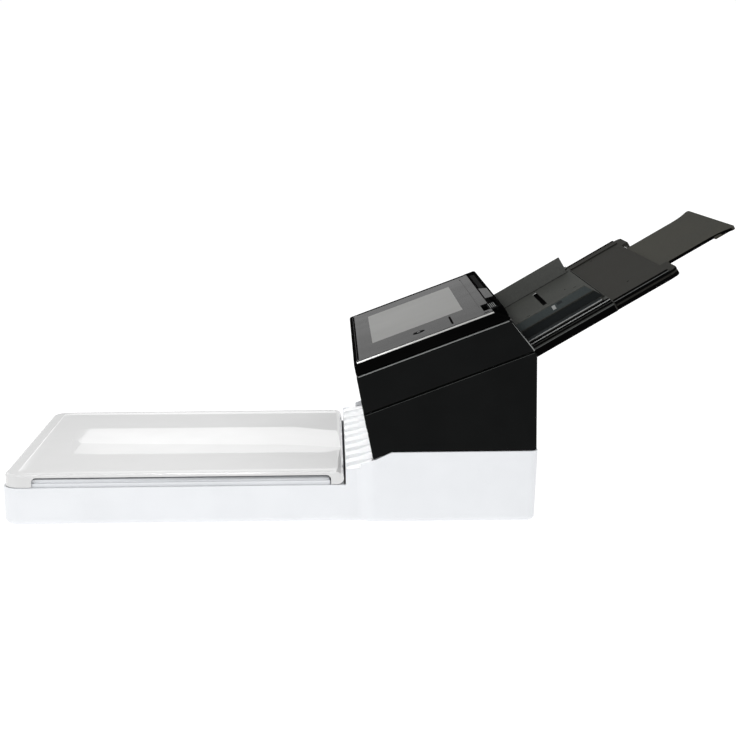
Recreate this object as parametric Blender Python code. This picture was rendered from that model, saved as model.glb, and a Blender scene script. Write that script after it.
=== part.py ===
"""Document scanner: a flatbed unit with a hinged lid in front of a sheet-feeder head and its paper tray.

Metres, +Z up, -Y is the front. Lengths along Y are measured from the lid's front edge and heights from
the desk, in the machine frame. The tray and the feed path are drawn in the slope frame, whose second
axis runs up the tray and whose third axis stands off it. The touch panel has a frame of its own.
"""

import math

import bmesh
import bpy
from mathutils import Matrix, Vector

# Clearances and walls shared by all pieces
GAP = 0.0003
SEAM = 0.0006
OVERRUN = 0.004
CASE_WALL = 0.0025
CASE_EDGE = 0.002

# The largest sheet, which sets the widths and lengths of everything that holds or carries paper
PAPER_HALF = 0.105
PAPER_LENGTH = 0.297

# Base casing
SHOULDER_WIDTH = 0.006
LID_TOP = 0.056
BASE_RIM = 0.0425
BASE_FRONT = 0.002
FRONT_CORNER = 0.018
REAR_CORNER = 0.008
LEAST_CORNER = 0.001
SHOULDER_BEHIND_LID = 0.012
SHOULDER_LENGTH = 0.020
BODY_BEHIND_LID = 0.197
REAR_DRAFT = 0.003
CASE_BOTTOM = 0.0035
BOTTOM_EDGE = 0.0055
REAR_TOP = 0.0769
LID_REAR_GAP = 0.0019
CHEEK_TOP = 0.0585
CHEEK_LENGTH = 0.015
CHEEK_STEP = 0.006
HEAD_BEHIND_LID = 0.0296
HEAD_FOOT_Z = 0.0690
HEAD_STEP_LENGTH = 0.0186
BOSS_RADIUS = 0.004
FOOT_SIZE = (0.014, 0.032)
FOOT_CORNER = 0.005
FOOT_TAPER = 0.001
FOOT_INSET = 0.026
FOOT_FRONT_Y = 0.034
FOOT_REAR_INSET = 0.033

# Platen frame, glass and lid
FRAME_INSET = 0.0028
FRAME_UNDERSIDE = 0.0405
FRAME_STRIP = 0.0016
FRAME_LEDGE_TOP = 0.0464
FRAME_RIM_INSET = 0.0048
FRAME_RIM_TOP = 0.050
FRAME_POST_INSET = 0.016
GLASS_SIDE_SPARE = 0.011
GLASS_SIDE_MARGIN = 0.034
GLASS_FRONT = 0.009
GLASS_END_SPARE = 0.016
GLASS_REAR_MARGIN = 0.023
GLASS_THICKNESS = 0.003
GLASS_SINK = 0.0014
GLASS_LEDGE = 0.0055
LID_SKIRT = 0.0022
LID_SKIN = 0.003
LID_EDGE = 0.0025
LID_REAR_CORNER = 0.004
RECESS_FRONT = 0.029
RECESS_REAR_MARGIN = 0.013
RECESS_LIP = 0.0031
RECESS_CORNER = 0.005
CHANNEL_FRONT = 0.050
CHANNEL_DEPTH = 0.0015
CHANNEL_SLOPE = 0.014
LINER_THICKNESS = 0.0015
LINER_INSET = 0.007
PAD_MARGIN = 0.003
PAD_BOTTOM_GAP = 0.0006
LUG_INSET = 0.035
LUG_WIDTH = 0.010
LUG_HEAD_SLACK = 0.00035
LUG_STEM_HALF = 0.0024
LUG_NOTCH_SLACK = 0.0006
LID_PIN_RADIUS = 0.0015
LID_PIN_REACH = 0.003

# Flatbed drive
ROD_X = -0.045
ROD_Z = 0.0145
ROD_RADIUS = 0.0035
CARRIAGE_HALF_LENGTH = 0.020
CARRIAGE_BOTTOM = 0.019
CARRIAGE_TOP = 0.036
CARRIAGE_HOME_INSET = 0.043
SENSOR_SPARE = 0.0035
SENSOR_HALF_LENGTH = 0.0117
SENSOR_BOTTOM = 0.0225
SENSOR_TOP = 0.0452
SHOE_WALL = 0.003
SHOE_HALF_LENGTH = 0.014
BELT_X = 0.060
BELT_BOTTOM = 0.0115
BELT_HEIGHT = 0.005
BELT_THICKNESS = 0.001
BELT_PULLEY_RADIUS = 0.0055
BELT_IDLER_Y = 0.013
BELT_DRIVE_INSET = 0.0105
BELT_CLAMP_THICKNESS = 0.003
BELT_CLAMP_HALF = 0.010
PULLEY_BORE = 0.002
BELT_MOTOR_RADIUS = 0.010
BELT_MOTOR_BOTTOM = 0.0195

# Exit ramp between the lid and the head
RAMP_SIDE_GAP = 0.003
RAMP_WALL = 0.0022
RAMP_LOW_Z = 0.0505
RAMP_MIDDLE_BEHIND_LID = 0.028
RAMP_MIDDLE_Z = 0.0600
RAMP_TOP_Z = 0.0620
RIB_COUNT = 10
RIB_WIDTH = 0.0145
RIB_FRONT_HEIGHT = 0.0058
RIB_CREST_HEIGHT = 0.0075
RIB_CREST_LENGTH = 0.004
RIB_TOP_SLOPE = 0.002

# Head casings, in side view
HEAD_LEAN = math.radians(10.9)
PANEL_SLOPE = math.radians(20.2)
COVER_SPLIT_Z = 0.1155
PANEL_SPLIT_Z = 0.1546
PANEL_FRONT_Z = 0.1678
PANEL_LENGTH = 0.1604
HEAD_BACK_STEP = 0.0028
HEAD_BACK_FOOT = 0.0008
HEAD_BACK_TOP = 0.1755
COVER_BACK_STEP = 0.0019
COVER_BACK_RUN = 0.0244
THROAT_LIP = 0.006

# Cover hinge
HINGE_DEPTH = 0.0147
ARM_INSET = 0.004
ARM_WIDTH = 0.005
ARM_RADIUS = 0.004
ARM_HEIGHT = 0.048
ARM_BRIDGE_DROP = 0.020
ARM_NOTCH_SLACK = 0.0008
COVER_PIN_RADIUS = 0.0025
COVER_PIN_SEAT = 0.0016
COVER_PIN_TAIL = 0.0005

# Touch panel, in the panel frame: x, along the slope, off the face
PANEL_SHELL_TOP = 0.0047
PANEL_SOLID_REAR = 0.026
FASCIA_THICKNESS = 0.0014
FASCIA_SIDE_MARGIN = 0.006
FASCIA_FRONT_MARGIN = 0.0038
FASCIA_REAR_MARGIN = 0.0203
FASCIA_CORNER = 0.006
SCREEN_LEFT_MARGIN = 0.049
SCREEN_RIGHT_MARGIN = 0.079
SCREEN_START = 0.0224
SCREEN_LENGTH = 0.1007
KEY_INSET = 0.0425
KEY_ALONG = 0.0719
KEY_RADIUS = 0.005
KEY_PROUD = 0.0003
KEY_FLANGE = 0.0015
REAR_CHAMFER_INSET = 0.018
REAR_CHAMFER_LENGTH = 0.0126
STRIP_RECESS_INSET = 0.020
STRIP_RECESS_MARGIN = 0.0040
STRIP_RECESS_LENGTH = 0.013
STRIP_RECESS_DEPTH = 0.002
LEVER_WIDTH = 0.0375
LEVER_INSET = 0.0195
LEVER_POCKET_MARGIN = 0.0040
LEVER_POCKET_LENGTH = 0.0153
LEVER_POCKET_DEPTH = 0.006
LEVER_FINGER_GAP = 0.0056
LEVER_THICKNESS = 0.0026
LEVER_AXIS_BACK = 0.0022
LEVER_PIN_RADIUS = 0.001
LEVER_PIN_REACH = 0.0012

# Slope frame: its origin is on the tray's underside, where the tray leaves the head
SLOPE_BEHIND_BODY = 0.0018
SLOPE_Z = 0.1745
SLOPE_ANGLE = math.radians(30)
TRAY_INSET = 0.006
TRAY_START = -0.040
TRAY_END = 0.088
TRAY_TOP = 0.0112
TRAY_SIDE = 0.0016
TRAY_SKIN = 0.001
TONGUE_LOW = 0.0045
TONGUE_HEIGHT = 0.001
TONGUE_DEPTH = 0.001
TRAY_EDGE_RADIUS = 0.003
INNER_TOP = 0.0084
INNER_START = 0.031
INNER_END = 0.1603
INNER_PLATE = 0.0033
INNER_SIDE = 0.0025
INNER_RIM_WIDTH = 0.027
INNER_CORNER = 0.009
INNER_NOTCH_DEPTH = 0.0078
INNER_NOTCH_INSET = 0.050
INNER_TRAVEL = 0.068
RAIL_WIDTH = 0.0025
RAIL_LIP = 0.008
RAIL_LIP_THICKNESS = 0.0007
RAIL_END = 0.135
OUTER_INSET = 0.062
OUTER_FLARE_WIDTH = 0.011
OUTER_START = 0.138
OUTER_END = 0.238
OUTER_FLARE_LENGTH = 0.024
OUTER_THICKNESS = 0.0035
OUTER_GRIP_LENGTH = 0.022
OUTER_GRIP_DROP = 0.001
OUTER_CORNER = 0.004
OUTER_TRAVEL = 0.075

# Paper side guides with their racks
GUIDE_PAPER_SLACK = 0.0032
GUIDE_WALL = 0.003
GUIDE_HEIGHT = 0.0203
GUIDE_START = -0.030
GUIDE_END = 0.083
GUIDE_SLOPE_START = -0.012
GUIDE_LOW_HEIGHT = 0.011
GUIDE_FLANGE = 0.0145
GUIDE_FLANGE_THICKNESS = 0.0016
GUIDE_SLOT_S = 0.037
GUIDE_SLOT_WIDTH = 0.0052
GUIDE_NARROWEST = 0.0282
GUIDE_STEM = 0.004
RACK_THICKNESS = 0.0011
RACK_DEPTH = 0.004
RACK_PASS = 0.004
RACK_MODULE = 0.001
RACK_PINION_TEETH = 26
RACK_BOSS_RADIUS = 0.0025
POCKET_SLACK = 0.0015

# Feed path and its rollers, in the slope frame
PATH_FLOOR = 0.0109
PATH_GAP = 0.0045
PATH_PLATE = 0.002
PATH_STRAIGHT_END = -0.135
PATH_CURVE = 0.073
PATH_EXIT_ANGLE = math.radians(60)
EXIT_Z = 0.0660
GUIDE_PLATE_OVERHANG = 0.0018
INNER_GUIDE_INSET = 0.0105
INNER_GUIDE_END_Z = 0.0745
UPPER_NIP = -0.060
THROAT_S = -0.014
THROAT_N = 0.0433
SHAFT_RADIUS = 0.003
ROLLER_PROUD = 0.0008
NIP_GAP = 0.0004
PICK_S = -0.053
PICK_RADIUS = 0.010
PICK_HALF = 0.025
FEED_S = -0.074
FEED_RADIUS = 0.010
FEED_TYRE_WIDTH = 0.030
FEED_TYRE_SPACING = 0.060
EJECT_S = -0.125
EJECT_RADIUS = 0.008
EJECT_TYRE_WIDTH = 0.016
EJECT_TYRE_SPACING = 0.050
SEPARATION_RADIUS = 0.009
SEPARATION_HALF = 0.018
SEPARATION_SHAFT_HALF = 0.030
PINCH_RADIUS = 0.006
EAR_THICKNESS = 0.004
EAR_HALF = 0.0055
WINDOW_SLACK = 0.0015
SCAN_BAR_S = -0.101
SCAN_BAR_HALF_LENGTH = 0.012
SCAN_BAR_SPARE = 0.0075
SCAN_BAR_FLANGE = 0.002
SCAN_BAR_DEPTH = 0.016

# Metal side frames, feed motor and gears
SIDE_FRAME_SPARE = 0.013
SIDE_FRAME_THICKNESS = 0.0015
SIDE_FRAME_FRONT_MARGIN = 0.0077
SIDE_FRAME_BACK_MARGIN = 0.005
MODULE = 0.001
GEAR_FACE = 0.006
GEAR_OFFSET = 0.0015
PICK_TEETH = 18
FEED_TEETH = 18
EJECT_TEETH = 14
SMALL_IDLER_TEETH = 16
LARGE_IDLER_TEETH = 44
MOTOR_TEETH = 12
MESH_SLACK = 0.0001
ADDENDUM = 0.0008
DEDENDUM = 0.00115
MOTOR_RADIUS = 0.017
MOTOR_LENGTH = 0.034
IDLER_STUB_RADIUS = 0.0025

# Electrics
BOARD_FRONT_INSET = 0.0174
BOARD_BACK_INSET = 0.008
BOARD_SPARE = 0.007
BOARD_Z = 0.0183
BOARD_THICKNESS = 0.0016
BOARD_POST_INSET = 0.008
CHIP_HEIGHT = 0.002
SOCKET_DEPTH = 0.018
SOCKET_WALL = 0.0012
POWER_INLET_INSET = 0.012
POWER_INLET_SIZE = (0.012, 0.011)
POWER_INLET_BORE = 0.004
POWER_INLET_PIN = 0.001
POWER_INLET_PIN_SINK = 0.006
USB_SPACING = 0.032
USB_SIZE = (0.0125, 0.0115)
NETWORK_SPACING = 0.034
NETWORK_SIZE = (0.0165, 0.0135)
SWITCH_INSET = 0.056
SWITCH_Z = 0.040
SWITCH_HALF = 0.006
SWITCH_HALF_HEIGHT = 0.009
SWITCH_FACE = 0.0012
SWITCH_BODY = 0.006
SWITCH_SLACK = 0.0016
SWITCH_CHEEK = 0.002
SWITCH_PIN_RADIUS = 0.0015
SWITCH_TILT = math.radians(7)

# Counts and shares
CORNER_STEPS = 5
CURVE_STEPS = 6
ROUND_SIDES = 24
PIN_SIDES = 16
SMOOTH_ANGLE = math.radians(35)
TOOTH_ROOT_SHARE = 0.54
TOOTH_TIP_SHARE = 0.22
FLARE_SHARES = (0.0, 0.35, 0.65, 0.85, 1.0)
CHIP_SHARES = ((-0.55, 0.30, 0.22, 0.20), (0.10, 0.35, 0.30, 0.26), (0.62, 0.62, 0.16, 0.30), (-0.15, 0.78, 0.20, 0.10))
FLOOR_EASE_SHARE = 0.8
CHANNEL_SHARE = 0.4

# Widths worked out from the sheet's
GLASS_HALF = PAPER_HALF + GLASS_SIDE_SPARE
FLATBED_HALF = GLASS_HALF + GLASS_SIDE_MARGIN
REAR_HALF = FLATBED_HALF + SHOULDER_WIDTH
CHANNEL_HALF = FLATBED_HALF * CHANNEL_SHARE
LUG_PLACE = FLATBED_HALF - LUG_INSET
SENSOR_HALF = PAPER_HALF + SENSOR_SPARE
RAMP_HALF = FLATBED_HALF - RAMP_SIDE_GAP
SCREEN_LEFT = SCREEN_LEFT_MARGIN - REAR_HALF
SCREEN_RIGHT = REAR_HALF - SCREEN_RIGHT_MARGIN
KEY_X = REAR_HALF - KEY_INSET
REAR_CHAMFER_HALF = REAR_HALF - REAR_CHAMFER_INSET
STRIP_RECESS_LEFT = STRIP_RECESS_INSET - REAR_HALF
LEVER_RIGHT = REAR_HALF - LEVER_INSET
LEVER_LEFT = LEVER_RIGHT - LEVER_WIDTH
TRAY_HALF = REAR_HALF - TRAY_INSET
INNER_NOTCH_HALF = TRAY_HALF - INNER_NOTCH_INSET
OUTER_HALF = TRAY_HALF - OUTER_INSET
OUTER_FLARE_HALF = OUTER_HALF + OUTER_FLARE_WIDTH
GUIDE_FACE = PAPER_HALF + GUIDE_PAPER_SLACK
GUIDE_TRAVEL = GUIDE_FACE - GUIDE_NARROWEST
SIDE_FRAME_X = PAPER_HALF + SIDE_FRAME_SPARE
GUIDE_PLATE_HALF = SIDE_FRAME_X + GUIDE_PLATE_OVERHANG
INNER_GUIDE_HALF = REAR_HALF - INNER_GUIDE_INSET
SCAN_BAR_HALF = PAPER_HALF + SCAN_BAR_SPARE
BOARD_HALF = PAPER_HALF + BOARD_SPARE
POWER_INLET_X = POWER_INLET_INSET - BOARD_HALF
USB_X = POWER_INLET_X + USB_SPACING
NETWORK_X = USB_X + NETWORK_SPACING
SWITCH_X = REAR_HALF - SWITCH_INSET

# Places along Y worked out from the sheet's length
GLASS_LENGTH = PAPER_LENGTH + GLASS_END_SPARE
LID_LENGTH = GLASS_FRONT + GLASS_LENGTH + GLASS_REAR_MARGIN
SHOULDER_START = LID_LENGTH + SHOULDER_BEHIND_LID
BODY_BACK = LID_LENGTH + BODY_BEHIND_LID
HEAD_FOOT_Y = LID_LENGTH + HEAD_BEHIND_LID
FOOT_REAR_Y = BODY_BACK - FOOT_REAR_INSET
RAMP_MIDDLE_Y = LID_LENGTH + RAMP_MIDDLE_BEHIND_LID
HEAD_BACK = BODY_BACK - HEAD_BACK_STEP
COVER_BACK_Y = HEAD_BACK - COVER_BACK_STEP
COVER_TOP_BACK_Y = COVER_BACK_Y - COVER_BACK_RUN
SLOPE_Y = BODY_BACK + SLOPE_BEHIND_BODY
BOARD_FRONT = HEAD_FOOT_Y + BOARD_FRONT_INSET
BOARD_BACK = BODY_BACK - BOARD_BACK_INSET
CARRIAGE_HOME_Y = LID_LENGTH - CARRIAGE_HOME_INSET
BELT_DRIVE_Y = LID_LENGTH - BELT_DRIVE_INSET

# Places along the touch panel
FASCIA_END = PANEL_LENGTH - FASCIA_REAR_MARGIN
REAR_CHAMFER_ALONG = PANEL_LENGTH - REAR_CHAMFER_LENGTH
STRIP_RECESS_START = PANEL_LENGTH - STRIP_RECESS_MARGIN - STRIP_RECESS_LENGTH
LEVER_POCKET_START = PANEL_LENGTH - LEVER_POCKET_MARGIN - LEVER_POCKET_LENGTH


def linear(channel):
    """One sRGB channel, 0 to 1, as linear light."""
    return channel / 12.92 if channel <= 0.04045 else ((channel + 0.055) / 1.055) ** 2.4


def finish(name, colour, roughness, metallic=0.0, alpha=1.0):
    """A Principled BSDF material whose colour is an sRGB hex value."""
    material = bpy.data.materials.new(name)
    material.use_nodes = True
    shader = material.node_tree.nodes["Principled BSDF"]
    channels = [linear(((colour >> shift) & 255) / 255) for shift in (16, 8, 0)]
    shader.inputs["Base Color"].default_value = (*channels, 1.0)
    shader.inputs["Roughness"].default_value = roughness
    shader.inputs["Metallic"].default_value = metallic
    shader.inputs["Alpha"].default_value = alpha
    return material


def add_empty(name, location, parent=None, tilt=0.0):
    """An empty that carries pieces: a frame, or a joint's axis in its parent's frame."""
    empty = bpy.data.objects.new(name, None)
    bpy.context.scene.collection.objects.link(empty)
    empty.location = location
    empty.rotation_euler = (tilt, 0, 0)
    empty.parent = parent
    return empty


def joint_axis(name, location, frame):
    """An empty on a joint's axis. Pieces on it are still drawn in the frame's coordinates."""
    axis = add_empty(name, location, frame)
    axis["drawn_from_frame"] = True
    return axis


def add_object(name, shape, holder):
    """A mesh object from a shape drawn in the holder's frame, with its faces turned outwards."""
    mesh = bpy.data.meshes.new(name)
    if holder.get("drawn_from_frame"):
        bmesh.ops.translate(shape, verts=shape.verts, vec=-Vector(holder.location))
    bmesh.ops.recalc_face_normals(shape, faces=shape.faces)
    shape.to_mesh(mesh)
    shape.free()
    piece = bpy.data.objects.new(name, mesh)
    bpy.context.scene.collection.objects.link(piece)
    piece.parent = holder
    return piece


def add_piece(name, shape, material, holder, smooth=False):
    """A sub-part: one named object with its own material."""
    piece = add_object(name, shape, holder)
    piece.data.materials.append(material)
    if smooth:
        piece.data.shade_smooth()
        piece.data.set_sharp_from_angle(angle=SMOOTH_ANGLE)
    return piece


def add_tool(piece, shape, operation, holder):
    """A hidden shape that a Boolean takes from the piece or joins to it."""
    tool = add_object(f"{piece.name}_tool", shape, holder or piece.parent)
    tool.hide_render = True
    tool.display_type = "WIRE"
    boolean = piece.modifiers.new(tool.name, "BOOLEAN")
    boolean.operation = operation
    boolean.solver = "EXACT"
    boolean.object = tool


def cut(piece, *shapes, holder=None):
    """Takes shapes from the piece."""
    for shape in shapes:
        add_tool(piece, shape, "DIFFERENCE", holder)


def fuse(piece, *shapes, holder=None):
    """Joins shapes to the piece."""
    for shape in shapes:
        add_tool(piece, shape, "UNION", holder)


def soften(piece, width, segments=2):
    """Rounds the piece's sharp edges."""
    bevel = piece.modifiers.new("rounded_edges", "BEVEL")
    bevel.width = width
    bevel.segments = segments
    bevel.limit_method = "ANGLE"


def loft(rings):
    """A closed shape bridged through rings of equally many points, capped at both ends."""
    shape = bmesh.new()
    loops = []
    for ring in rings:
        corners = [shape.verts.new(point) for point in ring]
        loops.append([shape.edges.new(pair) for pair in zip(corners, corners[1:] + corners[:1])])
    for low, high in zip(loops, loops[1:]):
        bmesh.ops.bridge_loops(shape, edges=low + high)
    for end in (loops[0], loops[-1]):
        bmesh.ops.contextual_create(shape, geom=end)
    return shape


def extrude(outline, low, high, along="X"):
    """An outline in the other two axes, extruded along one axis."""
    lay = {"X": lambda a, b, t: (t, a, b), "Y": lambda a, b, t: (a, t, b), "Z": lambda a, b, t: (a, b, t)}[along]
    shape = bmesh.new()
    end = shape.faces.new([shape.verts.new(lay(a, b, low)) for a, b in outline])
    grown = bmesh.ops.extrude_face_region(shape, geom=[end])["geom"]
    moved = [element for element in grown if isinstance(element, bmesh.types.BMVert)]
    bmesh.ops.translate(shape, verts=moved, vec=lay(0, 0, high - low))
    return shape


def box(low, high):
    """A box between two corners."""
    low, high = Vector(low), Vector(high)
    shape = bmesh.new()
    size = Matrix.Diagonal((*(high - low), 1))
    bmesh.ops.create_cube(shape, size=1, matrix=Matrix.Translation((low + high) / 2) @ size)
    return shape


def turned(profile, centre, sides=ROUND_SIDES):
    """A piece turned about a line along X through centre. The profile lists (x, radius)."""
    shape = bmesh.new()
    corners = [shape.verts.new((x, centre[0] + radius, centre[1])) for x, radius in profile]
    edges = [shape.edges.new(pair) for pair in zip(corners, corners[1:])]
    axis = (1, 0, 0)
    bmesh.ops.spin(shape, geom=corners + edges, cent=(0, *centre), axis=axis, angle=math.tau, steps=sides, use_merge=True)
    bmesh.ops.holes_fill(shape, edges=[edge for edge in shape.edges if edge.is_boundary])
    return shape


def arc(centre, radius, start, end, steps=CORNER_STEPS):
    """Points on an arc, with angles in degrees."""
    turns = [math.radians(start + (end - start) * i / steps) for i in range(steps + 1)]
    return [(centre[0] + radius * math.cos(turn), centre[1] + radius * math.sin(turn)) for turn in turns]


def circle(centre, radius, sides=PIN_SIDES):
    """Points round a circle."""
    return arc(centre, radius, 0, 360 - 360 / sides, sides - 1)


def rounded_rectangle(low, high, radii):
    """A rectangle's outline with one radius for each corner: low, high-low, high, low-high."""
    outline = []
    centres = ((low[0], low[1], 1, 1), (high[0], low[1], -1, 1), (high[0], high[1], -1, -1), (low[0], high[1], 1, -1))
    for (x, y, toward_x, toward_y), radius, start in zip(centres, radii, (180, 270, 0, 90)):
        outline += arc((x + toward_x * radius, y + toward_y * radius), radius, start, start + 90)
    return outline


def leaned(point, centre, angle):
    """A point turned about a centre."""
    run, rise = point[0] - centre[0], point[1] - centre[1]
    turned_run = run * math.cos(angle) - rise * math.sin(angle)
    return centre[0] + turned_run, centre[1] + run * math.sin(angle) + rise * math.cos(angle)


def mirrored(low, high):
    """The two spans of x from low to high, on the right and on the left."""
    return (("right", low, high), ("left", -high, -low))


def front_face(z):
    """Y of the head's leaning front face at a height."""
    return HEAD_FOOT_Y - (z - HEAD_FOOT_Z) * math.tan(HEAD_LEAN)


def split_z(y):
    """Height of the seam between the lower case and the feeder cover."""
    return COVER_SPLIT_Z + (y - front_face(COVER_SPLIT_Z)) * math.tan(PANEL_SLOPE)


def panel_split_z(y):
    """Height of the seam between the feeder cover and the panel housing."""
    return PANEL_SPLIT_Z + (y - front_face(PANEL_SPLIT_Z)) * math.tan(PANEL_SLOPE)


def in_machine(s, n):
    """A point of the slope frame as (y, z) of the machine frame."""
    along, off = math.cos(SLOPE_ANGLE), math.sin(SLOPE_ANGLE)
    return SLOPE_Y + s * along - n * off, SLOPE_Z + s * off + n * along


def in_panel(y, z):
    """A machine point as (along, off) in the panel frame."""
    along, off = y - PANEL_ORIGIN[0], z - PANEL_ORIGIN[1]
    turn = PANEL_SLOPE
    return along * math.cos(turn) + off * math.sin(turn), off * math.cos(turn) - along * math.sin(turn)


def feed_path(height):
    """Machine (y, z) points of the path's curved end at a height over its floor, going down to the exit."""
    y, z = in_machine(PATH_STRAIGHT_END, PATH_FLOOR)
    centre = (y + PATH_CURVE * math.sin(SLOPE_ANGLE), z - PATH_CURVE * math.cos(SLOPE_ANGLE))
    first, last = 90 + math.degrees(SLOPE_ANGLE), 90 + math.degrees(PATH_EXIT_ANGLE)
    return arc(centre, PATH_CURVE + height, first, last, CURVE_STEPS)


def exit_point(height, z):
    """Machine (y, z) where the path's straight end, at a height over its floor, comes down to z."""
    y_start, z_start = feed_path(height)[-1]
    return y_start - (z_start - z) / math.tan(PATH_EXIT_ANGLE), z


# Places worked out from the sizes above
LID_NOSE = (LID_TOP - BASE_RIM - SEAM) / 2
LID_AXIS = (LID_LENGTH - LID_NOSE, LID_TOP - LID_NOSE)
LUG_HEAD = LID_NOSE - LID_SKIN - LUG_HEAD_SLACK
LINER_BOTTOM = LID_TOP - LID_SKIN - GAP - LINER_THICKNESS
GLASS_TOP = FRAME_RIM_TOP - GLASS_SINK
CASE_FLOOR = CASE_BOTTOM + CASE_WALL
RAMP_FRONT = LID_LENGTH + LID_REAR_GAP + GAP
SEAM_NORMAL = (math.sin(PANEL_SLOPE), -math.cos(PANEL_SLOPE))
COVER_AXIS = (
    front_face(COVER_SPLIT_Z) + CASE_WALL / 2 + SEAM_NORMAL[0] * HINGE_DEPTH,
    COVER_SPLIT_Z + SEAM_NORMAL[1] * HINGE_DEPTH,
)
HEAD_INNER = REAR_HALF - CASE_WALL
ARM_OUTER = REAR_HALF - ARM_INSET
PANEL_ORIGIN = (front_face(PANEL_FRONT_Z), PANEL_FRONT_Z)
OUTER_TOP = INNER_TOP - INNER_PLATE - GAP
ROLLER_TOP = PATH_FLOOR + ROLLER_PROUD
PICK_N = ROLLER_TOP - PICK_RADIUS
FEED_N = ROLLER_TOP - FEED_RADIUS
EJECT_N = ROLLER_TOP - EJECT_RADIUS
SEPARATION_N = ROLLER_TOP + NIP_GAP + SEPARATION_RADIUS
PINCH_N = ROLLER_TOP + NIP_GAP + PINCH_RADIUS
UPPER_FLOOR = PATH_FLOOR + PATH_GAP
SIDE_FRAME_FRONT = in_machine(EJECT_S, EJECT_N)[0] - SIDE_FRAME_FRONT_MARGIN
SIDE_FRAME_BACK = in_machine(PICK_S, PICK_N)[0] + SIDE_FRAME_BACK_MARGIN
GEAR_RIGHT = -SIDE_FRAME_X - SIDE_FRAME_THICKNESS - GEAR_OFFSET
GEAR_LEFT = GEAR_RIGHT - GEAR_FACE
MACHINE_BACK = SLOPE_Y + OUTER_END * math.cos(SLOPE_ANGLE) - (
    OUTER_TOP - OUTER_THICKNESS - OUTER_GRIP_DROP
) * math.sin(SLOPE_ANGLE)
MIDDLE_Y = (MACHINE_BACK - BASE_FRONT) / 2
RACK_TOP = TRAY_TOP - TRAY_SKIN - GAP
RACK_PINION_RADIUS = RACK_MODULE * RACK_PINION_TEETH / 2
FLOOR_UNDERSIDE = INNER_TOP + GAP


def third_corner(a, b, from_a, from_b):
    """The point under the line from a to b that lies at the two distances from them, and its angle at a."""
    span = math.dist(a, b)
    angle = math.atan2(b[1] - a[1], b[0] - a[0])
    inner = math.acos((from_a**2 + span**2 - from_b**2) / (2 * from_a * span))
    turn = angle + inner
    return a[0] + from_a * math.cos(turn), a[1] + from_a * math.sin(turn)


def centre_distance(teeth, other_teeth):
    """Distance between the shafts of two gears in mesh."""
    return MODULE * (teeth + other_teeth) / 2 + MESH_SLACK


PICK_CENTRE = (PICK_S, PICK_N)
FEED_CENTRE = (FEED_S, FEED_N)
EJECT_CENTRE = (EJECT_S, EJECT_N)
SMALL_IDLER_CENTRE = third_corner(
    PICK_CENTRE,
    FEED_CENTRE,
    centre_distance(PICK_TEETH, SMALL_IDLER_TEETH),
    centre_distance(FEED_TEETH, SMALL_IDLER_TEETH),
)
LARGE_IDLER_CENTRE = third_corner(
    FEED_CENTRE,
    EJECT_CENTRE,
    centre_distance(FEED_TEETH, LARGE_IDLER_TEETH),
    centre_distance(EJECT_TEETH, LARGE_IDLER_TEETH),
)
MOTOR_CENTRE = (LARGE_IDLER_CENTRE[0], LARGE_IDLER_CENTRE[1] - centre_distance(MOTOR_TEETH, LARGE_IDLER_TEETH))


def angle_between(a, b):
    """Direction from a to b in the slope frame."""
    return math.atan2(b[1] - a[1], b[0] - a[0])


def meshed_phase(direction, phase, teeth, other_teeth):
    """Phase of a gear so that it meshes with one of a known phase, which lies back along the direction."""
    share = ((direction - phase) / (math.tau / teeth)) % 1
    return direction + math.pi - (0.5 - share) * math.tau / other_teeth


def gear_outline(centre, teeth, module, phase):
    """Straight-flanked teeth, thinner than the space between them."""
    pitch_radius = module * teeth / 2
    root, tip = pitch_radius - DEDENDUM, pitch_radius + ADDENDUM
    step = math.tau / teeth
    outline = []
    for tooth in range(teeth):
        middle = phase + tooth * step
        for radius, share in ((root, -TOOTH_ROOT_SHARE), (tip, -TOOTH_TIP_SHARE), (tip, TOOTH_TIP_SHARE), (root, TOOTH_ROOT_SHARE)):
            turn = middle + share * step / 2
            outline.append((centre[0] + radius * math.cos(turn), centre[1] + radius * math.sin(turn)))
    return outline


def casing_outline(inset, back):
    """The base seen from above: narrow rounded front, shoulders, wider rear body."""
    half, rear = FLATBED_HALF - inset, REAR_HALF - inset
    front = inset - BASE_FRONT
    nose = max(FRONT_CORNER - inset, LEAST_CORNER)
    heel = max(REAR_CORNER - inset, LEAST_CORNER)
    shoulder = []
    for i in range(CORNER_STEPS + 1):
        share = i / CORNER_STEPS
        ease = share * share * (3 - 2 * share)
        shoulder.append((half + (rear - half) * ease, SHOULDER_START + SHOULDER_LENGTH * share))
    outline = arc((nose - half, front + nose), nose, 180, 270) + arc((half - nose, front + nose), nose, 270, 360)
    outline += shoulder + arc((rear - heel, back - heel), heel, 0, 90)
    outline += arc((heel - rear, back - heel), heel, 90, 180)
    return outline + [(-x, y) for x, y in reversed(shoulder)]


def flatbed_outline(inset, back, rear_radius):
    """The lid or platen frame seen from above."""
    half = FLATBED_HALF - inset
    nose = max(FRONT_CORNER - inset, LEAST_CORNER)
    return rounded_rectangle((-half, inset), (half, back), (nose, nose, rear_radius, rear_radius))


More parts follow.
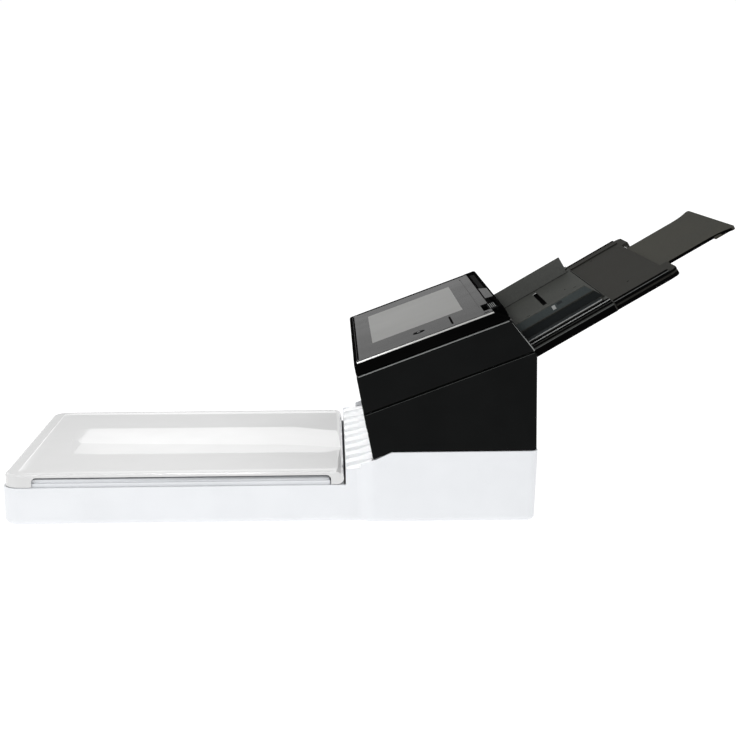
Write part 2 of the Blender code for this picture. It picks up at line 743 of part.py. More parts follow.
def build_base_casing(plastic, machine):
    """White tub that carries everything: low in front, higher under the head."""

    def back_at(z):
        return BODY_BACK - REAR_DRAFT * (REAR_TOP - z) / (REAR_TOP - CASE_BOTTOM)

    def ring(inset, z):
        return [(x, y, z) for x, y in casing_outline(inset, back_at(z) - inset)]

    rings = []
    for i in range(CORNER_STEPS):
        turn = math.pi / 2 * i / (CORNER_STEPS - 1)
        rings.append(ring(BOTTOM_EDGE * (1 - math.sin(turn)), CASE_BOTTOM + BOTTOM_EDGE * (1 - math.cos(turn))))
    rings.append(ring(0, REAR_TOP + OVERRUN))
    casing = add_piece("base_casing", loft(rings), plastic, machine, smooth=True)

    eased = CASE_WALL + BOTTOM_EDGE * (1 - FLOOR_EASE_SHARE)
    hollow = [ring(eased, CASE_FLOOR), ring(CASE_WALL, CASE_BOTTOM + BOTTOM_EDGE), ring(CASE_WALL, REAR_TOP + OVERRUN * 2)]
    cut(casing, loft(hollow))

    cheek_start = LID_LENGTH + LID_REAR_GAP
    cheek_end = cheek_start + CHEEK_LENGTH
    over = REAR_TOP + OVERRUN * 3
    above = [
        (-BASE_FRONT - OVERRUN, BASE_RIM),
        (cheek_start, BASE_RIM),
        (cheek_start, CHEEK_TOP),
        (cheek_end, CHEEK_TOP),
        (cheek_end, CHEEK_TOP + CHEEK_STEP),
        (HEAD_FOOT_Y, HEAD_FOOT_Z - SEAM),
        (HEAD_FOOT_Y + HEAD_STEP_LENGTH, REAR_TOP),
        (BODY_BACK + OVERRUN, REAR_TOP),
        (BODY_BACK + OVERRUN, over),
        (-BASE_FRONT - OVERRUN, over),
    ]
    cut(casing, extrude(above, -REAR_HALF - OVERRUN, REAR_HALF + OVERRUN))

    sunk = CASE_FLOOR - CASE_WALL / 2
    post_top = FRAME_UNDERSIDE - GAP
    for _, low, high in mirrored(FLATBED_HALF - FRAME_POST_INSET, FLATBED_HALF - FRAME_POST_INSET):
        for y in (FRAME_POST_INSET, LID_LENGTH / 2, LID_LENGTH - FRAME_POST_INSET):
            fuse(casing, extrude(circle((low, y), BOSS_RADIUS, PIN_SIDES), sunk, post_top, "Z"))
    for _, low, high in mirrored(BOARD_HALF - BOARD_POST_INSET, BOARD_HALF - BOARD_POST_INSET):
        for y in (BOARD_FRONT + BOARD_POST_INSET, BOARD_BACK - SOCKET_DEPTH - BOARD_POST_INSET):
            fuse(casing, extrude(circle((low, y), BOSS_RADIUS, PIN_SIDES), sunk, BOARD_Z - GAP, "Z"))
    axle = circle((BELT_X, BELT_IDLER_Y), PULLEY_BORE, PIN_SIDES)
    fuse(casing, extrude(axle, sunk, BELT_BOTTOM + BELT_HEIGHT + BELT_THICKNESS, "Z"))

    inside = back_at(SWITCH_Z) - CASE_WALL
    for side in (-1, 1):
        near = SWITCH_X + side * (SWITCH_HALF + GAP)
        far = near + side * SWITCH_CHEEK
        low = (min(near, far), inside - SWITCH_BODY, SWITCH_Z - SWITCH_HALF_HEIGHT)
        high = (max(near, far), inside + CASE_WALL / 2, SWITCH_Z + SWITCH_HALF_HEIGHT)
        fuse(casing, box(low, high))
    reach = SWITCH_HALF + GAP + SWITCH_CHEEK + OVERRUN
    bore = circle((inside - SWITCH_BODY / 2, SWITCH_Z), SWITCH_PIN_RADIUS + GAP, PIN_SIDES)
    cut(casing, extrude(bore, SWITCH_X - reach, SWITCH_X + reach))
    tall = SWITCH_HALF_HEIGHT + SWITCH_SLACK
    wide = SWITCH_HALF + GAP
    back = BODY_BACK + OVERRUN
    opening_low = (SWITCH_X - wide, inside - OVERRUN, SWITCH_Z - tall)
    cut(casing, box(opening_low, (SWITCH_X + wide, back, SWITCH_Z + tall)))
    for x, size in ((POWER_INLET_X, POWER_INLET_SIZE), (USB_X, USB_SIZE), (NETWORK_X, NETWORK_SIZE)):
        half = size[0] / 2 + GAP
        bottom = BOARD_Z + BOARD_THICKNESS
        cut(casing, box((x - half, inside - OVERRUN, bottom), (x + half, back, bottom + size[1] + GAP * 2)))
    return back_at


def build_feet(rubber, machine):
    """Four long rubber pads under the casing."""
    places = {
        "foot_front_right": (FLATBED_HALF - FOOT_INSET, FOOT_FRONT_Y),
        "foot_front_left": (FOOT_INSET - FLATBED_HALF, FOOT_FRONT_Y),
        "foot_rear_right": (REAR_HALF - FOOT_INSET, FOOT_REAR_Y),
        "foot_rear_left": (FOOT_INSET - REAR_HALF, FOOT_REAR_Y),
    }
    for name, (x, y) in places.items():
        rings = []
        for z, inset in ((0, FOOT_TAPER), (CASE_BOTTOM - GAP, 0)):
            low = (x - FOOT_SIZE[0] / 2 + inset, y - FOOT_SIZE[1] / 2 + inset)
            high = (x + FOOT_SIZE[0] / 2 - inset, y + FOOT_SIZE[1] / 2 - inset)
            radius = FOOT_CORNER - inset
            rings.append([(px, py, z) for px, py in rounded_rectangle(low, high, (radius,) * 4)])
        add_piece(name, loft(rings), rubber, machine, smooth=True)


def build_platen(white, glass, machine):
    """Frame round the document glass, with the lugs that carry the lid."""
    strip_top = FRAME_UNDERSIDE + FRAME_STRIP
    raised_back = LID_AXIS[0] - LID_NOSE - SEAM
    corner = LEAST_CORNER
    strip = flatbed_outline(FRAME_INSET, LID_LENGTH, corner)
    frame = add_piece("platen_frame", extrude(strip, FRAME_UNDERSIDE, strip_top, "Z"), white, machine)
    middle = (FRAME_UNDERSIDE + strip_top) / 2
    ledge = flatbed_outline(FRAME_INSET, raised_back, corner)
    rim = flatbed_outline(FRAME_RIM_INSET, raised_back - corner, corner)
    fuse(frame, extrude(ledge, middle, FRAME_LEDGE_TOP, "Z"))
    fuse(frame, extrude(rim, middle, FRAME_RIM_TOP, "Z"))
    glass_low = (-GLASS_HALF, GLASS_FRONT)
    glass_high = (GLASS_HALF, GLASS_FRONT + GLASS_LENGTH)
    seat = GLASS_TOP - GLASS_THICKNESS - GAP
    cut(
        frame,
        box((glass_low[0] - GAP, glass_low[1] - GAP, seat), (glass_high[0] + GAP, glass_high[1] + GAP, LID_TOP)),
        box(
            (glass_low[0] + GLASS_LEDGE, glass_low[1] + GLASS_LEDGE, FRAME_UNDERSIDE - OVERRUN),
            (glass_high[0] - GLASS_LEDGE, glass_high[1] - GLASS_LEDGE, LID_TOP),
        ),
    )
    y, z = LID_AXIS
    for _, low, high in mirrored(LUG_PLACE - LUG_WIDTH / 2, LUG_PLACE + LUG_WIDTH / 2):
        stem = [(y - LUG_STEM_HALF, middle), (y + LUG_STEM_HALF, middle)]
        head = arc(LID_AXIS, LUG_HEAD, -40, 220, ROUND_SIDES // 2)
        fuse(frame, extrude(stem + head, low, high))
        bore = circle(LID_AXIS, LID_PIN_RADIUS + GAP)
        cut(frame, extrude(bore, low - OVERRUN, high + OVERRUN))
    add_piece("platen_glass", box((*glass_low, seat + GAP), (*glass_high, GLASS_TOP)), glass, machine)


def build_lid(white, soft_white, steel, machine):
    """Hinged lid: shell with a shallow paper channel on top, liner and document pad under it."""
    axis = joint_axis("lid_axis", (0, *LID_AXIS), machine)
    bottom = BASE_RIM + SEAM
    rings = []
    for i in range(CORNER_STEPS):
        turn = math.pi / 2 * i / (CORNER_STEPS - 1)
        inset, z = LID_EDGE * (1 - math.cos(turn)), LID_TOP - LID_EDGE * (1 - math.sin(turn))
        outline = flatbed_outline(inset, LID_LENGTH + OVERRUN - inset, LID_REAR_CORNER)
        rings.append([(x, y, z) for x, y in outline])
    skirt = flatbed_outline(0, LID_LENGTH + OVERRUN, LID_REAR_CORNER)
    rings.insert(0, [(x, y, bottom) for x, y in skirt])
    shell = add_piece("lid_shell", loft(rings), white, axis, smooth=True)

    nose = arc(LID_AXIS, LID_NOSE, -90, 90, ROUND_SIDES // 2)
    far = LID_LENGTH + OVERRUN * 3
    outside = nose + [(LID_AXIS[0], LID_TOP + OVERRUN), (far, LID_TOP + OVERRUN)]
    outside += [(far, bottom - OVERRUN), (LID_AXIS[0], bottom - OVERRUN)]
    cut(shell, extrude(outside, -FLATBED_HALF - OVERRUN, FLATBED_HALF + OVERRUN))
    hollow_back = LID_AXIS[0] - LUG_HEAD - LUG_HEAD_SLACK
    hollow = flatbed_outline(LID_SKIRT, hollow_back, LEAST_CORNER)
    cut(shell, extrude(hollow, bottom - OVERRUN, LID_TOP - LID_SKIN, "Z"))

    recess_top = LID_TOP - RECESS_LIP
    recess = [(RECESS_FRONT, bottom - OVERRUN), (LID_LENGTH - RECESS_REAR_MARGIN, bottom - OVERRUN)]
    rear_centre = (LID_LENGTH - RECESS_REAR_MARGIN - RECESS_CORNER, recess_top - RECESS_CORNER)
    recess += arc(rear_centre, RECESS_CORNER, 0, 90)
    recess += arc((RECESS_FRONT + RECESS_CORNER, recess_top - RECESS_CORNER), RECESS_CORNER, 90, 180)
    skirt_in = FLATBED_HALF - LID_SKIRT - GAP
    for _, low, high in mirrored(skirt_in, FLATBED_HALF + OVERRUN):
        cut(shell, extrude(recess, low, high))

    past = LID_LENGTH + OVERRUN
    floor = LID_TOP - CHANNEL_DEPTH
    rise = LID_TOP + OVERRUN
    spread = CHANNEL_SLOPE * (1 + OVERRUN / CHANNEL_DEPTH)
    rings = []
    for z, grow in ((floor, 0), (rise, spread)):
        half = CHANNEL_HALF - CHANNEL_SLOPE + grow
        front = CHANNEL_FRONT + CHANNEL_SLOPE - grow
        rings.append([(-half, front, z), (half, front, z), (half, past, z), (-half, past, z)])
    cut(shell, loft(rings))

    y, z = LID_AXIS
    notch_top = z + LUG_HEAD + LUG_HEAD_SLACK
    for side, low, high in mirrored(LUG_PLACE - LUG_WIDTH / 2, LUG_PLACE + LUG_WIDTH / 2):
        notch_low = (low - LUG_NOTCH_SLACK, hollow_back - OVERRUN, bottom - OVERRUN)
        cut(shell, box(notch_low, (high + LUG_NOTCH_SLACK, LID_LENGTH + OVERRUN, notch_top)))
        pin_low, pin_high = low - LUG_NOTCH_SLACK - LID_PIN_REACH, high + LUG_NOTCH_SLACK + LID_PIN_REACH
        cut(shell, extrude(circle(LID_AXIS, LID_PIN_RADIUS + GAP), pin_low - GAP, pin_high + GAP))
        add_piece(f"lid_hinge_pin_{side}", extrude(circle(LID_AXIS, LID_PIN_RADIUS), pin_low, pin_high), steel, axis, smooth=True)

    liner_back = hollow_back - GAP - LINER_INSET / 2
    liner = flatbed_outline(LINER_INSET, liner_back, LEAST_CORNER)
    add_piece("lid_liner", extrude(liner, LINER_BOTTOM, LINER_BOTTOM + LINER_THICKNESS, "Z"), white, axis)
    pad_low = (PAD_MARGIN - GLASS_HALF, GLASS_FRONT + PAD_MARGIN, GLASS_TOP + PAD_BOTTOM_GAP)
    pad_high = (GLASS_HALF - PAD_MARGIN, GLASS_FRONT + GLASS_LENGTH - PAD_MARGIN, LINER_BOTTOM - GAP)
    add_piece("document_pad", box(pad_low, pad_high), soft_white, axis)


def build_flatbed_drive(black, steel, dark, lens, machine):
    """Scan carriage on its rod, with the belt, pulleys and motor that pull it."""
    rod_front = CASE_WALL - BASE_FRONT + GAP
    rod = extrude(circle((ROD_X, ROD_Z), ROD_RADIUS), rod_front, RAMP_FRONT - GAP, "Y")
    add_piece("carriage_rod", rod, steel, machine, smooth=True)

    axis = joint_axis("carriage_axis", (0, CARRIAGE_HOME_Y, CARRIAGE_BOTTOM), machine)
    y = CARRIAGE_HOME_Y
    low = (-GLASS_HALF, y - CARRIAGE_HALF_LENGTH, CARRIAGE_BOTTOM)
    high = (GLASS_HALF, y + CARRIAGE_HALF_LENGTH, CARRIAGE_TOP)
    carriage = add_piece("scan_carriage", box(low, high), black, axis)
    shoe_half = ROD_RADIUS + SHOE_WALL
    shoe_low = (ROD_X - shoe_half, y - SHOE_HALF_LENGTH, ROD_Z - shoe_half)
    fuse(carriage, box(shoe_low, (ROD_X + shoe_half, y + SHOE_HALF_LENGTH, CARRIAGE_BOTTOM + SHOE_WALL)))
    bore = circle((ROD_X, ROD_Z), ROD_RADIUS + GAP)
    cut(carriage, extrude(bore, y - SHOE_HALF_LENGTH - OVERRUN, y + SHOE_HALF_LENGTH + OVERRUN, "Y"))
    clamp_x = BELT_X + BELT_PULLEY_RADIUS + BELT_THICKNESS + GAP * 2
    clamp_low = (clamp_x, y - BELT_CLAMP_HALF, BELT_BOTTOM)
    fuse(carriage, box(clamp_low, (clamp_x + BELT_CLAMP_THICKNESS, y + BELT_CLAMP_HALF, CARRIAGE_BOTTOM + SHOE_WALL)))
    sensor_low = (-SENSOR_HALF, y - SENSOR_HALF_LENGTH, SENSOR_BOTTOM)
    sensor_high = (SENSOR_HALF, y + SENSOR_HALF_LENGTH, SENSOR_TOP)
    pocket_low = tuple(value - GAP for value in sensor_low)
    cut(carriage, box(pocket_low, (sensor_high[0] + GAP, sensor_high[1] + GAP, CARRIAGE_TOP + OVERRUN)))
    add_piece("carriage_sensor", box(sensor_low, sensor_high), lens, axis)

    inner = BELT_PULLEY_RADIUS + GAP
    outer = inner + BELT_THICKNESS
    belt_top = BELT_BOTTOM + BELT_HEIGHT

    def loop(radius):
        front = arc((BELT_X, BELT_IDLER_Y), radius, 180, 360, ROUND_SIDES // 2)
        return front + arc((BELT_X, BELT_DRIVE_Y), radius, 0, 180, ROUND_SIDES // 2)

    belt = add_piece("carriage_belt", extrude(loop(outer), BELT_BOTTOM, belt_top, "Z"), dark, machine, smooth=True)
    cut(belt, extrude(loop(inner), BELT_BOTTOM - OVERRUN, belt_top + OVERRUN, "Z"))
    for name, place in (("belt_idler_pulley", BELT_IDLER_Y), ("belt_drive_pulley", BELT_DRIVE_Y)):
        pulley_axis = joint_axis(f"{name}_axis", (BELT_X, place, BELT_BOTTOM), machine)
        wheel = extrude(circle((BELT_X, place), BELT_PULLEY_RADIUS, ROUND_SIDES), BELT_BOTTOM, belt_top, "Z")
        pulley = add_piece(name, wheel, black, pulley_axis, smooth=True)
        if place == BELT_IDLER_Y:
            cut(pulley, extrude(circle((BELT_X, place), PULLEY_BORE + GAP), BELT_BOTTOM - OVERRUN, belt_top + OVERRUN, "Z"))
        else:
            hub = circle((BELT_X, place), PULLEY_BORE)
            fuse(pulley, extrude(hub, BELT_BOTTOM + BELT_HEIGHT / 2, BELT_MOTOR_BOTTOM - GAP, "Z"))
    motor = circle((BELT_X, BELT_DRIVE_Y), BELT_MOTOR_RADIUS, ROUND_SIDES)
    add_piece("belt_motor", extrude(motor, BELT_MOTOR_BOTTOM, FRAME_UNDERSIDE - GAP, "Z"), steel, machine, smooth=True)


def build_exit_ramp(white, machine):
    """Ribbed ramp that hands sheets from the head down to the lid."""
    exit_y = exit_point(0, EXIT_Z)[0]
    end = (exit_y + PATH_GAP, RAMP_TOP_Z)
    foot = CASE_BOTTOM + BOTTOM_EDGE + GAP
    top = [(RAMP_FRONT, RAMP_LOW_Z), (RAMP_MIDDLE_Y, RAMP_MIDDLE_Z), end]
    outline = top + [
        (end[0], end[1] - RAMP_WALL),
        (RAMP_MIDDLE_Y, RAMP_MIDDLE_Z - RAMP_WALL),
        (RAMP_FRONT + RAMP_WALL, RAMP_LOW_Z - RAMP_WALL / 2),
        (RAMP_FRONT + RAMP_WALL, foot),
        (RAMP_FRONT, foot),
    ]
    ramp = add_piece("exit_ramp", extrude(outline, -RAMP_HALF, RAMP_HALF), white, machine)
    crest_y = RAMP_FRONT + RIB_CREST_LENGTH
    rib = [
        (RAMP_FRONT + GAP, RAMP_LOW_Z - RAMP_WALL / 2),
        (RAMP_FRONT + GAP, RAMP_LOW_Z + RIB_FRONT_HEIGHT),
        (crest_y, RAMP_LOW_Z + RIB_CREST_HEIGHT),
        (RAMP_MIDDLE_Y, RAMP_MIDDLE_Z + RIB_TOP_SLOPE),
        (end[0] - GAP, RAMP_TOP_Z + RIB_TOP_SLOPE / 2),
        (end[0] - GAP, RAMP_TOP_Z - RAMP_WALL / 2),
        (RAMP_MIDDLE_Y, RAMP_MIDDLE_Z - RAMP_WALL / 2),
    ]
    pitch = (RAMP_HALF * 2 - RIB_WIDTH) / (RIB_COUNT - 1)
    for i in range(RIB_COUNT):
        middle = RIB_WIDTH / 2 - RAMP_HALF + pitch * i
        low, high = middle - RIB_WIDTH / 2, middle + RIB_WIDTH / 2
        low, high = max(low, GAP - RAMP_HALF), min(high, RAMP_HALF - GAP)
        fuse(ramp, extrude(rib, low, high))


def build_head_case(black, steel, machine, slope):
    """Black lower case of the head, open above and below, with the seats of the cover's hinge."""
    step_y = HEAD_FOOT_Y + HEAD_STEP_LENGTH
    foot = REAR_TOP + SEAM
    outline = [
        (HEAD_FOOT_Y, HEAD_FOOT_Z),
        (step_y, foot),
        (HEAD_BACK + HEAD_BACK_FOOT, foot),
        (HEAD_BACK, HEAD_BACK_TOP),
        (COVER_BACK_Y, split_z(COVER_BACK_Y)),
        (front_face(COVER_SPLIT_Z), COVER_SPLIT_Z),
    ]
    case = add_piece("head_lower_case", extrude(outline, -REAR_HALF, REAR_HALF), black, machine)
    soften(case, CASE_EDGE)
    wall = CASE_WALL / math.cos(HEAD_LEAN)
    high = split_z(HEAD_BACK) + OVERRUN * 3
    low = HEAD_FOOT_Z - OVERRUN
    hollow = [
        (front_face(low) + wall, low),
        (HEAD_BACK - CASE_WALL, low),
        (HEAD_BACK - CASE_WALL, high),
        (front_face(high) + wall, high),
    ]
    cut(case, extrude(hollow, -HEAD_INNER, HEAD_INNER))
    tray_way = (TRAY_HALF + SEAM, OVERRUN * 3, TRAY_TOP * 4)
    cut(case, box((-tray_way[0], -tray_way[1], -SEAM), tray_way), holder=slope)

    y, z = COVER_AXIS
    notch_bottom = z - ARM_RADIUS - ARM_NOTCH_SLACK
    notch_front = front_face(notch_bottom) - OVERRUN * 3
    arm_low, arm_high = ARM_OUTER - ARM_WIDTH, ARM_OUTER
    for side, low, high in mirrored(arm_low, arm_high):
        slack = ARM_NOTCH_SLACK
        inner = high + slack if side == "right" else low - slack
        outer = low - slack if side == "right" else high + slack
        span = (min(inner, outer), max(inner, outer))
        cut(case, box((span[0], notch_front, notch_bottom), (span[1], y + ARM_RADIUS, COVER_SPLIT_Z + OVERRUN * 2)))
    seat = HEAD_INNER + COVER_PIN_SEAT
    for side, low, high in mirrored(arm_low - COVER_PIN_TAIL, seat - GAP):
        add_piece(f"cover_hinge_pin_{side}", extrude(circle(COVER_AXIS, COVER_PIN_RADIUS), low, high), steel, machine, smooth=True)
    for side, low, high in mirrored(ARM_OUTER, seat):
        cut(case, extrude(circle(COVER_AXIS, COVER_PIN_RADIUS + GAP), low, high))


def build_feed_guides(black, machine, slope):
    """Fixed lower plate of the feed path, with roller windows, and the inner guide behind the head's front."""
    start = in_machine(TRAY_START - GAP, PATH_FLOOR)
    start_under = in_machine(TRAY_START - GAP, PATH_FLOOR - PATH_PLATE)
    top = feed_path(0) + [exit_point(0, EXIT_Z)]
    under = feed_path(-PATH_PLATE) + [exit_point(-PATH_PLATE, EXIT_Z - PATH_PLATE)]
    outline = [start, *top, *reversed(under), start_under]
    guide = add_piece("lower_paper_guide", extrude(outline, -GUIDE_PLATE_HALF, GUIDE_PLATE_HALF), black, machine)
    windows = [(PICK_S, PICK_RADIUS, -PICK_HALF, PICK_HALF)]
    windows += [(FEED_S, FEED_RADIUS, low, high) for low, high in tyre_spans(FEED_TYRE_WIDTH, FEED_TYRE_SPACING, 3)]
    windows += [(EJECT_S, EJECT_RADIUS, low, high) for low, high in tyre_spans(EJECT_TYRE_WIDTH, EJECT_TYRE_SPACING, 4)]
    windows.append((SCAN_BAR_S, SCAN_BAR_HALF_LENGTH - WINDOW_SLACK + GAP, -SCAN_BAR_HALF + WINDOW_SLACK - GAP, SCAN_BAR_HALF - WINDOW_SLACK + GAP))
    for s, half, low, high in windows:
        slack = WINDOW_SLACK
        low_corner = (low - slack, s - half - slack, PATH_FLOOR - PATH_PLATE - OVERRUN)
        cut(guide, box(low_corner, (high + slack, s + half + slack, PATH_FLOOR + OVERRUN)), holder=slope)

    near = feed_path(PATH_GAP) + [exit_point(PATH_GAP, INNER_GUIDE_END_Z)]
    far = feed_path(PATH_GAP + PATH_PLATE) + [exit_point(PATH_GAP + PATH_PLATE, INNER_GUIDE_END_Z)]
    add_piece("front_inner_guide", extrude(near + far[::-1], -INNER_GUIDE_HALF, INNER_GUIDE_HALF), black, machine)


def tyre_spans(width, spacing, count):
    """The x spans of evenly spaced tyres on one shaft."""
    first = -spacing * (count - 1) / 2
    return [(first + spacing * i - width / 2, first + spacing * i + width / 2) for i in range(count)]


def roller_profile(left, right, spans, radius):
    """A shaft with tyres on it, as (x, radius) from left to right."""
    profile = [(left, SHAFT_RADIUS)]
    for low, high in spans:
        profile += [(low, SHAFT_RADIUS), (low, radius), (high, radius), (high, SHAFT_RADIUS)]
    return profile + [(right, SHAFT_RADIUS)]


def build_rollers(rubber, slope, cover_slope):
    """Driven rollers in the side frames and the two free rollers that ride in the cover."""
    left, right = GEAR_LEFT - GAP, SIDE_FRAME_X + SIDE_FRAME_THICKNESS
    driven = (
        ("pick_roller", PICK_CENTRE, [(-PICK_HALF, PICK_HALF)], PICK_RADIUS),
        ("feed_roller", FEED_CENTRE, tyre_spans(FEED_TYRE_WIDTH, FEED_TYRE_SPACING, 3), FEED_RADIUS),
        ("eject_roller", EJECT_CENTRE, tyre_spans(EJECT_TYRE_WIDTH, EJECT_TYRE_SPACING, 4), EJECT_RADIUS),
    )
    axes = {}
    for name, centre, spans, radius in driven:
        axes[name] = joint_axis(f"{name}_axis", (0, *centre), slope)
        shape = turned(roller_profile(left, right, spans, radius), centre)
        add_piece(name, shape, rubber, axes[name], smooth=True)
    free = (
        ("separation_roller", (FEED_S, SEPARATION_N), SEPARATION_SHAFT_HALF, [(-SEPARATION_HALF, SEPARATION_HALF)], SEPARATION_RADIUS),
        ("eject_pinch_roller", (EJECT_S, PINCH_N), PAPER_HALF, tyre_spans(EJECT_TYRE_WIDTH, EJECT_TYRE_SPACING, 4), PINCH_RADIUS),
    )
    for name, centre, reach, spans, radius in free:
        axis = joint_axis(f"{name}_axis", (0, *centre), cover_slope)
        add_piece(name, turned(roller_profile(-reach, reach, spans, radius), centre), rubber, axis, smooth=True)
    return axes


def build_side_frames(steel, machine, slope):
    """Two metal plates that stand on the casing floor and carry the shafts, and the feed motor on the left one."""
    top_n = PATH_FLOOR - PATH_PLATE - GAP

    def top_z(y):
        return SLOPE_Z + (y - SLOPE_Y) * math.tan(SLOPE_ANGLE) + top_n / math.cos(SLOPE_ANGLE)

    foot = CASE_FLOOR + GAP
    outline = [
        (SIDE_FRAME_FRONT, foot),
        (SIDE_FRAME_BACK, foot),
        (SIDE_FRAME_BACK, top_z(SIDE_FRAME_BACK)),
        (SIDE_FRAME_FRONT, top_z(SIDE_FRAME_FRONT)),
    ]
    for side, low, high in mirrored(SIDE_FRAME_X, SIDE_FRAME_X + SIDE_FRAME_THICKNESS):
        plate = add_piece(f"side_frame_{side}", extrude(outline, low, high), steel, machine)
        for centre in (PICK_CENTRE, FEED_CENTRE, EJECT_CENTRE):
            cut(plate, extrude(circle(centre, SHAFT_RADIUS + GAP), low - OVERRUN, high + OVERRUN), holder=slope)
        if side == "left":
            for centre in (SMALL_IDLER_CENTRE, LARGE_IDLER_CENTRE):
                fuse(plate, extrude(circle(centre, IDLER_STUB_RADIUS), GEAR_LEFT - GAP, low + SIDE_FRAME_THICKNESS / 2), holder=slope)
            cut(plate, extrude(circle(MOTOR_CENTRE, SHAFT_RADIUS + GAP), low - OVERRUN, high + OVERRUN), holder=slope)
    motor_right = -SIDE_FRAME_X + GAP + MOTOR_LENGTH
    motor = extrude(circle(MOTOR_CENTRE, MOTOR_RADIUS, ROUND_SIDES), -SIDE_FRAME_X + GAP, motor_right)
    motor = add_piece("feed_motor", motor, steel, slope, smooth=True)
    cut(motor, extrude(circle(MOTOR_CENTRE, SHAFT_RADIUS + GAP), -SIDE_FRAME_X - OVERRUN, -SIDE_FRAME_X + OVERRUN))


def build_gears(nylon, slope, axes):
    """The gear train on the left side frame: motor pinion, large idler, feed and eject gears, small idler, pick gear."""
    feed_phase = 0.0
    to_small = angle_between(FEED_CENTRE, SMALL_IDLER_CENTRE)
    small_phase = meshed_phase(to_small, feed_phase, FEED_TEETH, SMALL_IDLER_TEETH)
    to_pick = angle_between(SMALL_IDLER_CENTRE, PICK_CENTRE)
    pick_phase = meshed_phase(to_pick, small_phase, SMALL_IDLER_TEETH, PICK_TEETH)
    to_large = angle_between(FEED_CENTRE, LARGE_IDLER_CENTRE)
    large_phase = meshed_phase(to_large, feed_phase, FEED_TEETH, LARGE_IDLER_TEETH)
    to_eject = angle_between(LARGE_IDLER_CENTRE, EJECT_CENTRE)
    eject_phase = meshed_phase(to_eject, large_phase, LARGE_IDLER_TEETH, EJECT_TEETH)
    to_motor = angle_between(LARGE_IDLER_CENTRE, MOTOR_CENTRE)
    motor_phase = meshed_phase(to_motor, large_phase, LARGE_IDLER_TEETH, MOTOR_TEETH)
    train = (
        ("feed_gear", FEED_CENTRE, FEED_TEETH, feed_phase, axes["feed_roller"], SHAFT_RADIUS),
        ("pick_gear", PICK_CENTRE, PICK_TEETH, pick_phase, axes["pick_roller"], SHAFT_RADIUS),
        ("eject_gear", EJECT_CENTRE, EJECT_TEETH, eject_phase, axes["eject_roller"], SHAFT_RADIUS),
        ("small_idler_gear", SMALL_IDLER_CENTRE, SMALL_IDLER_TEETH, small_phase, None, IDLER_STUB_RADIUS),
        ("large_idler_gear", LARGE_IDLER_CENTRE, LARGE_IDLER_TEETH, large_phase, None, IDLER_STUB_RADIUS),
    )
    for name, centre, teeth, phase, axis, bore in train:
        axis = axis or joint_axis(f"{name}_axis", (0, *centre), slope)
        gear = add_piece(name, extrude(gear_outline(centre, teeth, MODULE, phase), GEAR_LEFT, GEAR_RIGHT), nylon, axis)
        cut(gear, extrude(circle(centre, bore + GAP), GEAR_LEFT - OVERRUN, GEAR_RIGHT + OVERRUN))
    axis = joint_axis("motor_pinion_axis", (0, *MOTOR_CENTRE), slope)
    outline = gear_outline(MOTOR_CENTRE, MOTOR_TEETH, MODULE, motor_phase)
    pinion = add_piece("motor_pinion", extrude(outline, GEAR_LEFT, GEAR_RIGHT), nylon, axis)
    shaft_end = -SIDE_FRAME_X + OVERRUN - GAP
    fuse(pinion, extrude(circle(MOTOR_CENTRE, SHAFT_RADIUS), (GEAR_LEFT + GEAR_RIGHT) / 2, shaft_end))


def build_scan_bars(lens, slope, cover_slope):
    """Image sensors under and over the feed path, each with a flange behind its window."""
    for name, face, away, holder in (
        ("lower_scan_bar", PATH_FLOOR - GAP, -1, slope),
        ("upper_scan_bar", UPPER_FLOOR + GAP, 1, cover_slope),
    ):
        back = face + away * SCAN_BAR_DEPTH
        shoulder = face + away * PATH_PLATE
        half, length = SCAN_BAR_HALF, SCAN_BAR_HALF_LENGTH
        s_low, s_high = SCAN_BAR_S - length, SCAN_BAR_S + length
        nose = box((-half, s_low, min(face, back)), (half, s_high, max(face, back)))
        bar = add_piece(name, nose, lens, holder)
        flange = SCAN_BAR_FLANGE
        low_n, high_n = sorted((shoulder, back))
        fuse(bar, box((-half - flange, s_low - flange / 2, low_n), (half + flange, s_high + flange / 2, high_n)))


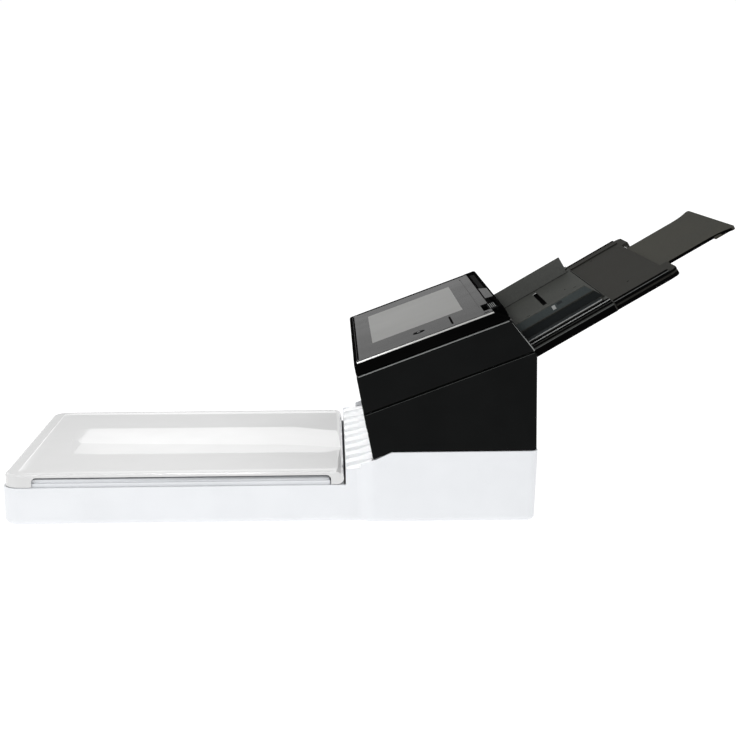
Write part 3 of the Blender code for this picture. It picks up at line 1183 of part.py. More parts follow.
def build_cover(black, glossy, screen, key_plastic, machine):
    """Feeder cover with its hinge arms, the panel housing on it, fascia, screen, home key and release lever."""
    axis = joint_axis("cover_axis", (0, *COVER_AXIS), machine)
    low_front = COVER_SPLIT_Z + SEAM / math.cos(PANEL_SLOPE)
    lift = low_front - COVER_SPLIT_Z
    top_drop = SEAM / 2
    outline = [
        (front_face(low_front), low_front),
        (COVER_BACK_Y, split_z(COVER_BACK_Y) + lift),
        (COVER_TOP_BACK_Y, panel_split_z(COVER_TOP_BACK_Y) - top_drop),
        (front_face(PANEL_SPLIT_Z), PANEL_SPLIT_Z - top_drop),
    ]
    cover = add_piece("cover_shell", extrude(outline, -REAR_HALF, REAR_HALF), black, axis)
    soften(cover, CASE_EDGE)
    wall = CASE_WALL / math.cos(HEAD_LEAN)
    drop = OVERRUN * 3
    cut_run = (COVER_BACK_Y - COVER_TOP_BACK_Y) / (panel_split_z(COVER_TOP_BACK_Y) - split_z(COVER_BACK_Y))
    back_low = (COVER_BACK_Y - CASE_WALL * 2 + cut_run * drop, split_z(COVER_BACK_Y) - drop)
    back_high = (COVER_TOP_BACK_Y - CASE_WALL * 2 - cut_run * drop, panel_split_z(COVER_TOP_BACK_Y) + drop)
    hollow = [
        (front_face(low_front - drop) + wall, low_front - drop),
        back_low,
        back_high,
        (front_face(PANEL_SPLIT_Z + drop) + wall, PANEL_SPLIT_Z + drop),
    ]
    cut(cover, extrude(hollow, -HEAD_INNER, HEAD_INNER))
    lip = panel_split_z(COVER_TOP_BACK_Y) - THROAT_LIP
    throat_low = (-TRAY_HALF - SEAM, COVER_TOP_BACK_Y - CASE_WALL * 4, split_z(COVER_BACK_Y) - drop)
    cut(cover, box(throat_low, (TRAY_HALF + SEAM, COVER_BACK_Y + OVERRUN, lip)))

    y, z = COVER_AXIS
    round_part = arc(COVER_AXIS, ARM_RADIUS, 180 + math.degrees(HEAD_LEAN), 360, ROUND_SIDES // 2)
    lean = ARM_HEIGHT * math.tan(HEAD_LEAN)
    arm = round_part + [(y + ARM_RADIUS - lean, z + ARM_HEIGHT), (y - ARM_RADIUS - lean + GAP, z + ARM_HEIGHT)]
    bridge_low = z + ARM_HEIGHT - ARM_BRIDGE_DROP
    bridge_lean = (ARM_HEIGHT - ARM_BRIDGE_DROP) * math.tan(HEAD_LEAN)
    for side, low, high in mirrored(ARM_OUTER - ARM_WIDTH, ARM_OUTER):
        fuse(cover, extrude(arm, low, high))
        inner, outer = (high, HEAD_INNER) if side == "right" else (-HEAD_INNER, low)
        reach = CASE_WALL / 2
        block_low = (inner - reach, y - bridge_lean - ARM_RADIUS / 2, bridge_low)
        fuse(cover, box(block_low, (outer + reach, y - bridge_lean + ARM_RADIUS / 2, z + ARM_HEIGHT - GAP)))
        cut(cover, extrude(circle(COVER_AXIS, COVER_PIN_RADIUS + GAP), low - OVERRUN, high + GAP * 2))

    turned_back = (PANEL_ORIGIN[0] - COVER_AXIS[0], PANEL_ORIGIN[1] - COVER_AXIS[1])
    panel = add_empty("panel_frame", (0, *turned_back), axis, PANEL_SLOPE)
    build_panel(black, glossy, screen, key_plastic, panel)
    return axis


def build_panel(black, glossy, screen, key_plastic, panel):
    """Sloping housing with a recessed glossy fascia, drawn in the panel frame."""
    front_low = in_panel(front_face(PANEL_SPLIT_Z), PANEL_SPLIT_Z + SEAM / 2)
    back_low = in_panel(COVER_TOP_BACK_Y, panel_split_z(COVER_TOP_BACK_Y) + SEAM / 2)
    outline = [(0, 0), (PANEL_LENGTH, 0), back_low, front_low]
    housing = add_piece("panel_housing", extrude(outline, -REAR_HALF, REAR_HALF), black, panel)
    soften(housing, CASE_EDGE)
    hollow_low = (-HEAD_INNER, CASE_WALL, front_low[1] - OVERRUN)
    cut(housing, box(hollow_low, (HEAD_INNER, PANEL_LENGTH - PANEL_SOLID_REAR, -PANEL_SHELL_TOP)))
    run, drop = back_low[0] - REAR_CHAMFER_ALONG, back_low[1]
    past = back_low[0] + run
    corner = [
        (REAR_CHAMFER_ALONG - run / 2, -drop / 2),
        (past, drop * 2),
        (past, -drop / 2),
    ]
    for _, low, high in mirrored(REAR_CHAMFER_HALF, REAR_HALF + OVERRUN):
        cut(housing, extrude(corner, low, high))

    half = REAR_HALF - FASCIA_SIDE_MARGIN
    seat = FASCIA_THICKNESS + GAP
    fascia_low, fascia_high = (-half, FASCIA_FRONT_MARGIN), (half, FASCIA_END)
    grown_low = tuple(value - GAP for value in fascia_low)
    grown_high = tuple(value + GAP for value in fascia_high)
    cut(housing, extrude(rounded_rectangle(grown_low, grown_high, (FASCIA_CORNER + GAP,) * 4), -seat, OVERRUN, "Z"))
    outline = rounded_rectangle(fascia_low, fascia_high, (FASCIA_CORNER,) * 4)
    fascia = add_piece("panel_fascia", extrude(outline, -FASCIA_THICKNESS, 0, "Z"), glossy, panel)
    screen_end = SCREEN_START + SCREEN_LENGTH
    window_low = (SCREEN_LEFT - GAP, SCREEN_START - GAP, -FASCIA_THICKNESS - OVERRUN)
    cut(fascia, box(window_low, (SCREEN_RIGHT + GAP, screen_end + GAP, OVERRUN)))
    glass = box((SCREEN_LEFT, SCREEN_START, -FASCIA_THICKNESS), (SCREEN_RIGHT, screen_end, 0))
    add_piece("display_screen", glass, screen, panel)

    centre = (KEY_X, KEY_ALONG)
    well = circle(centre, KEY_RADIUS + GAP, ROUND_SIDES)
    cut(housing, extrude(well, -PANEL_SHELL_TOP - OVERRUN, OVERRUN, "Z"))
    cut(fascia, extrude(well, -FASCIA_THICKNESS - OVERRUN, OVERRUN, "Z"))
    key_axis = joint_axis("home_key_axis", (KEY_X, KEY_ALONG, 0), panel)
    flange_top = -PANEL_SHELL_TOP - GAP
    cap = extrude(circle(centre, KEY_RADIUS, ROUND_SIDES), flange_top - KEY_FLANGE / 2, KEY_PROUD, "Z")
    key = add_piece("home_key", cap, key_plastic, key_axis, smooth=True)
    fuse(key, extrude(circle(centre, KEY_RADIUS + KEY_FLANGE, ROUND_SIDES), flange_top - KEY_FLANGE, flange_top, "Z"))

    recess_end = STRIP_RECESS_START + STRIP_RECESS_LENGTH
    cut(housing, box((STRIP_RECESS_LEFT, STRIP_RECESS_START, -STRIP_RECESS_DEPTH), (0, recess_end, OVERRUN)))
    pocket_end = LEVER_POCKET_START + LEVER_POCKET_LENGTH
    pocket_low = (LEVER_LEFT - GAP, LEVER_POCKET_START, -LEVER_POCKET_DEPTH)
    cut(housing, box(pocket_low, (LEVER_RIGHT + GAP, pocket_end, OVERRUN)))
    lever_start = LEVER_POCKET_START + LEVER_FINGER_GAP
    pivot = (pocket_end - LEVER_AXIS_BACK, -GAP - LEVER_THICKNESS / 2)
    lever_axis = joint_axis("release_lever_axis", (0, *pivot), panel)
    lever_low = (LEVER_LEFT, lever_start, -GAP - LEVER_THICKNESS)
    lever = add_piece("release_lever", box(lever_low, (LEVER_RIGHT, pocket_end - GAP * 2, -GAP)), key_plastic, lever_axis)
    pin_low, pin_high = LEVER_LEFT - LEVER_PIN_REACH, LEVER_RIGHT + LEVER_PIN_REACH
    fuse(lever, extrude(circle(pivot, LEVER_PIN_RADIUS), pin_low, pin_high))
    cut(housing, extrude(circle(pivot, LEVER_PIN_RADIUS + GAP), pin_low - GAP, pin_high + GAP))


def build_upper_guide(black, cover_slope):
    """Plate over the feed path in the cover, with a flared throat and ears for the two free rollers."""
    rise = (THROAT_N - UPPER_FLOOR) / (THROAT_S - UPPER_NIP)
    top = UPPER_FLOOR + PATH_PLATE
    bend = UPPER_NIP - PATH_PLATE * rise / 2
    start = PATH_STRAIGHT_END + SEAM
    outline = [
        (start, UPPER_FLOOR),
        (UPPER_NIP, UPPER_FLOOR),
        (THROAT_S, THROAT_N),
        (THROAT_S - PATH_PLATE * rise, THROAT_N + PATH_PLATE),
        (bend, top),
        (start, top),
    ]
    half = HEAD_INNER - GAP
    guide = add_piece("upper_paper_guide", extrude(outline, -half, half), black, cover_slope)
    slack = WINDOW_SLACK
    between_ears = PAPER_HALF - EAR_THICKNESS - slack
    windows = [(FEED_S, SEPARATION_RADIUS, -SEPARATION_HALF, SEPARATION_HALF)]
    windows.append((EJECT_S, SHAFT_RADIUS, -between_ears, between_ears))
    windows += [(EJECT_S, PINCH_RADIUS, low, high) for low, high in tyre_spans(EJECT_TYRE_WIDTH, EJECT_TYRE_SPACING, 4)]
    windows.append((SCAN_BAR_S, SCAN_BAR_HALF_LENGTH - slack + GAP, -SCAN_BAR_HALF + slack - GAP, SCAN_BAR_HALF - slack + GAP))
    for s, half_length, low, high in windows:
        low_corner = (low - slack, s - half_length - slack, UPPER_FLOOR - OVERRUN)
        cut(guide, box(low_corner, (high + slack, s + half_length + slack, top + OVERRUN)))
    ears = (
        ((FEED_S, SEPARATION_N), SEPARATION_SHAFT_HALF),
        ((EJECT_S, PINCH_N), PAPER_HALF),
    )
    for centre, reach in ears:
        for _, low, high in mirrored(reach - EAR_THICKNESS, reach - GAP):
            foot = UPPER_FLOOR + PATH_PLATE / 2
            ear = box((low, centre[0] - EAR_HALF, foot), (high, centre[0] + EAR_HALF, centre[1] + EAR_HALF))
            fuse(guide, ear)
            cut(guide, extrude(circle(centre, SHAFT_RADIUS + GAP), low - OVERRUN / 2, high + OVERRUN / 2))


def build_tray(black, nylon, slope):
    """Input tray whose hollow floor holds the extensions, with the guide slots and the racks' pocket."""
    outline = [(-TRAY_HALF, 0), (TRAY_HALF, 0)]
    radius = TRAY_EDGE_RADIUS
    outline += arc((TRAY_HALF - radius, TRAY_TOP - radius), radius, 0, 90)
    outline += arc((radius - TRAY_HALF, TRAY_TOP - radius), radius, 90, 180)
    tray = add_piece("input_tray", extrude(outline, TRAY_START, TRAY_END, "Y"), black, slope)
    half = TRAY_HALF - TRAY_SIDE
    start, end = TRAY_START + TRAY_SKIN, TRAY_END + OVERRUN
    cut(tray, box((-half, start, -OVERRUN), (half, end, FLOOR_UNDERSIDE)))
    for _, low, high in mirrored(half - GAP - INNER_RIM_WIDTH - GAP, half):
        cut(tray, box((low, start, FLOOR_UNDERSIDE - GAP), (high, end, RACK_TOP + GAP)))
    for _, low, high in mirrored(half - TONGUE_DEPTH, half + TRAY_SIDE / 2):
        fuse(tray, box((low, start + GAP, TONGUE_LOW), (high, TRAY_END - INNER_CORNER, TONGUE_LOW + TONGUE_HEIGHT)))
    pocket_half = GUIDE_FACE + GUIDE_WALL + OVERRUN
    reach = RACK_PINION_RADIUS + ADDENDUM + DEDENDUM + RACK_DEPTH + POCKET_SLACK
    pocket_low = (-pocket_half, GUIDE_SLOT_S - reach, FLOOR_UNDERSIDE - GAP)
    cut(tray, box(pocket_low, (pocket_half, GUIDE_SLOT_S + reach, RACK_TOP + GAP)))
    slot_half = GUIDE_SLOT_WIDTH / 2
    outer = GUIDE_FACE + GUIDE_WALL + GAP
    inner = GUIDE_FACE - GUIDE_TRAVEL - GAP
    for _, low, high in mirrored(inner - GAP, outer + GAP):
        slot_low = (low, GUIDE_SLOT_S - slot_half, RACK_TOP - GAP)
        cut(tray, box(slot_low, (high, GUIDE_SLOT_S + slot_half, TRAY_TOP + OVERRUN)))
    rack_bottom = RACK_TOP - RACK_THICKNESS
    boss = circle((0, GUIDE_SLOT_S), RACK_BOSS_RADIUS)
    fuse(tray, extrude(boss, rack_bottom, TRAY_TOP - TRAY_SKIN / 2, "Z"))

    centre = (0, GUIDE_SLOT_S)
    axis = joint_axis("guide_pinion_axis", (*centre, rack_bottom), slope)
    outline = gear_outline(centre, RACK_PINION_TEETH, RACK_MODULE, math.pi / 2)
    pinion = add_piece("guide_pinion", extrude(outline, rack_bottom, RACK_TOP, "Z"), nylon, axis)
    cut(pinion, extrude(circle(centre, RACK_BOSS_RADIUS + GAP), rack_bottom - OVERRUN, RACK_TOP + OVERRUN, "Z"))


def build_side_guides(black, slope):
    """Two walls that centre the paper. A stem through the floor joins each to a rack on one side of the pinion."""
    bottom = TRAY_TOP + GAP
    side_view = [
        (GUIDE_START, bottom),
        (GUIDE_END, bottom),
        (GUIDE_END, bottom + GUIDE_HEIGHT),
        (GUIDE_SLOPE_START, bottom + GUIDE_HEIGHT),
        (GUIDE_START, bottom + GUIDE_LOW_HEIGHT),
    ]
    rack_bottom = RACK_TOP - RACK_THICKNESS
    pitch_line = RACK_PINION_RADIUS + MESH_SLACK
    step = math.pi * RACK_MODULE
    face = GUIDE_FACE + GUIDE_WALL
    for side, sign in (("right", 1), ("left", -1)):
        axis = joint_axis(f"paper_guide_{side}_axis", (sign * GUIDE_FACE, GUIDE_SLOT_S, bottom), slope)
        low, high = sorted((sign * GUIDE_FACE, sign * face))
        guide = add_piece(f"paper_guide_{side}", extrude(side_view, low, high), black, axis)
        flange_low, flange_high = sorted((sign * (GUIDE_FACE + GUIDE_WALL / 2), sign * (face + GUIDE_FLANGE)))
        flange_top = bottom + GUIDE_FLANGE_THICKNESS
        fuse(guide, box((flange_low, GUIDE_START + GAP, bottom), (flange_high, GUIDE_END - GAP, flange_top)))
        stem = GUIDE_STEM / 2
        fuse(guide, box((low, GUIDE_SLOT_S - stem, rack_bottom), (high, GUIDE_SLOT_S + stem, bottom + GUIDE_WALL)))

        inner_edge = GUIDE_SLOT_S + sign * (pitch_line + DEDENDUM)
        outer_edge = inner_edge + sign * RACK_DEPTH
        link = sorted((GUIDE_SLOT_S - sign * stem, outer_edge))
        fuse(guide, box((low, link[0], rack_bottom), (high, link[1], RACK_TOP)))
        count = int((GUIDE_FACE + RACK_PASS) / step)
        first_gap = step / 2
        teeth_line = GUIDE_SLOT_S + sign * (pitch_line - ADDENDUM)
        rack = [(sign * face, outer_edge), (sign * face, inner_edge)]
        for i in range(count):
            middle = GUIDE_FACE - RACK_MODULE - (GUIDE_FACE - RACK_MODULE - first_gap) % step - step * i
            root, tip = TOOTH_ROOT_SHARE * step / 2, TOOTH_TIP_SHARE * step / 2
            rack += [(sign * (middle + root), inner_edge), (sign * (middle + tip), teeth_line)]
            rack += [(sign * (middle - tip), teeth_line), (sign * (middle - root), inner_edge)]
        last = rack[-1][0] - sign * RACK_MODULE
        rack += [(last, inner_edge), (last, outer_edge)]
        fuse(guide, extrude(rack, rack_bottom, RACK_TOP, "Z"))


def build_extensions(black, slope):
    """Wide extension that runs in the tray, and the narrow flared one that runs in it."""
    half = TRAY_HALF - TRAY_SIDE - GAP
    bottom = 0
    axis = joint_axis("tray_extension_inner_axis", (0, INNER_START, INNER_TOP), slope)
    square, corner = LEAST_CORNER, INNER_CORNER
    outline = rounded_rectangle((-half, INNER_START), (half, INNER_END), (square, square, corner, corner))
    inner = add_piece("tray_extension_inner", extrude(outline, bottom, INNER_TOP, "Z"), black, axis)
    under = INNER_TOP - INNER_PLATE
    side = half - INNER_SIDE
    cut(
        inner,
        box((-side, INNER_START - OVERRUN, bottom - OVERRUN), (side, INNER_END - INNER_SIDE, under)),
        box((-INNER_NOTCH_HALF, INNER_END - INNER_NOTCH_DEPTH, bottom - OVERRUN), (INNER_NOTCH_HALF, INNER_END + OVERRUN, INNER_TOP + OVERRUN)),
    )
    for _, low, high in mirrored(half - INNER_RIM_WIDTH, half):
        fuse(inner, box((low + GAP, INNER_START + GAP, under), (high - GAP, INNER_END - INNER_CORNER, RACK_TOP)))
    for _, low, high in mirrored(half - TONGUE_DEPTH, half + OVERRUN):
        groove_low = (low, INNER_START - OVERRUN, TONGUE_LOW - GAP)
        cut(inner, box(groove_low, (high, INNER_END - INNER_CORNER, TONGUE_LOW + TONGUE_HEIGHT + GAP)))
    rail = OUTER_HALF + GAP
    for _, low, high in mirrored(rail, rail + RAIL_WIDTH):
        fuse(inner, box((low, INNER_START + GAP, bottom), (high, RAIL_END, under + INNER_PLATE / 2)))
    for _, low, high in mirrored(rail + RAIL_WIDTH / 2 - RAIL_LIP, rail + RAIL_WIDTH / 2):
        fuse(inner, box((low, INNER_START + GAP * 2, bottom + GAP / 2), (high, RAIL_END - GAP, bottom + RAIL_LIP_THICKNESS)))

    axis = joint_axis("tray_extension_outer_axis", (0, OUTER_START, OUTER_TOP), slope)
    low = OUTER_TOP - OUTER_THICKNESS
    flare_start = OUTER_END - OUTER_FLARE_LENGTH
    edge = [(OUTER_HALF, OUTER_START)]
    for share in FLARE_SHARES:
        widen = (OUTER_FLARE_HALF - OUTER_HALF) * share * share
        edge.append((OUTER_HALF + widen, flare_start + (OUTER_FLARE_LENGTH - OUTER_CORNER) * share))
    edge += arc((OUTER_FLARE_HALF - OUTER_CORNER, OUTER_END - OUTER_CORNER), OUTER_CORNER, 30, 90)
    outline = edge + [(-x, s) for x, s in reversed(edge)]
    outer = add_piece("tray_extension_outer", extrude(outline, low, OUTER_TOP, "Z"), black, axis)
    grip_half = OUTER_FLARE_HALF - OUTER_CORNER * 2
    grip_low = (-grip_half, OUTER_END - OUTER_GRIP_LENGTH, low - OUTER_GRIP_DROP)
    fuse(outer, box(grip_low, (grip_half, OUTER_END, low + OUTER_THICKNESS / 2)))


def build_electrics(green, socket_metal, socket_black, switch_plastic, machine, back_at):
    """Circuit board with its sockets at the rear wall, and the rocker power switch."""
    board_top = BOARD_Z + BOARD_THICKNESS
    board = box((-BOARD_HALF, BOARD_FRONT, BOARD_Z), (BOARD_HALF, BOARD_BACK, board_top))
    board = add_piece("circuit_board", board, green, machine)
    length = BOARD_BACK - SOCKET_DEPTH - BOARD_FRONT
    for x_share, y_share, width_share, depth_share in CHIP_SHARES:
        x, y = x_share * BOARD_HALF, BOARD_FRONT + y_share * length
        half, deep = width_share * BOARD_HALF / 2, depth_share * length / 2
        fuse(board, box((x - half, y - deep, BOARD_Z + BOARD_THICKNESS / 2), (x + half, y + deep, board_top + CHIP_HEIGHT)))

    bottom = board_top + GAP
    face = back_at(BOARD_Z) - GAP
    front = face - SOCKET_DEPTH
    for name, x, size, material in (
        ("power_inlet", POWER_INLET_X, POWER_INLET_SIZE, socket_black),
        ("usb_socket", USB_X, USB_SIZE, socket_metal),
        ("network_socket", NETWORK_X, NETWORK_SIZE, socket_metal),
    ):
        half, top = size[0] / 2, bottom + size[1]
        socket = add_piece(name, box((x - half, front, bottom), (x + half, face, top)), material, machine)
        if name == "power_inlet":
            centre = (x, bottom + size[1] / 2)
            cut(socket, extrude(circle(centre, POWER_INLET_BORE, ROUND_SIDES), front + SOCKET_WALL, face + OVERRUN, "Y"))
            pin = circle(centre, POWER_INLET_PIN, PIN_SIDES // 2)
            fuse(socket, extrude(pin, front + SOCKET_WALL / 2, face - POWER_INLET_PIN_SINK, "Y"))
        else:
            low = (x - half + SOCKET_WALL, front + SOCKET_WALL, bottom + SOCKET_WALL)
            cut(socket, box(low, (x + half - SOCKET_WALL, face + OVERRUN, top - SOCKET_WALL)))

    inside = back_at(SWITCH_Z) - CASE_WALL
    pivot = (inside - SWITCH_BODY / 2, SWITCH_Z)
    axis = joint_axis("power_switch_axis", (SWITCH_X, *pivot), machine)
    outside = inside + CASE_WALL
    tall = SWITCH_HALF_HEIGHT
    foot, face = pivot[0] - SWITCH_BODY / 3, outside + SWITCH_FACE
    half_view = [(foot, tall / 2), (inside, tall), (face, tall)]
    side_view = [(y, -rise) for y, rise in half_view] + [(outside + SWITCH_FACE / 4, 0)]
    side_view += [(y, rise) for y, rise in reversed(half_view)]
    side_view = [leaned((y, SWITCH_Z + rise), pivot, SWITCH_TILT) for y, rise in side_view]
    rocker = add_piece("power_switch", extrude(side_view, SWITCH_X - SWITCH_HALF, SWITCH_X + SWITCH_HALF), switch_plastic, axis)
    pin_half = SWITCH_HALF + SWITCH_CHEEK
    fuse(rocker, extrude(circle(pivot, SWITCH_PIN_RADIUS), SWITCH_X - pin_half, SWITCH_X + pin_half))


def main():
    """Builds the scanner round a root empty that sets its origin under the middle of its length."""
    for old in list(bpy.data.objects):
        bpy.data.objects.remove(old, do_unlink=True)

    white = finish("white_casing_plastic", 0xECEDEF, 0.35)
    soft_white = finish("white_foam", 0xF2F2F0, 0.9)
    black = finish("black_casing_plastic", 0x1A1C1C, 0.45)
    tray_black = finish("textured_black_plastic", 0x2A2B2A, 0.6)
    glossy = finish("glossy_panel", 0x242625, 0.12)
    screen = finish("screen_glass", 0x8E8E8C, 0.08)
    glass = finish("platen_glass", 0xDDE8E4, 0.05, alpha=0.35)
    rubber = finish("roller_rubber", 0x3A3B3D, 0.8)
    foot_rubber = finish("foot_rubber", 0x8A8B8D, 0.85)
    steel = finish("zinc_plated_steel", 0xA9ABAE, 0.35, 1.0)
    dark = finish("belt_rubber", 0x202020, 0.75)
    lens = finish("sensor_bar", 0x2C2F33, 0.2)
    nylon = finish("white_nylon", 0xDAD8CF, 0.5)
    green = finish("circuit_board_green", 0x1F5A38, 0.5)
    socket_metal = finish("socket_nickel", 0xB9BABC, 0.3, 1.0)
    socket_black = finish("socket_black", 0x151515, 0.5)
    key_plastic = finish("key_plastic", 0x303231, 0.4)

    machine = add_empty("machine_frame", (0, -MIDDLE_Y, 0))
    slope = add_empty("slope_frame", (0, SLOPE_Y, SLOPE_Z), machine, SLOPE_ANGLE)

    back_at = build_base_casing(white, machine)
    build_feet(foot_rubber, machine)
    build_platen(white, glass, machine)
    build_lid(white, soft_white, steel, machine)
    build_flatbed_drive(socket_black, steel, dark, lens, machine)
    build_exit_ramp(white, machine)
    build_head_case(black, steel, machine, slope)
    build_feed_guides(tray_black, machine, slope)
    build_side_frames(steel, machine, slope)
    cover_axis = build_cover(black, glossy, screen, key_plastic, machine)
    slope_in_cover = (0, SLOPE_Y - COVER_AXIS[0], SLOPE_Z - COVER_AXIS[1])
    cover_slope = add_empty("cover_slope_frame", slope_in_cover, cover_axis, SLOPE_ANGLE)
    build_upper_guide(tray_black, cover_slope)
    build_scan_bars(lens, slope, cover_slope)
    axes = build_rollers(rubber, slope, cover_slope)
    build_gears(nylon, slope, axes)
    build_tray(tray_black, nylon, slope)
    build_side_guides(tray_black, slope)
    build_extensions(tray_black, slope)
    build_electrics(green, socket_metal, socket_black, key_plastic, machine, back_at)


main()
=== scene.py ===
"""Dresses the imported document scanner: casings, glass, rollers, gears and electrics, each in its own finish."""

from __future__ import annotations

import logging
import math
from dataclasses import dataclass, replace
from enum import Enum
from typing import Any, Callable, Sequence

import bmesh
import bpy
from mathutils import Matrix, Vector
from mathutils.bvhtree import BVHTree


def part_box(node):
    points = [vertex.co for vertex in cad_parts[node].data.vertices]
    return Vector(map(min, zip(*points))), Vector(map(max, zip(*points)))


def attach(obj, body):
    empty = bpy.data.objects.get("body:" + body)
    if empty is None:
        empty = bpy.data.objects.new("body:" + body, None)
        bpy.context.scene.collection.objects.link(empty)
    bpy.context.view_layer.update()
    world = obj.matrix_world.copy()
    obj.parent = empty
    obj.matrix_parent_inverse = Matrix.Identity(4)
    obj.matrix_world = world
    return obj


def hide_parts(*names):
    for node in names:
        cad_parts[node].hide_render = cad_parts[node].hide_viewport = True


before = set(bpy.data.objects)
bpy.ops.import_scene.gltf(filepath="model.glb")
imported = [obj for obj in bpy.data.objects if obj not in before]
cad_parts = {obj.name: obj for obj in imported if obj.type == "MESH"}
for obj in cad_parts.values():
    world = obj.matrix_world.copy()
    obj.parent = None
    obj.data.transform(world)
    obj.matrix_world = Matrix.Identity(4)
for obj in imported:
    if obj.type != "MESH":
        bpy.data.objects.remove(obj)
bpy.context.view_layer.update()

LOG = logging.getLogger("scanner")
MM = 0.001
# Points nearer to each other than this are merged
WELD = 0.002 * MM
# A ring is never smaller than this, so that a pointed end stays closed
LEAST_RADIUS = 0.01 * MM
# How far a cutting tool runs past the face that it enters
PAST = 0.004
# How deep a thin inlay is let into its face, how far it stands out, and how far a flatter one does
EMBED = 0.0002
PROUD = 0.00006
FLUSH = 0.00004
# How far the middle of a quarter round lies in from each face, as a share of its radius
ROUND_SHARE = 1 - math.sqrt(0.5)
# A screw head's height and radius from its seat up, as shares of its radius
PAN_HEAD = ((0.0, 1.0), (0.22, 1.0), (0.4, 0.86), (0.5, 0.6), (0.52, 0.0))

Point = tuple[float, float]
Place = tuple[float, float, float]
Mark = tuple[float, float, float, float]
Mesh = bmesh.types.BMesh
Material, NodeSocket, NodeTree = bpy.types.Material, bpy.types.NodeSocket, bpy.types.NodeTree


class Body(str, Enum):
    """The moving bodies that pieces ride on."""

    CHASSIS = "chassis"
    LID = "lid"
    CARRIAGE = "carriage"
    DRIVE_PULLEY = "drive_pulley"
    IDLER_PULLEY = "idler_pulley"
    COVER = "cover"
    KEY = "key"
    LEVER = "lever"
    SEPARATION = "separation"
    PINCH = "pinch"
    PICK = "pick"
    FEED = "feed"
    EJECT = "eject"
    SMALL_IDLER = "small_idler"
    LARGE_IDLER = "large_idler"
    PINION = "pinion"
    RIGHT_GUIDE = "right_guide"
    LEFT_GUIDE = "left_guide"
    RACK_PINION = "rack_pinion"
    INNER_EXTENSION = "inner_extension"
    OUTER_EXTENSION = "outer_extension"
    SWITCH = "switch"


class Join(str, Enum):
    """How one shape acts on another."""

    CUT = "DIFFERENCE"
    ADD = "UNION"


class Axis(Enum):
    """The line that a shape runs along or turns about."""

    X = "X"
    Y = "Y"
    Z = "Z"


def linear(hex_colour: str) -> tuple[float, float, float, float]:
    """Turns an sRGB colour into linear light.

    Args:
        hex_colour: Six hex digits, such as "1A1C1C".

    Returns:
        Linear red, green and blue, and an alpha of 1.
    """
    channels = [int(hex_colour[i : i + 2], 16) / 255 for i in (0, 2, 4)]
    red, green, blue = (c / 12.92 if c <= 0.04045 else ((c + 0.055) / 1.055) ** 2.4 for c in channels)
    return red, green, blue, 1.0


def connect(tree: NodeTree, node: bpy.types.Node, inputs: dict[Any, Any]) -> None:
    """Feeds a node: an output socket is linked, and anything else is set as a value.

    Args:
        tree: The node's tree.
        node: The node.
        inputs: Socket name or number, and what feeds it.
    """
    for key, value in inputs.items():
        if isinstance(value, NodeSocket):
            tree.links.new(value, node.inputs[key])
        else:
            node.inputs[key].default_value = value


def add_node(
    tree: NodeTree, kind: str, inputs: dict[Any, Any] | None = None, **settings: Any
) -> bpy.types.Node:
    """Adds a node to a tree, with its settings, socket values and links.

    Args:
        tree: The shader or geometry tree.
        kind: Blender's type name of the node.
        inputs: Socket name or number, and the value or the output socket that feeds it.
        **settings: Attributes of the node itself.

    Returns:
        The new node.
    """
    node = tree.nodes.new(kind)
    for name, value in settings.items():
        setattr(node, name, value)
    connect(tree, node, inputs or {})
    return node


@dataclass(frozen=True)
class Finish:
    """A surface of one material: its name, the record's slot that it belongs to, its colour and roughness."""

    name: str
    slot: str
    colour: str
    roughness: float

    def material(self) -> Material:
        """The finish's material, made the first time that it is asked for."""
        return bpy.data.materials.get(self.name) or self.build()

    def start(self) -> tuple[Material, NodeTree, NodeSocket]:
        """Opens a material with this finish's colour and roughness.

        Returns:
            The material, its tree and the object's coordinates.
        """
        material = bpy.data.materials.new(self.name)
        material.use_nodes = True
        tree = material.node_tree
        plain_look = {"Base Color": linear(self.colour), "Roughness": self.roughness}
        connect(tree, tree.nodes["Principled BSDF"], plain_look)
        return material, tree, add_node(tree, "ShaderNodeTexCoord").outputs["Object"]

    def wear(self, material: Material, look: dict[str, Any]) -> Material:
        """Feeds the material's shader, by its inputs' names, with what its surface shows."""
        connect(material.node_tree, material.node_tree.nodes["Principled BSDF"], look)
        return material

    def turning(self, share: NodeSocket, other: str) -> dict[int, Any]:
        """The inputs of a mix that turns from the finish's colour to another one as a pattern rises."""
        return {0: share, 6: linear(self.colour), 7: linear(other)}

    def build(self) -> Material:
        """Makes the material."""
        raise NotImplementedError


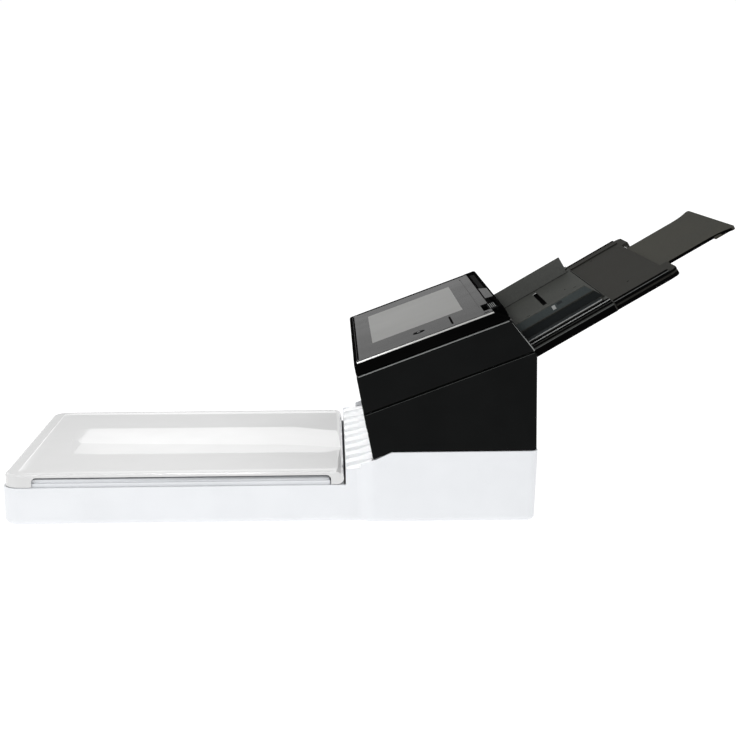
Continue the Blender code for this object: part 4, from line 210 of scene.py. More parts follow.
@dataclass(frozen=True)
class MouldedPlastic(Finish):
    """Injection-moulded plastic: a spark-eroded grain, faint clouds of tint and gloss, and paler rubbed spots."""

    shade: str = "808080"
    gloss_spread: float = 0.03
    cloud_mm: float = 45.0
    grain_mm: float = 1.2
    grain_depth_mm: float = 0.02
    specular: float = 0.5
    coat: float = 0.0
    speckle: float = 0.0

    def build(self) -> Material:
        """Makes the material.

        Returns:
            The plastic's material.
        """
        material, tree, place = self.start()
        clouds = {"Vector": place, "Scale": 1 / (self.cloud_mm * MM), "Detail": 2.0}
        cloud = add_node(tree, "ShaderNodeTexNoise", clouds).outputs[0]
        grains = {"Vector": place, "Scale": 1 / (self.grain_mm * MM), "Detail": 3.0}
        grain = add_node(tree, "ShaderNodeTexNoise", grains).outputs[0]
        amount = cloud
        if self.speckle:
            amount = add_node(tree, "ShaderNodeMix", {0: self.speckle, 2: cloud, 3: grain}).outputs[0]
        spread = add_node(tree, "ShaderNodeMapRange", {0: amount, 1: 0.3, 2: 0.7})
        tint = add_node(
            tree, "ShaderNodeMix", self.turning(spread.outputs[0], self.shade), data_type="RGBA"
        ).outputs[2]
        low, high = self.roughness - self.gloss_spread, self.roughness + self.gloss_spread
        gloss = add_node(tree, "ShaderNodeMapRange", {0: cloud, 1: 0.3, 2: 0.7, 3: low, 4: high})
        relief = {"Strength": 1.0, "Distance": self.grain_depth_mm * MM, "Height": grain}
        bump = add_node(tree, "ShaderNodeBump", relief)
        look = {"Base Color": tint, "Roughness": gloss.outputs[0], "Normal": bump.outputs[0]}
        return self.wear(material, {**look, "Specular IOR Level": self.specular, "Coat Weight": self.coat})


@dataclass(frozen=True)
class PolishedSheet(Finish):
    """Polished acrylic or glass over print: almost a mirror, with faint wiping marks in its gloss."""

    smudge_mm: float = 24.0
    smudge: float = 0.05
    wiping: Place = (1.0, 0.35, 0.35)
    specular: float = 0.5
    depth_tint: str = "101010"

    def build(self) -> Material:
        """Makes the material.

        Returns:
            The sheet's material.
        """
        material, tree, place = self.start()
        stretch = add_node(tree, "ShaderNodeMapping", {"Vector": place, "Scale": self.wiping})
        wiped = {"Vector": stretch.outputs[0], "Scale": 1 / (self.smudge_mm * MM), "Detail": 4.0}
        smudge = add_node(tree, "ShaderNodeTexNoise", wiped).outputs[0]
        low, high = self.roughness, self.roughness + self.smudge
        gloss = add_node(tree, "ShaderNodeMapRange", {0: smudge, 1: 0.4, 2: 0.75, 3: low, 4: high})
        tint = add_node(tree, "ShaderNodeMix", self.turning(smudge, self.depth_tint), data_type="RGBA").outputs[2]
        look = {"Roughness": gloss.outputs[0], "Base Color": tint, "Specular IOR Level": self.specular}
        return self.wear(material, look)


@dataclass(frozen=True)
class ClearGlass(Finish):
    """Float glass: clear, faintly green, with a trace of dust in its gloss."""

    dust_mm: float = 3.0
    dust_dullness: float = 0.08
    glass_ior: float = 1.52

    def build(self) -> Material:
        """Makes the material.

        Returns:
            The glass's material.
        """
        material, tree, place = self.start()
        specks = {"Vector": place, "Scale": 1 / (self.dust_mm * MM), "Detail": 5.0}
        dust = add_node(tree, "ShaderNodeTexNoise", specks).outputs[0]
        dull = self.roughness + self.dust_dullness
        gloss = add_node(tree, "ShaderNodeMapRange", {0: dust, 1: 0.6, 2: 0.8, 3: self.roughness, 4: dull})
        look = {"Roughness": gloss.outputs[0], "Transmission Weight": 1.0, "IOR": self.glass_ior}
        return self.wear(material, look)


@dataclass(frozen=True)
class Metal(Finish):
    """Bare or plated metal: drawn lines along one axis, and a spangle of slightly different greys."""

    spangle_mm: float = 6.0
    spangle_colour: str = "C8CACC"
    gloss_range: Point = (0.8, 1.3)
    lines_mm: float = 0.6
    line_depth_mm: float = 0.004
    drawn_along: Place = (1.0, 0.05, 0.05)

    def build(self) -> Material:
        """Makes the material.

        Returns:
            The metal's material.
        """
        material, tree, place = self.start()
        flakes = {"Vector": place, "Scale": 1 / (self.spangle_mm * MM)}
        spangle = add_node(tree, "ShaderNodeTexVoronoi", flakes)
        grey = add_node(tree, "ShaderNodeSeparateColor", {0: spangle.outputs["Color"]})
        tint = add_node(
            tree, "ShaderNodeMix", self.turning(grey.outputs[0], self.spangle_colour), data_type="RGBA"
        ).outputs[2]
        low, high = (self.roughness * share for share in self.gloss_range)
        gloss = add_node(tree, "ShaderNodeMapRange", {0: grey.outputs[1], 3: low, 4: high})
        squeeze = add_node(tree, "ShaderNodeMapping", {"Vector": place, "Scale": self.drawn_along})
        drawn = {"Vector": squeeze.outputs[0], "Scale": 1 / (self.lines_mm * MM), "Detail": 2.0}
        lines = add_node(tree, "ShaderNodeTexNoise", drawn)
        relief = {"Strength": 1.0, "Distance": self.line_depth_mm * MM, "Height": lines.outputs[0]}
        bump = add_node(tree, "ShaderNodeBump", relief)
        look = {"Base Color": tint, "Roughness": gloss.outputs[0], "Normal": bump.outputs[0]}
        return self.wear(material, {**look, "Metallic": 1.0})


@dataclass(frozen=True)
class Rubber(Finish):
    """Ground or moulded rubber: matte, with a fine pitted grain and a dusty bloom."""

    bloom: str = "8A8B8D"
    bloom_mm: float = 8.0
    grain_mm: float = 0.8
    grain_depth_mm: float = 0.05
    specular: float = 0.3

    def build(self) -> Material:
        """Makes the material.

        Returns:
            The rubber's material.
        """
        material, tree, place = self.start()
        grains = {"Vector": place, "Scale": 1 / (self.grain_mm * MM)}
        pits = add_node(tree, "ShaderNodeTexVoronoi", grains, feature="SMOOTH_F1")
        dusting = {"Vector": place, "Scale": 1 / (self.bloom_mm * MM), "Detail": 4.0}
        dust = add_node(tree, "ShaderNodeTexNoise", dusting)
        amount = add_node(tree, "ShaderNodeMapRange", {0: dust.outputs[0], 1: 0.45, 2: 0.8, 4: 0.5})
        tint = add_node(
            tree, "ShaderNodeMix", self.turning(amount.outputs[0], self.bloom), data_type="RGBA"
        ).outputs[2]
        relief = {"Strength": 1.0, "Distance": self.grain_depth_mm * MM, "Height": pits.outputs[0]}
        bump = add_node(tree, "ShaderNodeBump", relief)
        look = {"Base Color": tint, "Normal": bump.outputs[0], "Specular IOR Level": self.specular}
        return self.wear(material, look)


@dataclass(frozen=True)
class FoamSheet(Finish):
    """White film on thin foam: a fine cell pattern that shows through as soft dimples."""

    aged: str = "E4E2DC"
    wave_mm: float = 40.0
    cell_mm: float = 2.0
    cell_depth_mm: float = 0.06
    sheen: float = 0.2

    def build(self) -> Material:
        """Makes the material.

        Returns:
            The foam sheet's material.
        """
        material, tree, place = self.start()
        foam = {"Vector": place, "Scale": 1 / (self.cell_mm * MM)}
        cells = add_node(tree, "ShaderNodeTexVoronoi", foam, feature="SMOOTH_F1")
        waves = add_node(tree, "ShaderNodeTexNoise", {"Vector": place, "Scale": 1 / (self.wave_mm * MM)})
        tint = add_node(tree, "ShaderNodeMix", self.turning(waves.outputs[0], self.aged), data_type="RGBA").outputs[2]
        relief = {"Strength": 1.0, "Distance": self.cell_depth_mm * MM, "Height": cells.outputs[0]}
        bump = add_node(tree, "ShaderNodeBump", relief)
        look = {"Base Color": tint, "Normal": bump.outputs[0], "Sheen Weight": self.sheen}
        return self.wear(material, look)


@dataclass(frozen=True)
class CircuitBoard(Finish):
    """Fibreglass board under green mask, with copper tracks that show as paler lines."""

    track: str = "2E7A4C"
    track_mm: float = 2.4
    track_depth_mm: float = 0.04
    patch_mm: float = 14.0

    def build(self) -> Material:
        """Makes the material.

        Returns:
            The board's material.
        """
        material, tree, place = self.start()
        layout = {"Mortar Size": 0.03, "Brick Width": 2.5, "Row Height": 0.5}
        lines = {"Vector": place, "Scale": 0.25 / (self.track_mm * MM), **layout}
        bricks = add_node(tree, "ShaderNodeTexBrick", lines, offset=0.37, squash=0.6, squash_frequency=3)
        tracks = bricks.outputs["Fac"]
        patches = add_node(tree, "ShaderNodeTexNoise", {"Vector": place, "Scale": 1 / (self.patch_mm * MM)})
        mask = add_node(tree, "ShaderNodeMath", {0: tracks, 1: patches.outputs[0]}, operation="MULTIPLY")
        tint = add_node(tree, "ShaderNodeMix", self.turning(mask.outputs[0], self.track), data_type="RGBA").outputs[2]
        relief = {"Strength": 0.6, "Distance": self.track_depth_mm * MM, "Height": tracks}
        bump = add_node(tree, "ShaderNodeBump", relief)
        return self.wear(material, {"Base Color": tint, "Normal": bump.outputs[0]})


# White ABS with a satin moulded skin: bright and even, with a soft shine on its rounded edges
WHITE_ABS = MouldedPlastic(
    "white_abs_satin", "white_casing_plastic", "E7E9EC", 0.34, shade="E3E5E8", grain_mm=1.0, grain_depth_mm=0.006
)
# The same white with a finer skin where sheets slide out, its colour painted brighter as painted light: it stays
# brightest of all in the head's shade
PAINTED_LIGHT_RAMP_ABS = replace(
    WHITE_ABS, name="white_abs_fine_painted_bright", colour="F8F9FA", roughness=0.4, shade="F4F5F6", grain_depth_mm=0.004
)
# White ABS polished in the mould, as the lid's top is: the room shows in it as soft bands. Its colour is painted
# greyer than the casing's white, as painted shade on the lid's top
POLISHED_WHITE_PAINTED_SHADE_ABS = MouldedPlastic(
    "white_abs_polished_painted_grey",
    "white_casing_plastic",
    "D6D6D6",
    0.07,
    shade="D3D3D3",
    grain_mm=6.0,
    grain_depth_mm=0.001,
    gloss_spread=0.01,
    coat=0.2,
)
# Black ABS with a fine spark-eroded skin: nearly no shine; the thin grey lines on its edges are painted highlights
# laid over it
BLACK_ABS = MouldedPlastic(
    "black_abs_fine_grain", "black_casing_plastic", "0B0C0C", 0.42, shade="0F1010", grain_mm=1.6, specular=0.04
)
# Black ABS with a velvet-like skin and no shine: a deeper black than the grained covers below it
# The same near-black is also painted shade on the tray's and extensions' walls, edges, slot floor, lining and marks,
# and on the guides' racks
DEEP_BLACK_AND_PAINTED_SHADE_ABS = MouldedPlastic(
    "black_abs_velvet_and_painted_shade",
    "black_casing_plastic",
    "050505",
    0.8,
    shade="080808",
    grain_mm=3.0,
    grain_depth_mm=0.004,
    specular=0.0,
)
# Bare black ABS in the bottom of the strip recess: a shade greyer than the housing round it
RECESS_ABS = MouldedPlastic(
    "black_abs_recess", "black_casing_plastic", "1E1E1E", 0.8, shade="262626", grain_mm=2.0, specular=0.0
)
# Black ABS with a coarse etched grain, its colour painted dark grey as painted sheen, so the tray looks greyer than
# the head.
# The etched grain is about 0.3 mm and is drawn at 1.6 mm, so that it shows
TRAY_ABS = MouldedPlastic(
    "black_abs_etched_painted_sheen",
    "textured_black_plastic",
    "363735",
    0.7,
    shade="41423F",
    cloud_mm=40.0,
    grain_mm=1.6,
    grain_depth_mm=0.05,
    speckle=0.6,
    specular=0.03,
)
# Guide walls that face the paper: their grey is painted paler, as painted light on these upright faces
GUIDE_FACE_PAINTED_LIGHT_ABS = replace(
    TRAY_ABS,
    name="grey_abs_worn_face",
    colour="525351",
    roughness=0.65,
    shade="5D5E5B",
    cloud_mm=45.0,
    grain_depth_mm=0.03,
)
# The same painted light on the guides' slanted outer sides: a little darker, and cooler in tone
GUIDE_BAND_PAINTED_LIGHT_ABS = replace(GUIDE_FACE_PAINTED_LIGHT_ABS, name="grey_abs_worn_band", colour="34393A", shade="3D4242")
# Painted shade in etched black ABS on the guides' lower outer sides, flange tops and notches: a soft charcoal above
# the painted highlight ridges
PAINTED_SHADE_GUIDE_ABS = MouldedPlastic(
    "black_abs_painted_shade_guide", "textured_black_plastic", "232627", 0.6, shade="292C2D", specular=0.05
)
# Extensions in the tray's etched black, also painted grey as painted sheen: the wide one darker, both browner
EXTENSION_ABS = replace(
    TRAY_ABS, name="black_abs_etched_extension_painted_sheen", colour="272724", shade="2E2D2A", cloud_mm=60.0
)
EXTENSION_TIP_ABS = replace(EXTENSION_ABS, name="black_abs_etched_tip_painted_sheen", colour="33332F", shade="3D3C36")
# Grey lips on the black ABS's parting edges: painted highlights that draw thin grey lines
PAINTED_HIGHLIGHT_ABS = MouldedPlastic(
    "black_abs_painted_highlight",
    "black_casing_plastic",
    "868887",
    0.3,
    shade="8E908F",
    grain_mm=4.0,
    grain_depth_mm=0.002,
    specular=0.3,
)
# The same painted highlight, a little less glossy: a dimmer line
PAINTED_DIM_HIGHLIGHT_ABS = replace(
    PAINTED_HIGHLIGHT_ABS, name="black_abs_painted_dim_highlight", colour="4C4E4D", roughness=0.4, shade="545655", specular=0.2
)
# Painted highlights on the ridges of the tray and the guides: two bright grey lines
PAINTED_BRIGHT_HIGHLIGHT_ABS = replace(
    PAINTED_HIGHLIGHT_ABS, name="grey_abs_painted_bright_highlight", slot="textured_black_plastic", colour="B0B2B1", shade="B8BAB9"
)
# Plain black moulding inside the machine
INNER_ABS = MouldedPlastic(
    "black_abs_plain", "inner_black_plastic", "0E0E0F", 0.5, shade="161616", specular=0.1
)
# Keys and levers: smooth black moulding, a little glossier where fingers touch it
KEY_ABS = MouldedPlastic(
    "black_abs_smooth",
    "key_plastic",
    "101111",
    0.5,
    shade="161717",
    grain_mm=0.6,
    grain_depth_mm=0.004,
    specular=0.0,
)
# White pad printing on the rocker
WHITE_INK = MouldedPlastic(
    "white_pad_print", "key_plastic", "D8D8D6", 0.6, shade="CFCFCD", grain_mm=0.5, grain_depth_mm=0.002
)
# Hard-coated acrylic over black print: a soft mirror for the bright room behind it
PANEL_ACRYLIC = PolishedSheet(
    "acrylic_hard_coated", "glossy_panel", "0E0E0E", 0.16, depth_tint="0A0A0A", specular=0.016
)
# A pale grey lip on the acrylic's near rim: a painted highlight that draws one bright line
ACRYLIC_RIM_PAINTED_HIGHLIGHT = PolishedSheet("acrylic_rim_painted_highlight", "glossy_panel", "A2A2A0", 0.2, depth_tint="989896")
# Touch screen's cover glass over a grey display that is switched off
SCREEN_GLASS = PolishedSheet(
    "cover_glass_over_display", "screen_glass", "646462", 0.14, depth_tint="5E5E5C", specular=0.02
)
# Screen-printed matt black ink on the panel
PRINTED_BLACK = MouldedPlastic(
    "matt_black_ink",
    "glossy_panel",
    "060606",
    0.9,
    shade="0A0A0A",
    grain_mm=0.5,
    grain_depth_mm=0.004,
    specular=0.0,
)
# Polished float glass that carries the document
FLOAT_GLASS = ClearGlass("float_glass", "clear_glass", "E6F2EE", 0.0)
# Zinc-plated sheet steel: dull, with a faint spangle
ZINC_STEEL = Metal("zinc_plated_steel", "zinc_steel", "A9ABAE", 0.38)
# Ground and hardened steel bar: bright, with fine lines round it
GROUND_STEEL = Metal(
    "ground_steel_bar",
    "zinc_steel",
    "B9BBBE",
    0.18,
    spangle_mm=30.0,
    spangle_colour="C2C4C6",
    lines_mm=0.5,
    drawn_along=(1.0, 1.0, 1.0),
    line_depth_mm=0.002,
)
# Nickel-plated socket shells: slightly warm
NICKEL = Metal("nickel_plate", "socket_nickel", "B9B6AE", 0.28, spangle_mm=12.0, spangle_colour="C4C1B9")
# Ground rubber tyres: dark grey, dusty
TYRE_RUBBER = Rubber("ground_rubber", "roller_rubber", "34363A", 0.78, bloom="4C4E52")
# Grey thermoplastic rubber feet
FOOT_RUBBER = Rubber("foot_rubber_grey", "foot_rubber", "8A8B8D", 0.82, bloom="9A9B9D")
# Moulded belt rubber: black and dull
BELT_RUBBER = Rubber("belt_rubber_black", "belt_rubber", "1C1C1C", 0.72, bloom="2A2A2A")
# White film on foam: soft and dead matt
PAD_FOAM = FoamSheet("white_film_on_foam", "white_foam", "F2F2F0", 0.75)
# Natural nylon of gears: creamy, slightly waxy
NYLON = MouldedPlastic(
    "natural_nylon", "white_nylon", "DAD8CF", 0.42, shade="D2CFC4", grain_mm=0.8, grain_depth_mm=0.01
)
# Glass face of the image sensors: a dark, deep shine
SENSOR_GLASS = PolishedSheet("sensor_cover_glass", "sensor_bar", "2C2F33", 0.08, depth_tint="25282C")
# Sensor cases: black glass-filled nylon with a dull, even skin
SENSOR_CASE = MouldedPlastic(
    "black_filled_nylon", "sensor_bar", "17181A", 0.55, shade="1E1F21", grain_mm=0.9, specular=0.3
)
# Light guide beside the sensor: milky clear acrylic
LIGHT_GUIDE = PolishedSheet("milky_acrylic", "sensor_bar", "D9DEDA", 0.2, depth_tint="C8CDC9")
# Solder mask over tracks: green with paler lines
BOARD_GREEN = CircuitBoard("fibreglass_green_mask", "circuit_board_green", "1F5A38", 0.42)


@dataclass(frozen=True)
class Bench:
    """A frame that pieces are drawn in: x across, then along, then up from it."""

    origin: Place
    tilt: float = 0.0

    def matrix(self) -> Matrix:
        """The frame's place in the room."""
        return Matrix.Translation(self.origin) @ Matrix.Rotation(math.radians(self.tilt), 4, "X")

    def set_down(self, shape: Mesh) -> Mesh:
        """Moves a mesh from this frame into the room."""
        bmesh.ops.transform(shape, matrix=self.matrix(), verts=shape.verts)
        return shape

    def copy_of(self, node: str) -> Mesh:
        """Copies a CAD node into this frame."""
        shape = node_copy(node)
        bmesh.ops.transform(shape, matrix=self.matrix().inverted(), verts=shape.verts)
        return shape

    def fit(self, name: str, shape: Mesh, finish: Finish, body: Body, *rest: Any, **named: Any) -> None:
        """Sets a mesh that is drawn in this frame down as a finished piece. The rest goes to settle."""
        settle(name, self.set_down(shape), finish, body, *rest, **named)


MACHINE = Bench((0, -0.373882, 0))
TRAY_SLOPE = Bench((0, 0.169918, 0.1745), 30.0)
PANEL_SLOPE = Bench((0, -0.018308, 0.1678), 20.2)


def in_space(a: float, b: float, along: float, axis: Axis) -> Place:
    """A point from two distances across an axis and one along it."""
    return (along, a, b) if axis is Axis.X else (a, b, along)


def arc(centre: Point, radius: float, start: float, end: float, steps: int) -> list[Point]:
    """Points of an arc from its first angle in degrees to its last, both ends included."""
    angles = (math.radians(start + (end - start) * i / steps) for i in range(steps + 1))
    return [(centre[0] + radius * math.cos(a), centre[1] + radius * math.sin(a)) for a in angles]


def rounded_rectangle(low: Point, high: Point, radii: Sequence[float], steps: int = 8) -> list[Point]:
    """A rectangle with four rounded corners.

    Args:
        low: Its lowest corner.
        high: Its highest corner.
        radii: Corner radii, from the lowest corner round by the right.
        steps: Steps in each corner.

    Returns:
        Its outline, anticlockwise.
    """
    (x0, y0), (x1, y1) = low, high
    a, b, c, d = radii
    outline = arc((x0 + a, y0 + a), a, 180, 270, steps) + arc((x1 - b, y0 + b), b, 270, 360, steps)
    return outline + arc((x1 - c, y1 - c), c, 0, 90, steps) + arc((x0 + d, y1 - d), d, 90, 180, steps)


def loft(rings: Sequence[Sequence[Place]]) -> Mesh:
    """Skins a pile of rings that have the same number of points, and closes both ends.

    Args:
        rings: The rings from one end to the other.

    Returns:
        The closed mesh, faces outwards.
    """
    shape = bmesh.new()
    rows = [[shape.verts.new(point) for point in ring] for ring in rings]
    for below, above in zip(rows, rows[1:]):
        for i in range(len(below)):
            j = (i + 1) % len(below)
            shape.faces.new((below[i], below[j], above[j], above[i]))
    shape.faces.new(rows[0])
    shape.faces.new(rows[-1])
    bmesh.ops.recalc_face_normals(shape, faces=shape.faces)
    return shape


def prism(outline: Sequence[Point], low: float, high: float, axis: Axis = Axis.X) -> Mesh:
    """Extrudes an outline along an axis from one place on it to another, as a closed mesh."""
    return loft([[in_space(a, b, along, axis) for a, b in outline] for along in (low, high)])


def block(low: Place, high: Place) -> Mesh:
    """A box between two corners, as a tool for cutting and adding."""
    outline = [(low[1], low[2]), (high[1], low[2]), (high[1], high[2]), (low[1], high[2])]
    return prism(outline, low[0], high[0])


def pad(mark: Mark, low: float, high: float) -> Mesh:
    """A flat block between two heights, from its middle's place and its width and depth."""
    x, y, wide, deep = mark
    return block((x - wide / 2, y - deep / 2, low), (x + wide / 2, y + deep / 2, high))


def turned(profile: Sequence[Point], centre: Point, sides: int = 48, axis: Axis = Axis.X) -> Mesh:
    """Turns a profile about a line.

    Args:
        profile: Points of distance along the line and radius, from one end to the other.
        centre: Where the line is in the two other axes.
        sides: Steps round it.
        axis: The axis that the line runs along.

    Returns:
        The closed mesh.
    """
    rings = []
    for along, radius in profile:
        circle = arc(centre, max(radius, LEAST_RADIUS), 0, 360 - 360 / sides, sides - 1)
        rings.append([in_space(a, b, along, axis) for a, b in circle])
    return loft(rings)


def joined(*shapes: Mesh) -> Mesh:
    """Puts several meshes into one without joining their surfaces.

    Args:
        *shapes: The meshes. They are used up.

    Returns:
        One mesh.
    """
    whole = bmesh.new()
    for shape in shapes:
        mesh = bpy.data.meshes.new("part")
        shape.to_mesh(mesh)
        shape.free()
        whole.from_mesh(mesh)
        bpy.data.meshes.remove(mesh)
    return whole


def work_piece(shape: Mesh) -> bpy.types.Object:
    """Stands a mesh in the scene for a moment, so that modifiers can work on it."""
    mesh = bpy.data.meshes.new("work")
    shape.to_mesh(mesh)
    shape.free()
    piece = bpy.data.objects.new("work", mesh)
    bpy.context.scene.collection.objects.link(piece)
    return piece


def plain(piece: bpy.types.Object, *others: bpy.types.Object) -> Mesh:
    """Takes a piece with its modifiers as a plain mesh, and clears it and its helpers away.

    Args:
        piece: The piece.
        *others: Helpers that its modifiers used.

    Returns:
        The mesh.
    """
    mesh = bpy.data.meshes.new_from_object(piece.evaluated_get(bpy.context.evaluated_depsgraph_get()))
    shape = bmesh.new()
    shape.from_mesh(mesh)
    for done in (piece, *others):
        old = done.data
        bpy.data.objects.remove(done)
        bpy.data.meshes.remove(old)
    bpy.data.meshes.remove(mesh)
    return shape


def merge(shape: Mesh, flat_angle: float) -> Mesh:
    """Merges a mesh's doubled points, and the faces that turn less than an angle in degrees."""
    bmesh.ops.remove_doubles(shape, verts=shape.verts, dist=WELD)
    bmesh.ops.dissolve_limit(
        shape, angle_limit=math.radians(flat_angle), verts=shape.verts, edges=shape.edges
    )
    return shape


def combine(shape: Mesh, join: Join, *tools: Mesh) -> Mesh:
    """Cuts tools out of a shape or adds them to it.

    Args:
        shape: The shape. It is used up.
        join: What to do with the tools.
        *tools: The tools. They are used up.

    Returns:
        The new shape.
    """
    piece = work_piece(shape)
    helpers = [work_piece(tool) for tool in tools]
    for helper in helpers:
        cut = piece.modifiers.new("shape", "BOOLEAN")
        cut.operation, cut.solver, cut.object = join.value, "EXACT", helper
    return merge(plain(piece, *helpers), 0.3)


class Pattern:
    """A Geometry Nodes tree with named inputs, which is run once on a mesh."""

    def __init__(self, name: str, kinds: dict[str, str]) -> None:
        """Opens the tree.

        Args:
            name: The tree's name.
            kinds: Name and socket type of each input after the geometry and before the finish.
        """
        self.tree = bpy.data.node_groups.new(name, "GeometryNodeTree")
        new_socket = self.tree.interface.new_socket
        new_socket("Geometry", in_out="INPUT", socket_type="NodeSocketGeometry")
        self.names = {
            label: new_socket(label, in_out="INPUT", socket_type=kind).identifier
            for label, kind in {**kinds, "Finish": "NodeSocketMaterial"}.items()
        }
        new_socket("Geometry", in_out="OUTPUT", socket_type="NodeSocketGeometry")
        self.given = add_node(self.tree, "NodeGroupInput").outputs

    def run(self, item: Mesh, source: NodeSocket, finish: Finish, values: dict[str, Any]) -> Mesh:
        """Ends the tree in realised geometry with its finish, and runs it on a mesh.

        Args:
            item: The mesh that goes in. It is used up.
            source: The socket that holds the instances.
            finish: The finish that the result wears.
            values: Value of each input by name.

        Returns:
            The result as a plain mesh.
        """
        whole = add_node(self.tree, "GeometryNodeRealizeInstances", {0: source})
        light_paint = {"Geometry": whole.outputs[0], "Material": self.given["Finish"]}
        dressed = add_node(self.tree, "GeometryNodeSetMaterial", light_paint)
        add_node(self.tree, "NodeGroupOutput", {0: dressed.outputs[0]})
        piece = work_piece(item)
        modifier = piece.modifiers.new("pattern", "NODES")
        modifier.node_group = self.tree
        for label, value in {**values, "Finish": finish.material()}.items():
            modifier[self.names[label]] = value
        shape = plain(piece)
        bpy.data.node_groups.remove(self.tree)
        return shape


def repeat(
    item: Mesh, finish: Finish, columns: int, column_step: Place, rows: int = 1, row_step: Place = (0, 0, 0)
) -> Mesh:
    """Repeats an item evenly in columns and rows.

    Args:
        item: The first item, in place. It is used up.
        finish: The finish that the items wear.
        columns: Number of items in the first direction.
        column_step: Step from one to the next.
        rows: Number of items in the second direction.
        row_step: Step from one row to the next.

    Returns:
        All the items in one mesh.
    """
    values = {"Columns": columns, "Column step": column_step, "Rows": rows, "Row step": row_step}
    kinds = {label: f"NodeSocket{'Vector' if 'step' in label else 'Int'}" for label in values}
    pattern = Pattern("evenly_spaced", kinds)
    tree, given = pattern.tree, pattern.given
    across, down = (
        add_node(tree, "GeometryNodeMeshLine", {"Count": given[f"{way}s"], "Offset": given[f"{way} step"]})
        for way in ("Column", "Row")
    )
    grid = {"Points": across.outputs[0], "Instance": down.outputs[0]}
    lines = add_node(tree, "GeometryNodeInstanceOnPoints", grid)
    points = add_node(tree, "GeometryNodeRealizeInstances", {0: lines.outputs[0]})
    spread = {"Points": points.outputs[0], "Instance": given["Geometry"]}
    items = add_node(tree, "GeometryNodeInstanceOnPoints", spread)
    return pattern.run(item, items.outputs[0], finish, values)


def along_path(points: Sequence[Place], tooth: Place, pitch: float, finish: Finish) -> Mesh:
    """Sets small blocks along a closed path, each turned to follow it.

    Args:
        points: The closed path.
        tooth: Size of one block along, across and up from the path.
        pitch: Distance from one block to the next.
        finish: The finish that the blocks wear.

    Returns:
        All the blocks in one mesh.
    """
    path = bmesh.new()
    verts = [path.verts.new(point) for point in points]
    for i, vert in enumerate(verts):
        path.edges.new((vert, verts[(i + 1) % len(verts)]))
    length = sum(edge.calc_length() for edge in path.edges)
    pattern = Pattern("along_path", {"Count": "NodeSocketInt", "Tooth": "NodeSocketVector"})
    tree, given = pattern.tree, pattern.given
    curve = add_node(tree, "GeometryNodeMeshToCurve", {0: given["Geometry"]})
    even = {"Curve": curve.outputs[0], "Count": given["Count"]}
    spaced = add_node(tree, "GeometryNodeResampleCurve", even)
    cube = add_node(tree, "GeometryNodeMeshCube", {"Size": given["Tooth"]})
    along = {"Vector": add_node(tree, "GeometryNodeInputTangent").outputs[0]}
    turn = add_node(tree, "FunctionNodeAlignEulerToVector", along, axis="X", pivot_axis="Z")
    spread = {"Points": spaced.outputs[0], "Instance": cube.outputs[0], "Rotation": turn.outputs[0]}
    items = add_node(tree, "GeometryNodeInstanceOnPoints", spread)
    return pattern.run(path, items.outputs[0], finish, {"Count": round(length / pitch), "Tooth": tooth})


def corners(name: str) -> tuple[Vector, Vector]:
    """A CAD node's lowest and highest corners at rest."""
    low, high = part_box(name)
    return Vector(low), Vector(high)


def node_copy(name: str) -> Mesh:
    """Copies a CAD node as one closed mesh, merged and rid of the edges inside its flat faces."""
    shape = bmesh.new()
    shape.from_mesh(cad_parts[name].data)
    for edge in shape.edges:
        edge.smooth = True
    return merge(shape, 0.4)


def round_edges(
    shape: Mesh,
    width_mm: float,
    segments: int = 2,
    least_angle: float = 35.0,
    room: float = 2.2,
    where: Callable[[Vector], bool] | None = None,
) -> Mesh:
    """Rounds the sharp outer edges that have room for it.

    Args:
        shape: The mesh to change.
        width_mm: Width of the rounding in millimetres.
        segments: Steps across the rounding. One step is a flat chamfer.
        least_angle: Edges that turn less than this many degrees stay.
        room: Least length of an edge and its neighbours, in widths of the rounding.
        where: A test of the edge's middle, or None for all edges.

    Returns:
        The same mesh.
    """
    width = width_mm * MM
    chosen = []
    for edge in shape.edges:
        if not edge.is_manifold or not edge.is_convex or edge.calc_face_angle() < math.radians(least_angle):
            continue
        nearby = {other for vert in edge.verts for other in vert.link_edges}
        if min(other.calc_length() for other in nearby) < width * room:
            continue
        if where is None or where((edge.verts[0].co + edge.verts[1].co) / 2):
            chosen.append(edge)
    bmesh.ops.bevel(
        shape,
        geom=chosen,
        offset=width,
        offset_type="OFFSET",
        segments=segments,
        profile=0.5,
        affect="EDGES",
        clamp_overlap=False,
    )
    return shape


def crease(shape: Mesh, broad_mm2: float = 400.0, turn: float = 4.5, lengthwise: float = 0.7) -> Mesh:
    """Keeps broad faces flat to the eye: their lengthwise joins and every edge that turns stay crisp.

    Args:
        shape: The mesh to change.
        broad_mm2: Area in square millimetres from which a face counts as broad.
        turn: Degrees from which an edge of a broad face stays crisp, whatever it meets.
        lengthwise: Share of its length that an edge between broad faces runs along Y, to stay crisp.

    Returns:
        The same mesh.
    """
    for edge in shape.edges:
        if len(edge.link_faces) != 2:
            continue
        run = (edge.verts[1].co - edge.verts[0].co).normalized()
        small, large = sorted(face.calc_area() / (MM * MM) for face in edge.link_faces)
        between_broad = abs(run.y) > lengthwise and small > broad_mm2
        if between_broad or (large > broad_mm2 and edge.calc_face_angle() > math.radians(turn)):
            edge.smooth = False
    return shape


